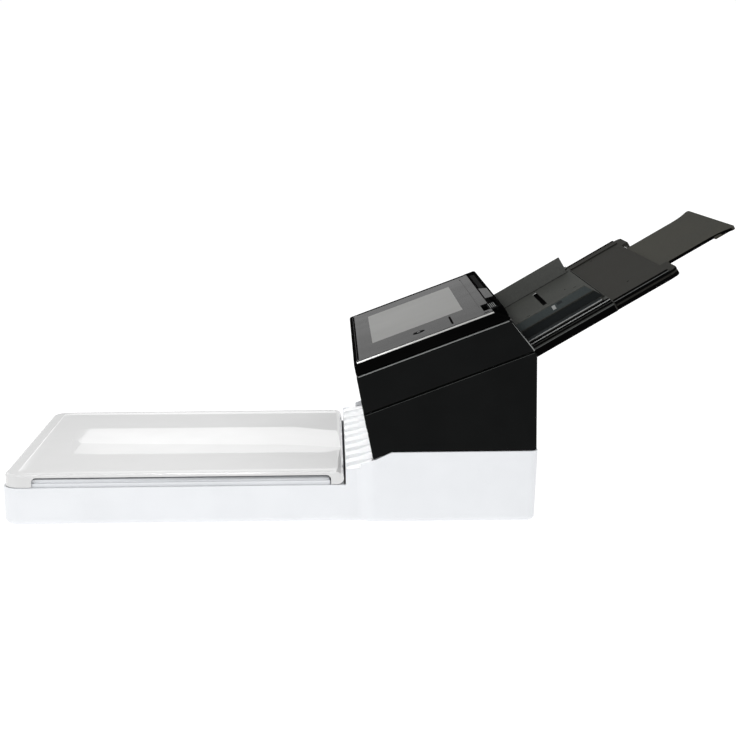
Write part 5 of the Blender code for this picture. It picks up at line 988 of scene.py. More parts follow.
def settle(
    name: str,
    shape: Mesh,
    finish: Finish,
    body: Body,
    replaces: Sequence[str] = (),
    smooth_angle: float = 40.0,
) -> None:
    """Turns a mesh into a finished piece that rides on a body.

    Args:
        name: The piece's name.
        shape: Its mesh, placed in the room. It is used up.
        finish: Its finish.
        body: The body that it moves with.
        replaces: CAD nodes that it stands for.
        smooth_angle: Edges that turn more than this many degrees stay sharp.
    """
    mesh = bpy.data.meshes.new(name)
    shape.edges.index_update()
    creases = [edge.index for edge in shape.edges if not edge.smooth]
    shape.to_mesh(mesh)
    shape.free()
    mesh.materials.clear()
    mesh.materials.append(finish.material())
    mesh.shade_smooth()
    mesh.set_sharp_from_angle(angle=math.radians(smooth_angle))
    for index in creases:
        mesh.edges[index].use_edge_sharp = True
    piece = bpy.data.objects.new(name, mesh)
    bpy.context.scene.collection.objects.link(piece)
    weighted = piece.modifiers.new("face_weighted_normals", "WEIGHTED_NORMAL")
    weighted.keep_sharp = True
    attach(piece, body.value)
    if replaces:
        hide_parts(*replaces)
    LOG.info("%s: %d faces, %s, on %s", name, len(mesh.polygons), finish.name, body.value)


def dress_node(name: str, finish: Finish) -> None:
    """Gives a CAD node that keeps its shape a detailed finish."""
    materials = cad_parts[name].data.materials
    materials.clear()
    materials.append(finish.material())
    LOG.info("%s: CAD shape, %s", name, finish.name)


def soften(name: str, finish: Finish, body: Body, width_mm: float, segments: int = 2) -> None:
    """Replaces a CAD node with a copy of it whose edges are rounded by a width in so many steps."""
    shape = round_edges(node_copy(name), width_mm, segments)
    settle(f"{name}_dressed", shape, finish, body, (name,))


def turn_about(shape: Mesh, axis: Axis, angle: float) -> Mesh:
    """Turns a mesh about an axis through the origin, by an angle in radians."""
    turn = Matrix.Rotation(angle, 3, axis.value)
    bmesh.ops.rotate(shape, cent=(0, 0, 0), matrix=turn, verts=shape.verts)
    return shape


def screws(places: Sequence[Place], radius_mm: float, down: bool = False) -> Mesh:
    """Pan-head screws with crossed slots.

    Args:
        places: The seat of each head.
        radius_mm: Radius of a head in millimetres.
        down: Whether the heads point down instead of up.

    Returns:
        All the heads in one mesh.
    """
    radius = radius_mm * MM
    slot, half, deep = (radius * share for share in (0.62, 0.11, 0.25))
    heads = []
    for place in places:
        head = turned([(radius * rise, radius * wide) for rise, wide in PAN_HEAD], (0, 0), 24, Axis.Z)
        bars = [block((-x, -y, deep), (x, y, radius)) for x, y in ((slot, half), (half, slot))]
        head = combine(head, Join.CUT, *bars)
        if down:
            turn_about(head, Axis.X, math.pi)
        bmesh.ops.translate(head, vec=place, verts=head.verts)
        heads.append(head)
    return joined(*heads)


def plate(outline: Sequence[Place], facing: Place, proud_mm: float = 0.08, depth_mm: float = 0.3) -> Mesh:
    """A thin plate let into a face: how far it stands out and goes in, along the way that the face looks."""
    out = Vector(facing).normalized() * MM
    return loft([[Vector(corner) + out * rise for corner in outline] for rise in (-depth_mm, proud_mm)])


def lip(
    ends: Sequence[Place], facing: Place, width_mm: float, proud_mm: float = 0.12, depth_mm: float = 0.8
) -> Mesh:
    """A narrow flat plate let into an edge.

    Args:
        ends: Middle of its face at both ends.
        facing: Direction that the face looks in.
        width_mm: Width of the face in millimetres.
        proud_mm: How far the face stands out.
        depth_mm: How far the plate goes in.

    Returns:
        The closed mesh.
    """
    first, last = (Vector(end) for end in ends)
    across = (last - first).normalized().cross(Vector(facing).normalized()) * width_mm / 2 * MM
    return plate([first - across, first + across, last + across, last - across], facing, proud_mm, depth_mm)


def skirt(
    path: Sequence[Point], low: float, high: float, proud_mm: float = 0.06, depth_mm: float = 0.3
) -> Mesh:
    """A thin upright strip that follows a wall, on the right of its path.

    Args:
        path: The wall's foot as x and distance along.
        low: Height where the strip starts.
        high: Height where it ends.
        proud_mm: How far it stands out of the wall.
        depth_mm: How far it goes in.

    Returns:
        The closed mesh.
    """
    rings = []
    for i, (x, y) in enumerate(path):
        (x0, y0), (x1, y1) = path[max(i - 1, 0)], path[min(i + 1, len(path) - 1)]
        out = Vector((y1 - y0, x0 - x1)).normalized() * MM
        outer, inner = ((x + out.x * rise, y + out.y * rise) for rise in (proud_mm, -depth_mm))
        rings.append([(*outer, low), (*outer, high), (*inner, high), (*inner, low)])
    return loft(rings)


def both_sides(*shapes: Mesh) -> Mesh:
    """Joins meshes and adds their mirror image on the machine's other side.

    Args:
        *shapes: The meshes. They are used up.

    Returns:
        One mesh.
    """
    whole = joined(*shapes)
    other = whole.copy()
    bmesh.ops.scale(other, vec=(-1, 1, 1), verts=other.verts)
    bmesh.ops.reverse_faces(other, faces=other.faces)
    return joined(whole, other)


@dataclass
class Studio:
    """Camera, floor and lights."""

    focal: float = 71.73
    sensor: float = 36.0
    camera_place: Place = (1.59170, -0.040232, 0.43250)
    yaw: float = -0.0252
    pitch: float = 0.1849
    roll: float = -0.0053
    view_limit: float = 100.0
    floor_half: float = 60.0
    floor_glow: float = 0.9
    # Height on the sky, from straight down to straight up, and how bright it is there
    sky_glow: tuple[Point, ...] = (
        (0.0, 1.02),
        (0.165, 1.0),
        (0.2, 0.5),
        (0.255, 0.5),
        (0.272, 1.3),
        (0.5, 1.0),
        (0.75, 0.35),
        (1.0, 0.25),
    )
    # Name, place, aim, size and power in watts
    softboxes: tuple[tuple[str, Place, Place, Point, float], ...] = (
        ("overhead_softbox", (0.17, -0.44, 1.22), (0, 0, 0.15), (0.34, 0.9), 2.7),
        ("ramp_softbox", (0.05, -0.21, 0.62), (0, -0.01, 0.06), (0.30, 0.14), 1.9),
        ("front_softbox", (1.5, -1.1, 1.4), (0, -0.1, 0.1), (0.8, 0.5), 4.0),
        ("rear_softbox", (-1.2, 1.6, 1.6), (0, 0, 0.1), (1.0, 1.0), 5.0),
    )

    def camera(self) -> None:
        """Sets the camera where the photograph was taken from."""
        ahead = Vector((-math.cos(self.yaw), -math.sin(self.yaw), 0))
        right = Vector((-math.sin(self.yaw), math.cos(self.yaw), 0))
        up = Vector((0, 0, 1))
        look = math.cos(self.pitch) * ahead - math.sin(self.pitch) * up
        crown = math.sin(self.pitch) * ahead + math.cos(self.pitch) * up
        side = math.cos(self.roll) * right + math.sin(self.roll) * crown
        crown = math.cos(self.roll) * crown - math.sin(self.roll) * right
        data = bpy.data.cameras.new("camera")
        data.sensor_width = self.sensor
        data.lens = self.focal
        data.clip_end = self.view_limit
        camera = bpy.data.objects.new("camera", data)
        camera.matrix_world = Matrix((side, crown, -look)).transposed().to_4x4()
        camera.location = self.camera_place
        bpy.context.scene.collection.objects.link(camera)
        bpy.context.scene.camera = camera

    def floor(self) -> None:
        """Lays the glowing white table that the scanner stands on."""
        shape = bmesh.new()
        bmesh.ops.create_grid(shape, x_segments=1, y_segments=1, size=self.floor_half)
        mesh = bpy.data.meshes.new("studio_floor")
        shape.to_mesh(mesh)
        shape.free()
        material = bpy.data.materials.new("white_light_table")
        material.use_nodes = True
        look = {
            "Base Color": linear("959595"),
            "Roughness": 0.9,
            "Specular IOR Level": 0.1,
            "Emission Color": linear("FFFFFF"),
            "Emission Strength": self.floor_glow,
        }
        connect(material.node_tree, material.node_tree.nodes["Principled BSDF"], look)
        mesh.materials.append(material)
        floor = bpy.data.objects.new("studio_floor", mesh)
        bpy.context.scene.collection.objects.link(floor)

    def sky(self) -> None:
        """Surrounds the table with white walls, a grey band over them and a dim ceiling."""
        world = bpy.data.worlds.new("studio_sky")
        world.use_nodes = True
        tree = world.node_tree
        direction = add_node(tree, "ShaderNodeTexCoord").outputs["Generated"]
        height = add_node(tree, "ShaderNodeSeparateXYZ", {0: direction})
        glow = add_node(tree, "ShaderNodeValToRGB", {0: height.outputs["Z"]})
        ramp = glow.color_ramp.elements
        for i, (place, bright) in enumerate(self.sky_glow):
            stop = ramp[i] if i < 2 else ramp.new(place)
            stop.position = place
            stop.color = (bright, bright, bright, 1)
        connect(tree, tree.nodes["Background"], {"Color": glow.outputs[0]})
        bpy.context.scene.world = world

    def lights(self) -> None:
        """Hangs the soft lights."""
        for name, place, aim, size, power in self.softboxes:
            data = bpy.data.lights.new(name, "AREA")
            data.shape = "RECTANGLE"
            data.size, data.size_y = size
            data.energy = power
            lamp = bpy.data.objects.new(name, data)
            lamp.location = place
            lamp.rotation_euler = (Vector(aim) - Vector(place)).to_track_quat("-Z", "Y").to_euler()
            bpy.context.scene.collection.objects.link(lamp)

    def build(self) -> None:
        """Sets the whole studio."""
        self.camera()
        self.floor()
        self.sky()
        self.lights()
        bpy.context.scene.view_settings.view_transform = "Standard"


@dataclass
class BaseCasing:
    """White tub on rubber feet: rounded rims, vents behind and below, screws and an empty plate underneath."""

    rim_rounding_mm: float = 0.7
    rear_wall: float = 0.542
    floor: float = 0.0035
    vent_columns: int = 16
    vent_pitch: float = 0.0056
    vent_slot: tuple[float, float] = (0.0022, 0.018)
    rear_vent: Point = (-0.010, 0.046)
    belly_vent: Point = (-0.042, 0.43)
    plate_half: Point = (0.034, 0.020)
    plate_y: float = 0.26
    screw_places: tuple[Point, ...] = (
        (-0.125, 0.085), (0.125, 0.085), (-0.128, 0.30), (0.128, 0.30), (-0.128, 0.455), (0.128, 0.455)
    )
    screw_radius_mm: float = 3.2
    well_depth: float = 0.0012
    plate_depth: float = 0.0004
    under: float = 0.002
    wall_cut: float = 0.006

    def vents(self) -> list[Mesh]:
        """The slots through the rear wall and the floor, as tools.

        Returns:
            One mesh for each field of slots.
        """
        wide, tall = self.vent_slot
        step = (self.vent_pitch, 0, 0)
        x, z = self.rear_vent
        rear = block((x, self.rear_wall - self.wall_cut, z), (x + wide, self.rear_wall + self.under, z + tall))
        x, y = self.belly_vent
        belly = block((x, y, self.floor - 0.001), (x + wide, y + tall, self.floor + self.wall_cut))
        rows = repeat(belly, WHITE_ABS, self.vent_columns, step, 2, (0, tall * 1.4, 0))
        return [repeat(rear, WHITE_ABS, self.vent_columns, step), rows]

    def casing(self) -> None:
        """The tub itself."""
        shape = MACHINE.copy_of("base_casing")
        x, y = self.plate_half
        plate = pad((0, self.plate_y, 2 * x, 2 * y), self.floor - self.under, self.floor + self.plate_depth)
        radius = self.screw_radius_mm * MM * 1.5
        ends = ((self.floor - self.under, radius), (self.floor + self.well_depth, radius))
        wells = [turned(ends, place, 24, Axis.Z) for place in self.screw_places]
        shape = combine(shape, Join.CUT, joined(*wells), plate, *self.vents())
        round_edges(shape, self.rim_rounding_mm, 3, where=lambda middle: middle.z > 0.03)
        MACHINE.fit("base_casing_moulded", shape, WHITE_ABS, Body.CHASSIS, ("base_casing",))

    def fixings(self) -> None:
        """The screws that hold the tub's floor."""
        places = [(x, y, self.floor + self.well_depth) for x, y in self.screw_places]
        heads = screws(places, self.screw_radius_mm, down=True)
        MACHINE.fit("base_screws", heads, ZINC_STEEL, Body.CHASSIS)

    def feet(self) -> None:
        """Four rubber feet with grip ribs across them."""
        for name in ("foot_front_left", "foot_front_right", "foot_rear_left", "foot_rear_right"):
            low, high = corners(name)
            rib = block((low.x + 0.003, low.y + 0.004, -0.001), (high.x - 0.003, low.y + 0.0052, 0.0006))
            ribs = repeat(rib, FOOT_RUBBER, 9, (0, 0.003, 0))
            shape = combine(node_copy(name), Join.CUT, ribs)
            settle(f"{name}_grooved", shape, FOOT_RUBBER, Body.CHASSIS, (name,))

    def build(self) -> None:
        """Makes the casing, its screws and its feet."""
        self.casing()
        self.fixings()
        self.feet()


@dataclass
class Flatbed:
    """White frame round the document glass."""

    rounding_mm: float = 0.4
    pad_rounding_mm: float = 0.8
    guide_mark: Place = (0.116, 0.009, 0.05)

    def build(self) -> None:
        """Makes the frame, the glass, the pad over it and its backing."""
        soften("platen_frame", WHITE_ABS, Body.CHASSIS, self.rounding_mm)
        dress_node("platen_glass", FLOAT_GLASS)
        soften("document_pad", PAD_FOAM, Body.LID, self.pad_rounding_mm, 3)
        liner = node_copy("lid_liner")
        low, high = corners("lid_liner")
        bar = block((low.x + 0.012, low.y + 0.006, low.z - 0.001), (low.x + 0.0135, high.y - 0.006, low.z + 0.0004))
        grooves = repeat(bar, WHITE_ABS, 2, (high.x - low.x - 0.0255, 0, 0))
        settle("lid_liner_grooved", combine(liner, Join.CUT, grooves), WHITE_ABS, Body.LID, ("lid_liner",))
        for side in ("left", "right"):
            soften(f"lid_hinge_pin_{side}", GROUND_STEEL, Body.CHASSIS, 0.3)
        x, y, z = self.guide_mark
        mark = prism(
            [(x, y - 0.0016), (x + 0.003, y - 0.0036), (x - 0.003, y - 0.0036)], z - 0.0003, z + 0.00005, Axis.Z
        )
        MACHINE.fit("corner_mark", mark, PRINTED_BLACK, Body.CHASSIS)


@dataclass
class FlatbedLid:
    """Polished white lid: soft raised rim, sunk field, creased paper channel and a finger recess in each side."""

    half: float = 0.150
    length: float = 0.345
    top: float = 0.056
    bottom: float = 0.0431
    front_corner: float = 0.018
    rear_corner: float = 0.004
    rim_radius: float = 0.0028
    skirt: float = 0.0022
    skin: float = 0.003
    nose: float = 0.00645
    nose_run: float = 0.011
    field_drop: float = 0.0007
    field_front: float = 0.006
    field_steps: tuple[Point, ...] = (
        (0.0165, 1.0), (0.0085, 0.4), (0.0075, 0.2), (0.0068, -0.1), (0.0064, -1.0), (0.0060, -4.0)
    )
    channel_stations: tuple[tuple[float, float, float, float, float], ...] = (
        (0.040, -0.058, -0.020, 0.040, -0.2),
        (0.056, -0.062, 0.003, 0.056, 1.5),
        (0.090, -0.064, 0.006, 0.062, 1.8),
        (0.290, -0.060, 0.020, 0.062, 1.8),
        (0.320, -0.046, 0.028, 0.064, 1.9),
        (0.337, -0.038, 0.033, 0.065, 2.0),
        (0.350, -0.032, 0.036, 0.066, 2.0),
    )
    recess_front: float = 0.029
    recess_rear: float = 0.332
    recess_lip: float = 0.0031
    recess_corner: float = 0.005
    lug: float = 0.115
    lug_half: float = 0.0056
    lug_head: float = 0.0031
    lug_play: float = 0.00035
    pin_bore: float = 0.0018
    pin_reach: float = 0.009

    @property
    def axis(self) -> Point:
        """Place of the hinge line."""
        return self.length - self.nose, self.top - self.nose

    def outline(self, inset: float, back: float, rear: float) -> list[Point]:
        """The lid from above, moved in by an inset."""
        nose = max(self.front_corner - inset, MM)
        half = self.half - inset
        return rounded_rectangle((-half, inset), (half, back), (nose, nose, rear, rear), 10)

    def blank(self) -> Mesh:
        """The lid's outside with its rolled rim and its rounded rear."""
        past = self.length + PAST
        rings = [[(x, y, self.bottom) for x, y in self.outline(0, past, self.rear_corner)]]
        for i in range(8):
            turn = math.pi / 2 * i / 7
            inset, z = self.rim_radius * (1 - math.cos(turn)), self.top - self.rim_radius * (1 - math.sin(turn))
            rings.append([(x, y, z) for x, y in self.outline(inset, past - inset, self.rear_corner)])
        shape = loft(rings)
        y, z = self.axis
        curve = arc(self.axis, self.nose, -90, 0, 8)
        for i in range(1, 11):
            turn = math.pi / 20 * i
            curve.append((self.length - self.nose_run * (1 - math.cos(turn)), z + self.nose * math.sin(turn)))
        over, under, far = self.top + PAST, self.bottom - PAST, past + 0.01
        outside = curve + [(curve[-1][0], over), (far, over), (far, under), (y, under)]
        return combine(shape, Join.CUT, prism(outside, -self.half - PAST, self.half + PAST))

    def field(self) -> Mesh:
        """The tool that sinks the field inside the rim."""
        rings = []
        for inset, drop in self.field_steps:
            half, front = self.half - inset, self.field_front + inset
            outline = rounded_rectangle((-half, front), (half, self.length + 0.02), (0.012, 0.012, MM, MM), 8)
            rings.append([(x, y, self.top - self.field_drop * drop) for x, y in outline])
        return loft(rings)

    def channel(self) -> Mesh:
        """The tool that creases the shallow paper channel into the field."""
        level, wing = self.top - self.field_drop, 0.02
        rings = []
        for y, far, crease, near, depth in self.channel_stations:
            low = level - depth * MM
            wings = [(near + wing, y, self.top + wing), (far - wing, y, self.top + wing)]
            rings.append([(far, y, level), (crease, y, low), (near, y, level), *wings])
        return loft(rings)

    def hollow(self) -> list[Mesh]:
        """The tools that empty the lid, open its finger recesses and fit its hinges."""
        back = self.axis[0] - self.lug_head - self.lug_play
        tools = [prism(self.outline(self.skirt, back, MM), self.bottom - PAST, self.top - self.skin, Axis.Z)]
        roof = self.top - self.recess_lip
        corner = self.recess_corner
        recess = [(self.recess_front, self.bottom - PAST), (self.recess_rear, self.bottom - PAST)]
        recess += arc((self.recess_rear - corner, roof - corner), corner, 0, 90, 8)
        recess += arc((self.recess_front + corner, roof - corner), corner, 90, 180, 8)
        inside = self.half - self.skirt - 0.0003
        for low, high in ((inside, self.half + PAST), (-self.half - PAST, -inside)):
            tools.append(prism(recess, low, high))
        notch_top = self.axis[1] + self.lug_head + self.lug_play
        for side in (-1, 1):
            x = side * self.lug
            low, high = (
                x - self.lug_half, back - PAST, self.bottom - PAST
            ), (x + self.lug_half, self.length + PAST, notch_top)
            tools.append(block(low, high))
            ends = ((x - self.pin_reach, self.pin_bore), (x + self.pin_reach, self.pin_bore))
            tools.append(turned(ends, self.axis, 24))
        return tools

    def build(self) -> None:
        """Makes the lid."""
        shape = combine(self.blank(), Join.CUT, self.field())
        shape = combine(shape, Join.CUT, self.channel())
        for tool in self.hollow():
            shape = combine(shape, Join.CUT, tool)
        # The lid wears the polished white painted greyer as painted shade
        MACHINE.fit(
            "lid_shell_polished", crease(shape), POLISHED_WHITE_PAINTED_SHADE_ABS, Body.LID, ("lid_shell",), smooth_angle=32
        )


@dataclass
class ExitRamp:
    """White ribbed ramp between the lid and the head."""

    rounding_mm: float = 0.9

    def build(self) -> None:
        """Makes the ramp."""
        # The ramp wears the white painted brighter as painted light
        soften("exit_ramp", PAINTED_LIGHT_RAMP_ABS, Body.CHASSIS, self.rounding_mm, 3)


@dataclass
class FeederHead:
    """Black lower case and hinged cover of the sheet feeder, with painted highlight lines along their parting edges.
    """

    side: float = 0.156
    edge: float = 0.002
    lower_seam: tuple[Point, Point] = ((0.3672, 0.1158), (0.5360, 0.1779))
    upper_seam: tuple[Point, Point] = ((0.3600, 0.1550), (0.5105, 0.2104))
    rear_edge: tuple[Point, Point] = ((0.5368, 0.1800), (0.5140, 0.2087))
    slope: float = 20.2
    louvre_count: int = 34
    louvre_pitch: float = 0.0064
    louvre: tuple[float, float] = (0.0026, 0.016)
    louvre_place: Point = (-0.107, 0.118)
    back: float = 0.5396

    def edge_line(self, ends: tuple[Point, Point], up: Point, width_mm: float, side: int) -> Mesh:
        """One painted highlight line on a side's rounded edge.

        Args:
            ends: Both ends of the edge as y and z.
            up: Direction out of the edge as y and z.
            width_mm: Width of the line in millimetres.
            side: 1 for the right side, -1 for the left.

        Returns:
            The line's mesh.
        """
        sink = self.edge * ROUND_SHARE
        x = side * (self.side - sink)
        return lip([(x, y - up[0] * sink, z - up[1] * sink) for y, z in ends], (side, *up), width_mm)

    def build(self) -> None:
        """Makes the lower case, the cover and the painted highlight lines on their edges."""
        x, z = self.louvre_place
        wide, tall = self.louvre
        slot = block((x, self.back - 0.008, z), (x + wide, self.back + PAST, z + tall))
        louvres = repeat(slot, BLACK_ABS, self.louvre_count, (self.louvre_pitch, 0, 0), 2, (0, 0, -tall * 1.35))
        case = combine(MACHINE.copy_of("head_lower_case"), Join.CUT, louvres)
        MACHINE.fit("head_case_moulded", case, BLACK_ABS, Body.CHASSIS, ("head_lower_case",))
        settle("cover_moulded", node_copy("cover_shell"), BLACK_ABS, Body.COVER, ("cover_shell",))
        for name in ("left", "right"):
            soften(f"cover_hinge_pin_{name}", GROUND_STEEL, Body.CHASSIS, 0.3)
        turn = math.radians(self.slope)
        up = (-math.sin(turn), math.cos(turn))
        back = (math.cos(math.radians(38)), math.sin(math.radians(38)))
        # Painted highlights: grey lips along both seams and the cover's rear edge
        case_lines = joined(*(self.edge_line(self.lower_seam, up, 0.8, side) for side in (-1, 1)))
        MACHINE.fit("case_painted_highlight_lines", case_lines, PAINTED_DIM_HIGHLIGHT_ABS, Body.CHASSIS)
        lines = [self.edge_line(self.upper_seam, up, 1.1, side) for side in (-1, 1)]
        lines += [self.edge_line(self.rear_edge, back, 1.1, side) for side in (-1, 1)]
        MACHINE.fit("cover_painted_highlight_lines", joined(*lines), PAINTED_HIGHLIGHT_ABS, Body.COVER)


@dataclass
class ControlPanel:
    """Sloping housing with a hard-coated fascia, touch screen, home key and cover release lever."""

    half: float = 0.156
    fascia_half: float = 0.150
    fascia_span: Point = (0.0038, 0.1487)
    old_fascia_end: float = 0.1401
    fascia_corner: float = 0.006
    fascia_thickness: float = 0.0014
    gap: float = 0.0003
    screen: tuple[Point, Point] = ((-0.107, 0.0224), (0.077, 0.1231))
    key: Point = (0.1135, 0.0719)
    key_radius: float = 0.005
    surround: tuple[Point, ...] = ((0, 0.0064), (0.00008, 0.0063), (0.00008, 0.0058), (0, 0.0056))
    house: tuple[Point, ...] = (
        (-0.0022, 0),
        (0, 0.0021),
        (0.0022, 0),
        (0.0015, 0),
        (0.0015, -0.0018),
        (-0.0015, -0.0018),
        (-0.0015, 0),
    )
    lever_pocket: tuple[Point, Point] = ((0.0927, 0.1411), (0.1308, 0.1564))
    old_recess: tuple[Point, Point] = ((-0.136, 0.1434), (0.0, 0.1564))
    recess: tuple[Point, ...] = ((-0.1440, 0.1512), (-0.0190, 0.1512), (-0.0040, 0.1570), (-0.1360, 0.1570))
    far_corner: tuple[Point, ...] = (
        (0.146, -0.003), (0.146, 0), (0.1584, 0), (0.1599, -0.0006), (0.1608, -0.002), (0.1616, -0.0122),
        (0.1600, -0.0122)
    )
    bright_patch: tuple[Point, ...] = ((-0.0170, 0.1503), (0.0600, 0.1500), (0.0640, 0.1583), (-0.0010, 0.1583))
    recess_depth: float = 0.0018
    ink_height: float = 0.00005

    def housing(self) -> None:
        """The housing with the fascia's bed and the recess at the back."""
        shape = PANEL_SLOPE.copy_of("panel_housing")
        (x0, s0), (x1, s1) = self.old_recess
        shape = combine(shape, Join.ADD, block((x0 - MM, s0 - MM, -self.recess_depth * 1.5), (x1 + MM, s1 + MM, 0)))
        shape = combine(shape, Join.ADD, prism(self.far_corner, 0.0004 - self.half, -0.137))
        seat = self.fascia_thickness + self.gap
        half, start, end = self.fascia_half + self.gap, self.old_fascia_end - 0.02, self.fascia_span[1] + self.gap
        bed = prism(rounded_rectangle((-half, start), (half, end), (0.0063,) * 4), -seat, PAST, Axis.Z)
        recess = prism(self.recess, -self.recess_depth, PAST, Axis.Z)
        shape = combine(combine(shape, Join.CUT, bed), Join.CUT, recess)
        PANEL_SLOPE.fit("panel_housing_moulded", shape, DEEP_BLACK_AND_PAINTED_SHADE_ABS, Body.COVER, ("panel_housing",))
        floor = plate([(x, s, -self.recess_depth) for x, s in self.recess], (0, 0, 1), 0.1)
        PANEL_SLOPE.fit("panel_recess_floor", floor, RECESS_ABS, Body.COVER)
        patch = plate([(x, s, 0) for x, s in self.bright_patch], (0, 0, 1), 0.06)
        PANEL_SLOPE.fit("panel_rear_inlay", patch, PANEL_ACRYLIC, Body.COVER)

    def fascia(self) -> None:
        """The fascia with its screen window, key well and lever notch, and a painted highlight along its near edge.
        """
        half, (start, end), corner = self.fascia_half, self.fascia_span, self.fascia_corner
        sheet = prism(
            rounded_rectangle((-half, start), (half, end), (corner,) * 4, 10), -self.fascia_thickness, 0, Axis.Z
        )
        (x0, s0), (x1, s1) = self.screen
        gap = self.gap
        seam = gap / 6
        window = block((x0 - seam, s0 - seam, -PAST), (x1 + seam, s1 + seam, PAST))
        well = turned([(depth, self.key_radius + gap) for depth in (-PAST, PAST)], self.key, 36, Axis.Z)
        (a0, b0), (a1, b1) = self.lever_pocket
        notch = block((a0 - gap, b0 - gap, -PAST), (a1 + gap, b1, PAST))
        groove = block((-0.128, 0.1383, -0.0006), (a0 + 0.010, 0.1392, PAST))
        sheet = round_edges(combine(sheet, Join.CUT, well, notch), 0.2, 2)
        sheet = combine(sheet, Join.CUT, window, groove)
        PANEL_SLOPE.fit("fascia_sheet", sheet, PANEL_ACRYLIC, Body.COVER, ("panel_fascia",))
        # Painted highlight: a pale grey lip along the near edge
        middle = (self.half - 0.00094, -0.0003)
        ends = ((middle[0], 0.0035, middle[1]), (middle[0], end, middle[1]))
        PANEL_SLOPE.fit("fascia_painted_highlight_rim", lip(ends, (1, 0, 1.6), 1.9, 0.1), ACRYLIC_RIM_PAINTED_HIGHLIGHT, Body.COVER)

    def display(self) -> None:
        """The screen's glass and the marks printed on the fascia."""
        soften("display_screen", SCREEN_GLASS, Body.COVER, 0.06)
        ink = self.ink_height
        x1 = self.screen[1][0]
        half, (start, end) = self.fascia_half, self.fascia_span
        marks = (
            ((x1 + 0.013, 0.1058), (half - 0.013, 0.1080)),
            ((0.0004 - half, start + 0.006), (0.0044 - half, end - 0.004)),
            ((0.006 - half, start + 0.0003), (half - 0.007, start + 0.0022)),
            ((0.1415, 0.1395), (0.1445, 0.1450)),
        )
        prints = joined(*(block((*low, 0), (*high, ink)) for low, high in marks))
        PANEL_SLOPE.fit("printed_marks", prints, PRINTED_BLACK, Body.COVER)

    def key_and_lever(self) -> None:
        """The round home key with a raised house sign, and the release lever with its finger ribs."""
        x, s = self.key
        settle("home_key_cap", round_edges(node_copy("home_key"), 0.25, 3), KEY_ABS, Body.KEY, ("home_key",))
        ring = turned(self.surround, self.key, 36, Axis.Z)
        PANEL_SLOPE.fit("home_key_surround", ring, PRINTED_BLACK, Body.COVER)
        # The raised house sign is coloured dim grey as a painted highlight
        roof = prism([(x + across, s + up) for across, up in self.house], 0.0002, 0.00036, Axis.Z)
        PANEL_SLOPE.fit("home_key_sign", roof, PAINTED_DIM_HIGHLIGHT_ABS, Body.KEY)
        (a0, b0), (a1, b1) = self.lever_pocket
        lever = round_edges(node_copy("release_lever"), 0.5, 3)
        settle("release_lever_moulded", lever, KEY_ABS, Body.LEVER, ("release_lever",))
        # The finger ribs are coloured dim grey as a painted highlight
        rib = block((a0 + 0.004, b0 + 0.0072, -0.0006), (a1 - 0.004, b0 + 0.0078, -0.0001))
        ribs = repeat(rib, KEY_ABS, 1, (0, 0, 0), 4, (0, 0.0018, 0))
        PANEL_SLOPE.fit("release_lever_ribs", ribs, PAINTED_DIM_HIGHLIGHT_ABS, Body.LEVER)

    def build(self) -> None:
        """Makes the whole panel."""
        self.housing()
        self.fascia()
        self.display()
        self.key_and_lever()


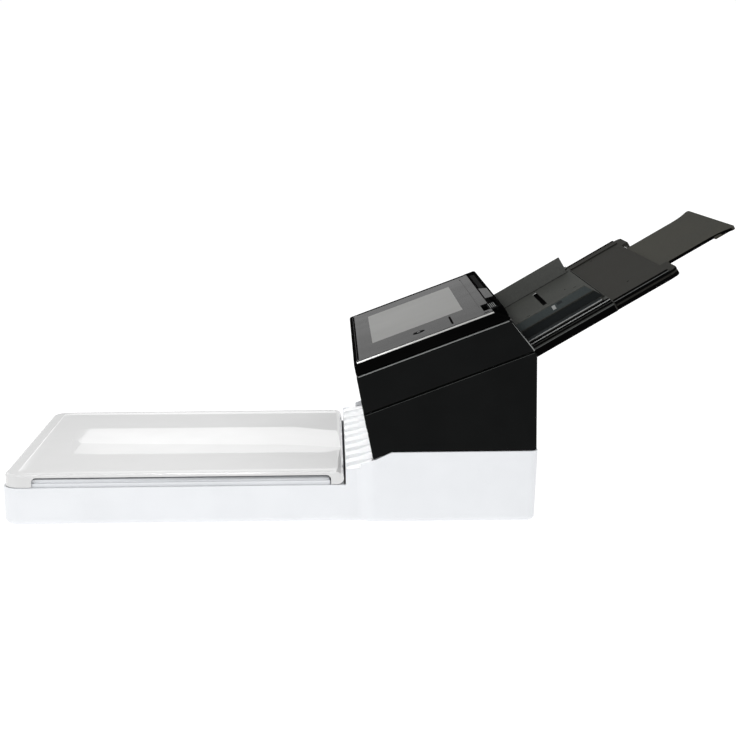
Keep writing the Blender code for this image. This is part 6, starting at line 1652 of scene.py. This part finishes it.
@dataclass
class InputTray:
    """Sloping paper tray with its side guides and racks."""

    half: float = 0.150
    top: float = 0.0112
    start: float = -0.040
    end: float = 0.088
    edge_radius: float = 0.003
    line_drop: float = 0.0034
    wall_foot: float = 0.0003
    ridge_x: float = 0.1380
    ridge_height: float = 0.0008
    slot: tuple[Point, Point] = ((-0.0300, 0.0344), (-0.0080, 0.0396))
    slot_depth: float = 0.0006
    marks: tuple[Mark, ...] = (
        (-0.010, 0.0745, 0.0010, 0.0040),
        (-0.026, 0.0650, 0.0030, 0.0012),
        (0.002, 0.0140, 0.0012, 0.0044),
    )
    tongue_tip: float = 0.0958
    guide_face: float = 0.1082
    guide_bottom: float = 0.0115
    guide_height: float = 0.0203
    guide_start: float = -0.030
    guide_slope: Point = (-0.012, 0.54)
    guide_section: tuple[Point, ...] = ((0, 0), (0, 1.0), (0.0026, 1.0), (0.0062, 0.56), (0.0036, 0.5), (0.0030, 0.0))
    flange_edge: float = 0.1257
    flange_top: float = 0.0131

    def tray(self) -> None:
        """The tray's floor with its rim, painted shade on its walls, edges, slot floor, end line and moulded marks,
        and painted highlights on its ridges and wall lines.
        """
        top, half, start, end = self.top, self.half, self.start + 0.002, self.end - 0.0006
        (x0, s0), (x1, s1) = self.slot
        slot = block((x0, s0, top - self.slot_depth), (x1, s1, top + 0.002))
        shape = combine(TRAY_SLOPE.copy_of("input_tray"), Join.CUT, slot)
        TRAY_SLOPE.fit("input_tray_moulded", shape, TRAY_ABS, Body.CHASSIS, ("input_tray",))
        # Painted shade: near-black strips over the side walls, rounded edge and deck, the slot's floor, the tray's
        # end line and its marks
        wall = skirt([(half, start), (half, end)], self.wall_foot, top - self.edge_radius)
        sink = self.edge_radius * ROUND_SHARE
        corner = lip([(half - sink, y, top - sink) for y in (start, end)], (1, 0, 1), 2.4, 0.06, 0.3)
        deck = block((self.flange_edge + 0.0005, start, top - EMBED), (half - self.edge_radius, end, top + PROUD))
        darks = [both_sides(wall, corner, deck)]
        darks.append(
            block((x0 + 0.0021, s0, top - self.slot_depth - 0.0001), (x1, s1, top - self.slot_depth + FLUSH))
        )
        darks.append(block((-self.guide_face, end - 0.0008, top - EMBED), (self.guide_face, end, top + FLUSH)))
        darks += [pad(mark, top - EMBED, top + PROUD) for mark in self.marks]
        TRAY_SLOPE.fit("tray_painted_shade", joined(*darks), DEEP_BLACK_AND_PAINTED_SHADE_ABS, Body.CHASSIS)
        # Painted highlights: bright grey ridges along the rim and dim grey lines on the walls
        ridge = block((self.ridge_x - 0.0005, start, top - EMBED), (self.ridge_x, end, top + self.ridge_height))
        TRAY_SLOPE.fit("tray_ridges", both_sides(ridge), PAINTED_BRIGHT_HIGHLIGHT_ABS, Body.CHASSIS)
        line = lip([(half, y, top - self.line_drop) for y in (start, end)], (1, 0, 0), 0.6)
        TRAY_SLOPE.fit("tray_wall_lines", both_sides(line), PAINTED_DIM_HIGHLIGHT_ABS, Body.CHASSIS)

    def on_wall(self, side: int, out: float, along: float, share: float) -> Place:
        """A point on a guide: distance out from its inner face, along the tray, and share of its height."""
        return side * (self.guide_face + out), along, self.guide_bottom + self.guide_height * share

    def wall(self, side: int, foot: float, crown: float) -> Mesh:
        """A guide's wedge-shaped wall with its sloped front.

        Args:
            side: 1 for the right guide, -1 for the left.
            foot: Where its rear end stands on the tray.
            crown: Where its rear end reaches its top.

        Returns:
            The wall's mesh.
        """
        front = [self.on_wall(side, out, self.guide_start, share) for out, share in self.guide_section]
        rear = [self.on_wall(side, out, foot + (crown - foot) * share, share) for out, share in self.guide_section]
        start, (end, low) = self.guide_start, self.guide_slope
        outline = ((start - 0.01, low), (start, low), (end, 1.0), (end, 1.3), (start - 0.01, 1.3))
        slope = loft([[self.on_wall(side, out, s, share) for s, share in outline] for out in (-0.003, 0.010)])
        return round_edges(combine(loft([front, rear]), Join.CUT, slope), 0.5, 2)

    def tongue(self, node: str, body: Body) -> None:
        """Covers the long slot's outer end with a thin tongue on the guide's stem, which passes over the pinion.

        Args:
            node: The CAD node of the guide on the long slot's side.
            body: The body that it moves with.
        """
        tip, low, high = self.tongue_tip, self.top - self.slot_depth + 0.0001, self.top - 0.0001
        s0, s1 = self.slot[0][1] + 0.0002, self.slot[1][1] - 0.0002
        cover = block((-self.guide_face - 0.0008, s0, low), (-tip, s1, high))
        TRAY_SLOPE.fit(f"{node}_slot_tongue", cover, TRAY_ABS, body)
        # Painted highlight: the tongue's end in bright grey
        end = block((-tip, s0, low), (-tip + 0.0016, s1, high))
        TRAY_SLOPE.fit(f"{node}_tongue_end", end, PAINTED_BRIGHT_HIGHLIGHT_ABS, body)

    def guide(self, side: int, body: Body, node: str, foot: float, crown: float) -> None:
        """One paper guide: its wall, its foot flange and its rack, with bands of painted light, painted shade and
        painted highlight.

        Args:
            side: 1 for the right guide, -1 for the left.
            body: The body that it slides with.
            node: Its CAD node.
            foot: Where the wall's rear end stands on the tray.
            crown: Where the wall's rear end reaches its top.
        """
        x0, x1 = sorted((side * (self.guide_face - 0.001), side * (self.guide_face + 0.0032)))
        stem_side = block((x0, -0.05, self.guide_bottom + 0.0017), (x1, 0.1, 0.05))
        base = combine(TRAY_SLOPE.copy_of(node), Join.CUT, stem_side)
        level = self.guide_bottom - 0.0001
        below = block((-0.2, -0.1, -0.05), (0.2, 0.2, level))
        above = block((-0.2, -0.1, level), (0.2, 0.2, 0.05))
        rack = combine(base.copy(), Join.CUT, above)
        flange = combine(base, Join.CUT, below)
        TRAY_SLOPE.fit(f"{node}_moulded", joined(self.wall(side, foot, crown), flange), TRAY_ABS, body, (node,))
        # The rack under the tray wears the near-black as painted shade
        TRAY_SLOPE.fit(f"{node}_rack", rack, DEEP_BLACK_AND_PAINTED_SHADE_ABS, body)
        if side < 0:
            self.tongue(node, body)
        run = crown - foot
        start, end = self.guide_start + 0.001, foot - 0.0006
        # Painted light: a paler plate on the guide's inner face
        inner = [
            (start, 0.03), (end + run * 0.03, 0.03), (end + run * 0.97, 0.97), (self.guide_slope[0] + 0.0006, 0.97),
            (start, 0.53)
        ]
        light_paint = plate([self.on_wall(side, 0, s, share) for s, share in inner], (-side, 0, 0), 0.05)
        TRAY_SLOPE.fit(f"{node}_worn_face", light_paint, GUIDE_FACE_PAINTED_LIGHT_ABS, body)
        # Painted light: a paler plate on the guide's slanted outer side
        slant = math.atan2(0.0036, self.guide_height * 0.44)
        facing = (side * math.cos(slant), 0, math.sin(slant))
        band = [
            (0.0030, -0.0110, 0.955), (0.0058, -0.0110, 0.61), (0.0058, end + run * 0.61, 0.61),
            (0.0030, end + run * 0.955, 0.955)
        ]
        light_paint = plate([self.on_wall(side, *place) for place in band], facing, 0.05)
        TRAY_SLOPE.fit(f"{node}_worn_band", light_paint, GUIDE_BAND_PAINTED_LIGHT_ABS, body)
        # Painted shade: charcoal plates on the lower outer side, the flange's top and a notch
        shade = [
            (0.0031, start, 0.09), (0.0036, start, 0.48), (0.0036, end + run * 0.48, 0.48),
            (0.0031, end + run * 0.09, 0.09)
        ]
        darks = [plate([self.on_wall(side, *place) for place in shade], (side, 0, 0), 0.06)]
        x0, x1 = sorted((side * (self.guide_face + 0.0052), side * (self.flange_edge - 0.0008)))
        darks.append(block((x0, start + 0.001, self.flange_top - EMBED), (x1, 0.0815, self.flange_top + 0.00005)))
        notch = [(0.0032, 0.0405, 0.93), (0.0042, 0.0405, 0.80), (0.0042, 0.0465, 0.80), (0.0032, 0.0465, 0.93)]
        darks.append(plate([self.on_wall(side, *place) for place in notch], facing, 0.1))
        TRAY_SLOPE.fit(f"{node}_painted_shade_bands", joined(*darks), PAINTED_SHADE_GUIDE_ABS, body)
        # Painted highlights: a grey clip plate, a bright ridge along the flange and a dim line along the crown
        clip = [(0.0034, 0.0345, 0.90), (0.0050, 0.0345, 0.70), (0.0050, 0.0382, 0.70), (0.0034, 0.0382, 0.90)]
        clip = plate([self.on_wall(side, *place) for place in clip], facing, 0.3)
        TRAY_SLOPE.fit(f"{node}_clip", clip, PAINTED_HIGHLIGHT_ABS, body)
        x0, x1 = sorted((side * (self.flange_edge - 0.0005), side * (self.flange_edge + 0.00012)))
        ridge = block((x0, start + 0.001, self.flange_top - 0.0008), (x1, 0.0815, self.flange_top + 0.0001))
        TRAY_SLOPE.fit(f"{node}_ridge", ridge, PAINTED_BRIGHT_HIGHLIGHT_ABS, body)
        edge = [self.on_wall(side, 0.0023, s, 0.985) for s in (-0.011, crown - 0.002)]
        TRAY_SLOPE.fit(f"{node}_crown_line", lip(edge, (side, 0, 1), 0.5, 0.1, 0.5), PAINTED_DIM_HIGHLIGHT_ABS, body)

    def build(self) -> None:
        """Makes the tray, both guides and the pinion between their racks."""
        self.tray()
        self.guide(1, Body.RIGHT_GUIDE, "paper_guide_right", 0.0875, 0.0740)
        self.guide(-1, Body.LEFT_GUIDE, "paper_guide_left", 0.0830, 0.0830)
        soften("guide_pinion", NYLON, Body.RACK_PINION, 0.1)


@dataclass
class TrayExtensions:
    """Wide extension with painted shade on its side walls, and the narrow flared one that slides in it."""

    half: float = 0.1481
    top: float = 0.0084
    start: float = 0.0890
    end: float = 0.1603
    corner: float = 0.009
    rim_top: float = 0.0099
    deck: float = 0.1400
    groove: Point = (0.0040, 0.0060)
    rounding_mm: float = 0.7
    tip_half: float = 0.088
    tip_flare: float = 0.011
    tip_span: Point = (0.164, 0.238)
    tip_flare_length: float = 0.024
    tip_corner: float = 0.004
    tip_level: Point = (0.0015, 0.0045)
    marks: tuple[Mark, ...] = ((-0.110, 0.114, 0.0030, 0.0014), (0.091, 0.117, 0.0020, 0.0026))

    def inner(self) -> None:
        """The wide extension: painted shade on the walls round its corners, a thin painted highlight line on them,
        and two moulded marks painted near-black as shade.
        """
        soften("tray_extension_inner", EXTENSION_ABS, Body.INNER_EXTENSION, self.rounding_mm, 3)
        bend = arc((self.half - self.corner, self.end - self.corner), self.corner, 0, 80, 8)
        path = [(self.half, self.start), *bend]
        low, high = self.groove
        straight = [(self.half, self.start), (self.half, self.end - self.corner - 0.0004)]
        deck = block(
            (self.deck, self.start, self.rim_top - EMBED), (self.half - 0.0006, straight[1][1], self.rim_top + PROUD)
        )
        # Painted shade: near-black strips on the side walls and rim deck, a lining strip and the marks
        darks = both_sides(
            skirt(path, 0.0004, low), skirt(path, high, self.top - 0.0003),
            skirt(straight, self.top - 0.0003, self.rim_top - 0.0009), deck
        )
        lining = block((-0.113, 0.0322, self.top - EMBED), (0.113, 0.0420, self.top + FLUSH))
        marks = [pad(mark, self.top - 0.0003, self.top + PROUD) for mark in self.marks]
        TRAY_SLOPE.fit(
            "extension_inner_painted_shade", joined(darks, lining, *marks), DEEP_BLACK_AND_PAINTED_SHADE_ABS, Body.INNER_EXTENSION
        )
        # Painted highlight: a thin pale line along the walls
        line = skirt(straight, self.rim_top - 0.0009, self.rim_top - 0.0003, 0.1)
        TRAY_SLOPE.fit("extension_inner_wall_lines", both_sides(line), PAINTED_DIM_HIGHLIGHT_ABS, Body.INNER_EXTENSION)

    def outer(self) -> None:
        """The narrow extension with its flared end and painted shade along its edges."""
        soften("tray_extension_outer", EXTENSION_TIP_ABS, Body.OUTER_EXTENSION, self.rounding_mm, 3)
        start, end = self.tip_span
        path = [(self.tip_half, start)]
        run = self.tip_flare_length - self.tip_corner
        for share in (0.0, 0.35, 0.65, 0.85, 1.0):
            out = self.tip_half + self.tip_flare * share * share
            path.append((out, end - self.tip_flare_length + run * share))
        # Painted shade: near-black strips along the flared edges
        TRAY_SLOPE.fit(
            "extension_outer_painted_shade", both_sides(skirt(path, *self.tip_level)), DEEP_BLACK_AND_PAINTED_SHADE_ABS,
            Body.OUTER_EXTENSION
        )

    def build(self) -> None:
        """Makes both extensions."""
        self.inner()
        self.outer()


@dataclass
class FeedPath:
    """Paper guides, image sensors and side frames inside the head."""

    floor: float = 0.0109
    rib_height: float = 0.0005
    rib_width: float = 0.0014
    rib_step: float = 0.0085
    rib_span: Point = (-0.0870, -0.0420)
    sensor_s: float = -0.101
    window_half: Point = (0.106, 0.0035)

    def guides(self) -> None:
        """The two guide plates with rows of low ribs that carry the sheet, and the guide behind the head's front."""
        rows = []
        for side in (-1, 1):
            x = side * 0.0870
            rib = block(
                (x - self.rib_width / 2, self.rib_span[0], self.floor - 0.0004),
                (x + self.rib_width / 2, self.rib_span[1], self.floor + self.rib_height)
            )
            rows.append(repeat(rib, INNER_ABS, 4, (side * self.rib_step, 0, 0)))
        TRAY_SLOPE.fit("lower_guide_ribs", joined(*rows), INNER_ABS, Body.CHASSIS)
        soften("lower_paper_guide", INNER_ABS, Body.CHASSIS, 0.3)
        soften("upper_paper_guide", INNER_ABS, Body.COVER, 0.3)
        soften("front_inner_guide", INNER_ABS, Body.CHASSIS, 0.3)

    def sensors(self) -> None:
        """Each image sensor: a black case with a glass window and its light bar."""
        x, s = self.window_half
        for name, body, n, out in (
            ("lower_scan_bar", Body.CHASSIS, 0.0106, 1), ("upper_scan_bar", Body.COVER, 0.0157, -1)
        ):
            soften(name, SENSOR_CASE, body, 0.3)
            low, high = sorted((n - out * 0.0003, n + out * 0.00012))
            glass = block((-x, self.sensor_s - s, low), (x, self.sensor_s + s, high))
            TRAY_SLOPE.fit(f"{name}_window", glass, SENSOR_GLASS, body)
            light = block((-x, self.sensor_s + s + 0.0012, low), (x, self.sensor_s + s + 0.0028, high))
            TRAY_SLOPE.fit(f"{name}_light_bar", light, LIGHT_GUIDE, body)

    def frames(self) -> None:
        """Zinc-plated side plates with pressed edges, and the screws that hold them."""
        for side in ("left", "right"):
            soften(f"side_frame_{side}", ZINC_STEEL, Body.CHASSIS, 0.2)
        heads = turn_about(screws([(0.0, 0.0, 0.0)], 2.4), Axis.Y, math.pi / 2)
        low, high = corners("side_frame_right")
        bmesh.ops.translate(heads, vec=(high.x, low.y + 0.012, low.z + 0.012), verts=heads.verts)
        run = (high.y - low.y - 0.024) / 2
        settle("side_frame_screws", repeat(heads, ZINC_STEEL, 3, (0, run, 0)), ZINC_STEEL, Body.CHASSIS)

    def build(self) -> None:
        """Makes the guides, the sensors and the frames."""
        self.guides()
        self.sensors()
        self.frames()


@dataclass
class Roller:
    """A steel shaft with ground rubber tyres. Every tyre has rounded shoulders and fine grooves."""

    name: str
    body: Body
    centre: Point
    reach: tuple[float, float]
    tyres: tuple[float, ...]
    tyre_width: float
    radius: float
    shaft: float = 0.003
    shoulder: float = 0.0008
    groove_pitch: float = 0.002
    groove_depth: float = 0.0002

    def tyre(self, middle: float) -> Mesh:
        """One tyre round the shaft."""
        low, high = middle - self.tyre_width / 2, middle + self.tyre_width / 2
        soft, radius = self.shoulder, self.radius
        profile = [
            (low, self.shaft), (low, radius - soft), (low + soft * 0.3, radius - soft * 0.3), (low + soft, radius)
        ]
        count = int((self.tyre_width - soft * 4) / self.groove_pitch)
        first = middle - count * self.groove_pitch / 2
        for i in range(count + 1):
            x, half = first + i * self.groove_pitch, self.groove_pitch * 0.14
            deep = radius - self.groove_depth
            profile += [(x - half, radius), (x - half * 0.6, deep), (x + half * 0.6, deep), (x + half, radius)]
        profile += [
            (high - soft, radius), (high - soft * 0.3, radius - soft * 0.3), (high, radius - soft), (high, self.shaft)
        ]
        return turned(profile, self.centre, 64)

    def build(self) -> None:
        """Makes the tyres and the shaft."""
        tyres = joined(*(self.tyre(middle) for middle in self.tyres))
        TRAY_SLOPE.fit(f"{self.name}_tyres", tyres, TYRE_RUBBER, self.body, (self.name,))
        (left, right), bevel = self.reach, 0.0004
        profile = [
            (left, self.shaft - bevel), (left + bevel, self.shaft), (right - bevel, self.shaft),
            (right, self.shaft - bevel)
        ]
        TRAY_SLOPE.fit(f"{self.name}_shaft", turned(profile, self.centre, 32), GROUND_STEEL, self.body)


ROLLERS = (
    Roller("pick_roller", Body.PICK, (-0.053, 0.0017), (-0.1273, 0.1195), (0.0,), 0.050, 0.010),
    Roller("feed_roller", Body.FEED, (-0.074, 0.0017), (-0.1273, 0.1195), (-0.060, 0.0, 0.060), 0.030, 0.010),
    Roller(
        "eject_roller", Body.EJECT, (-0.125, 0.0037), (-0.1273, 0.1195), (-0.075, -0.025, 0.025, 0.075), 0.016, 0.008
    ),
    Roller("separation_roller", Body.SEPARATION, (-0.074, 0.0211), (-0.030, 0.030), (0.0,), 0.036, 0.009),
    Roller(
        "eject_pinch_roller", Body.PINCH, (-0.125, 0.0181), (-0.105, 0.105), (-0.075, -0.025, 0.025, 0.075), 0.016,
        0.006
    ),
)


@dataclass
class GearTrain:
    """Nylon gears on the left side frame, with hubs and lightened webs, and the motor that turns them."""

    face: float = -0.127
    hub_height: float = 0.0014
    hub_wall: float = 0.0022
    gears: tuple[tuple[str, Body, float, float], ...] = (
        ("pick_gear", Body.PICK, 0.0033, 0.009),
        ("feed_gear", Body.FEED, 0.0033, 0.009),
        ("eject_gear", Body.EJECT, 0.0033, 0.007),
        ("small_idler_gear", Body.SMALL_IDLER, 0.0028, 0.008),
        ("large_idler_gear", Body.LARGE_IDLER, 0.0028, 0.022),
    )

    def gear(self, name: str, body: Body, bore: float, pitch_radius: float) -> None:
        """One gear with its hub and its sunk web.

        Args:
            name: Its CAD node.
            body: The body that it turns with.
            bore: Radius of its hole.
            pitch_radius: Radius of its pitch circle.
        """
        low, high = corners(name)
        middle = ((low.y + high.y) / 2, (low.z + high.z) / 2)
        hub = bore + self.hub_wall
        shape = node_copy(name)
        rim = pitch_radius - 0.0028
        if rim - hub > 0.0012:
            cutter = turned([(self.face - 0.002, rim), (self.face + 0.0018, rim - 0.0003)], middle, 48)
            core = turned([(self.face - PAST, hub), (self.face + PAST, hub + 0.0003)], middle, 32)
            shape = combine(shape, Join.CUT, combine(cutter, Join.CUT, core))
        end = self.face - self.hub_height
        collar = turned([(end, hub - 0.0004), (end + 0.0003, hub), (self.face + 0.0004, hub)], middle, 32)
        hole = turned([(self.face - PAST, bore), (self.face + 0.001, bore)], middle, 32)
        shape = combine(shape, Join.ADD, combine(collar, Join.CUT, hole))
        settle(f"{name}_hubbed", shape, NYLON, body, (name,), smooth_angle=30)

    def motor(self) -> None:
        """The feed motor: a drawn can with a rolled end and two terminals."""
        low, high = corners("feed_motor")
        middle = ((low.y + high.y) / 2, (low.z + high.z) / 2)
        radius = (high.y - low.y) / 2
        x0, x1 = low.x, high.x
        profile = [
            (x0, radius - 0.0012), (x0 + 0.0006, radius - 0.0002), (x0 + 0.0012, radius), (x1 - 0.006, radius),
            (x1 - 0.0056, radius - 0.0004)
        ]
        profile += [
            (x1 - 0.0052, radius - 0.0004), (x1 - 0.0048, radius), (x1 - 0.0016, radius),
            (x1 - 0.0004, radius - 0.0006), (x1, radius - 0.002)
        ]
        settle("feed_motor_can", turned(profile, middle, 64), ZINC_STEEL, Body.CHASSIS, ("feed_motor",))
        tab = block(
            (x1 - 0.0002, middle[0] + 0.004, middle[1] - 0.0012),
            (x1 + 0.0045, middle[0] + 0.0045, middle[1] + 0.0012)
        )
        settle("feed_motor_terminals", repeat(tab, NICKEL, 2, (0, -0.0085, 0)), NICKEL, Body.CHASSIS)

    def build(self) -> None:
        """Makes the gears, the pinion and the motor."""
        for row in self.gears:
            self.gear(*row)
        soften("motor_pinion", NYLON, Body.PINION, 0.1)
        self.motor()


@dataclass
class ScanDrive:
    """Scan carriage on its rod, pulled by a toothed belt."""

    belt_x: float = 0.060
    belt_ends: Point = (0.013, 0.3345)
    belt_bottom: float = 0.0115
    belt_height: float = 0.005
    inner_radius: float = 0.0058
    tooth: Place = (0.0011, 0.0004, 0.0042)
    pitch: float = 0.00203
    flange: float = 0.0072
    disc: tuple[Point, ...] = ((0.0001, 0.0003), (0.0003, 0), (0.0006, 0), (0.0008, 0.0003))
    window_half: Point = (0.106, 0.0042)

    def belt(self) -> None:
        """The belt with its teeth, and both flanged pulleys."""
        dress_node("carriage_belt", BELT_RUBBER)
        radius = self.inner_radius - self.tooth[1] / 2 + 0.00005
        z = self.belt_bottom + self.belt_height / 2
        path = arc((self.belt_x, self.belt_ends[0]), radius, 180, 360, 24)
        path += arc((self.belt_x, self.belt_ends[1]), radius, 0, 180, 24)
        teeth = along_path([(x, y, z) for x, y in path], self.tooth, self.pitch, BELT_RUBBER)
        MACHINE.fit("carriage_belt_teeth", teeth, BELT_RUBBER, Body.CHASSIS)
        top = self.belt_bottom + self.belt_height
        for name, body, y, bore in (
            ("belt_idler_pulley", Body.IDLER_PULLEY, 0, 0.0023), ("belt_drive_pulley", Body.DRIVE_PULLEY, 1, 0.0021)
        ):
            place = (self.belt_x, self.belt_ends[y])
            settle(f"{name}_toothed", node_copy(name), NYLON, body, (name,))
            disc = turned([(top + rise, self.flange - inset) for rise, inset in self.disc], place, 48, Axis.Z)
            hole = turned([(top - 0.001, bore), (top + 0.002, bore)], place, 24, Axis.Z)
            disc = combine(disc, Join.CUT, hole)
            MACHINE.fit(f"{name}_flange", disc, NYLON, body)

    def motor(self) -> None:
        """The belt's motor: a drawn can with a rolled end."""
        low, high = corners("belt_motor")
        middle, radius = ((low.x + high.x) / 2, (low.y + high.y) / 2), (high.x - low.x) / 2
        foot = [(low.z, 0.9), (low.z + 0.0008, 1.0)]
        rolled = [(0.005, 1.0), (0.0046, 0.965), (0.0040, 0.965), (0.0036, 1.0), (0.001, 1.0), (0, 0.92)]
        stations = foot + [(high.z - drop, share) for drop, share in rolled]
        can = turned([(z, radius * share) for z, share in stations], middle, 48, Axis.Z)
        settle("belt_motor_can", can, ZINC_STEEL, Body.CHASSIS, ("belt_motor",))

    def carriage(self) -> None:
        """The carriage with ribs on its flanks, and the sensor with its window and light bar."""
        soften("scan_carriage", INNER_ABS, Body.CARRIAGE, 0.5)
        low, high = corners("scan_carriage")
        rib = block(
            (low.x + 0.004, high.y - 0.0002, low.z + 0.0105), (low.x + 0.0055, high.y + 0.0008, high.z - 0.001)
        )
        ribs = repeat(rib, INNER_ABS, 19, ((high.x - low.x - 0.0095) / 18, 0, 0), 2, (0, low.y - high.y - 0.0006, 0))
        settle("scan_carriage_ribs", ribs, INNER_ABS, Body.CARRIAGE)
        soften("carriage_sensor", SENSOR_CASE, Body.CARRIAGE, 0.4)
        low, high = corners("carriage_sensor")
        middle = (low.y + high.y) / 2
        x, y = self.window_half
        glass = block((-x, middle - y, high.z - 0.0003), (x, middle + y, high.z + 0.0001))
        settle("carriage_sensor_window", glass, SENSOR_GLASS, Body.CARRIAGE)
        light = block((-x, middle + y + 0.0012, high.z - 0.0003), (x, middle + y + 0.003, high.z + 0.0001))
        settle("carriage_sensor_light_bar", light, LIGHT_GUIDE, Body.CARRIAGE)

    def build(self) -> None:
        """Makes the rod, the belt, the motor and the carriage."""
        soften("carriage_rod", GROUND_STEEL, Body.CHASSIS, 0.5)
        self.belt()
        self.motor()
        self.carriage()


@dataclass
class Electrics:
    """Circuit board with its parts, the rear sockets and the rocker switch."""

    chips: tuple[tuple[Point, Point], ...] = (
        ((-0.062, 0.06), (0.028, 0.028)), ((0.012, 0.05), (0.034, 0.024)), ((0.07, 0.095), (0.018, 0.03)),
        ((-0.017, 0.115), (0.022, 0.012))
    )
    chip_height: float = 0.002
    lead: Place = (0.0005, 0.0012, 0.0004)
    lead_pitch: float = 0.0013
    can_radius: float = 0.0034
    can_height: float = 0.009
    contact: Place = (0.0006, 0.009, 0.0004)
    mark_half: float = 0.0015
    mark_stroke: float = 0.0002

    def board(self) -> None:
        """The board with chips and their leads, and a row of capacitors."""
        low, high = corners("circuit_board")
        top = high.z - self.chip_height
        plate = block((low.x, low.y, low.z), (high.x, high.y, top))
        settle("circuit_board_plate", round_edges(plate, 0.2), BOARD_GREEN, Body.CHASSIS, ("circuit_board",))
        packages, leads = [], []
        for (x, y), (wide, deep) in self.chips:
            y += low.y
            packages.append(round_edges(pad((x, y, wide, deep), top + 0.0002, high.z), 0.3, 1))
            count = int((wide - 0.003) / self.lead_pitch)
            lx, ly, lz = self.lead
            start = x - (count - 1) * self.lead_pitch / 2
            pin = block((start - lx / 2, y - deep / 2 - ly, top), (start + lx / 2, y - deep / 2 + 0.0003, top + lz))
            leads.append(repeat(pin, NICKEL, count, (self.lead_pitch, 0, 0), 2, (0, deep + ly - 0.0003, 0)))
        settle("board_chips", joined(*packages), INNER_ABS, Body.CHASSIS)
        settle("board_chip_leads", joined(*leads), NICKEL, Body.CHASSIS)
        profile = ((0, 1.0), (0.10, 1.0), (0.14, 0.9), (0.18, 1.0), (0.95, 1.0), (1.0, 0.9))
        stations = [(top + self.can_height * rise, self.can_radius * share) for rise, share in profile]
        can = turned(stations, (high.x - 0.020, low.y + 0.018), 24, Axis.Z)
        settle("board_capacitors", repeat(can, NICKEL, 4, (-0.0095, 0, 0)), NICKEL, Body.CHASSIS)

    def sockets(self) -> None:
        """The sockets' shells with their contacts."""
        soften("usb_socket", NICKEL, Body.CHASSIS, 0.2)
        soften("network_socket", NICKEL, Body.CHASSIS, 0.2)
        soften("power_inlet", INNER_ABS, Body.CHASSIS, 0.3)
        wide, deep, thick = self.contact
        for name, count, rise in (("usb_socket", 4, 0.52), ("network_socket", 8, 0.80)):
            low, high = corners(name)
            z = low.z + (high.z - low.z) * rise
            pitch = (high.x - low.x - 0.0056) / (count - 1)
            tongue = block((low.x + 0.0022, high.y - deep - 0.005, z), (high.x - 0.0022, high.y - 0.0022, z + 0.0014))
            settle(f"{name}_tongue", round_edges(tongue, 0.2), INNER_ABS, Body.CHASSIS)
            pin = block(
                (low.x + 0.0028 - wide / 2, high.y - deep - 0.004, z - thick),
                (low.x + 0.0028 + wide / 2, high.y - 0.0026, z + 0.0001)
            )
            settle(f"{name}_contacts", repeat(pin, NICKEL, count, (pitch, 0, 0)), NICKEL, Body.CHASSIS)

    def switch(self) -> None:
        """The rocker with its ON and OFF signs, a bar and a ring."""
        soften("power_switch", KEY_ABS, Body.SWITCH, 0.4)
        low, high = corners("power_switch")
        surface = BVHTree.FromBMesh(node_copy("power_switch"))
        size, stroke, ink = self.mark_half, self.mark_stroke, 0.05 * MM
        bar = block((-stroke, -size, -ink), (stroke, size, ink))
        ring = turned([(-ink, size), (ink, size)], (0, 0), 24, Axis.Z)
        inside = size - stroke * 2
        hole = turned([(-ink * 2, inside), (ink * 2, inside)], (0, 0), 24, Axis.Z)
        signs = []
        for sign, share in ((bar, 0.78), (combine(ring, Join.CUT, hole), 0.22)):
            eye = Vector(((low.x + high.x) / 2, high.y + 0.01, low.z + (high.z - low.z) * share))
            place, normal = surface.ray_cast(eye, Vector((0, -1, 0)))[:2]
            across = Vector((-1, 0, 0))
            turn = Matrix((across, normal.cross(across), normal)).transposed().to_4x4()
            bmesh.ops.transform(sign, matrix=Matrix.Translation(place) @ turn, verts=sign.verts)
            signs.append(sign)
        settle("power_switch_signs", joined(*signs), WHITE_INK, Body.SWITCH)

    def build(self) -> None:
        """Makes the board, the sockets and the switch."""
        self.board()
        self.sockets()
        self.switch()


def main() -> None:
    """Builds the studio and every sub-assembly in order."""
    logging.basicConfig(level=logging.INFO, format="%(name)s %(message)s")
    Studio().build()
    parts = (
        BaseCasing(), Flatbed(), FlatbedLid(), ExitRamp(), FeederHead(), ControlPanel(), InputTray(),
        TrayExtensions(), FeedPath()
    )
    for part in (*parts, *ROLLERS, GearTrain(), ScanDrive(), Electrics()):
        LOG.info("building %s", getattr(part, "name", type(part).__name__))
        part.build()


if __name__ == "__main__":
    main()
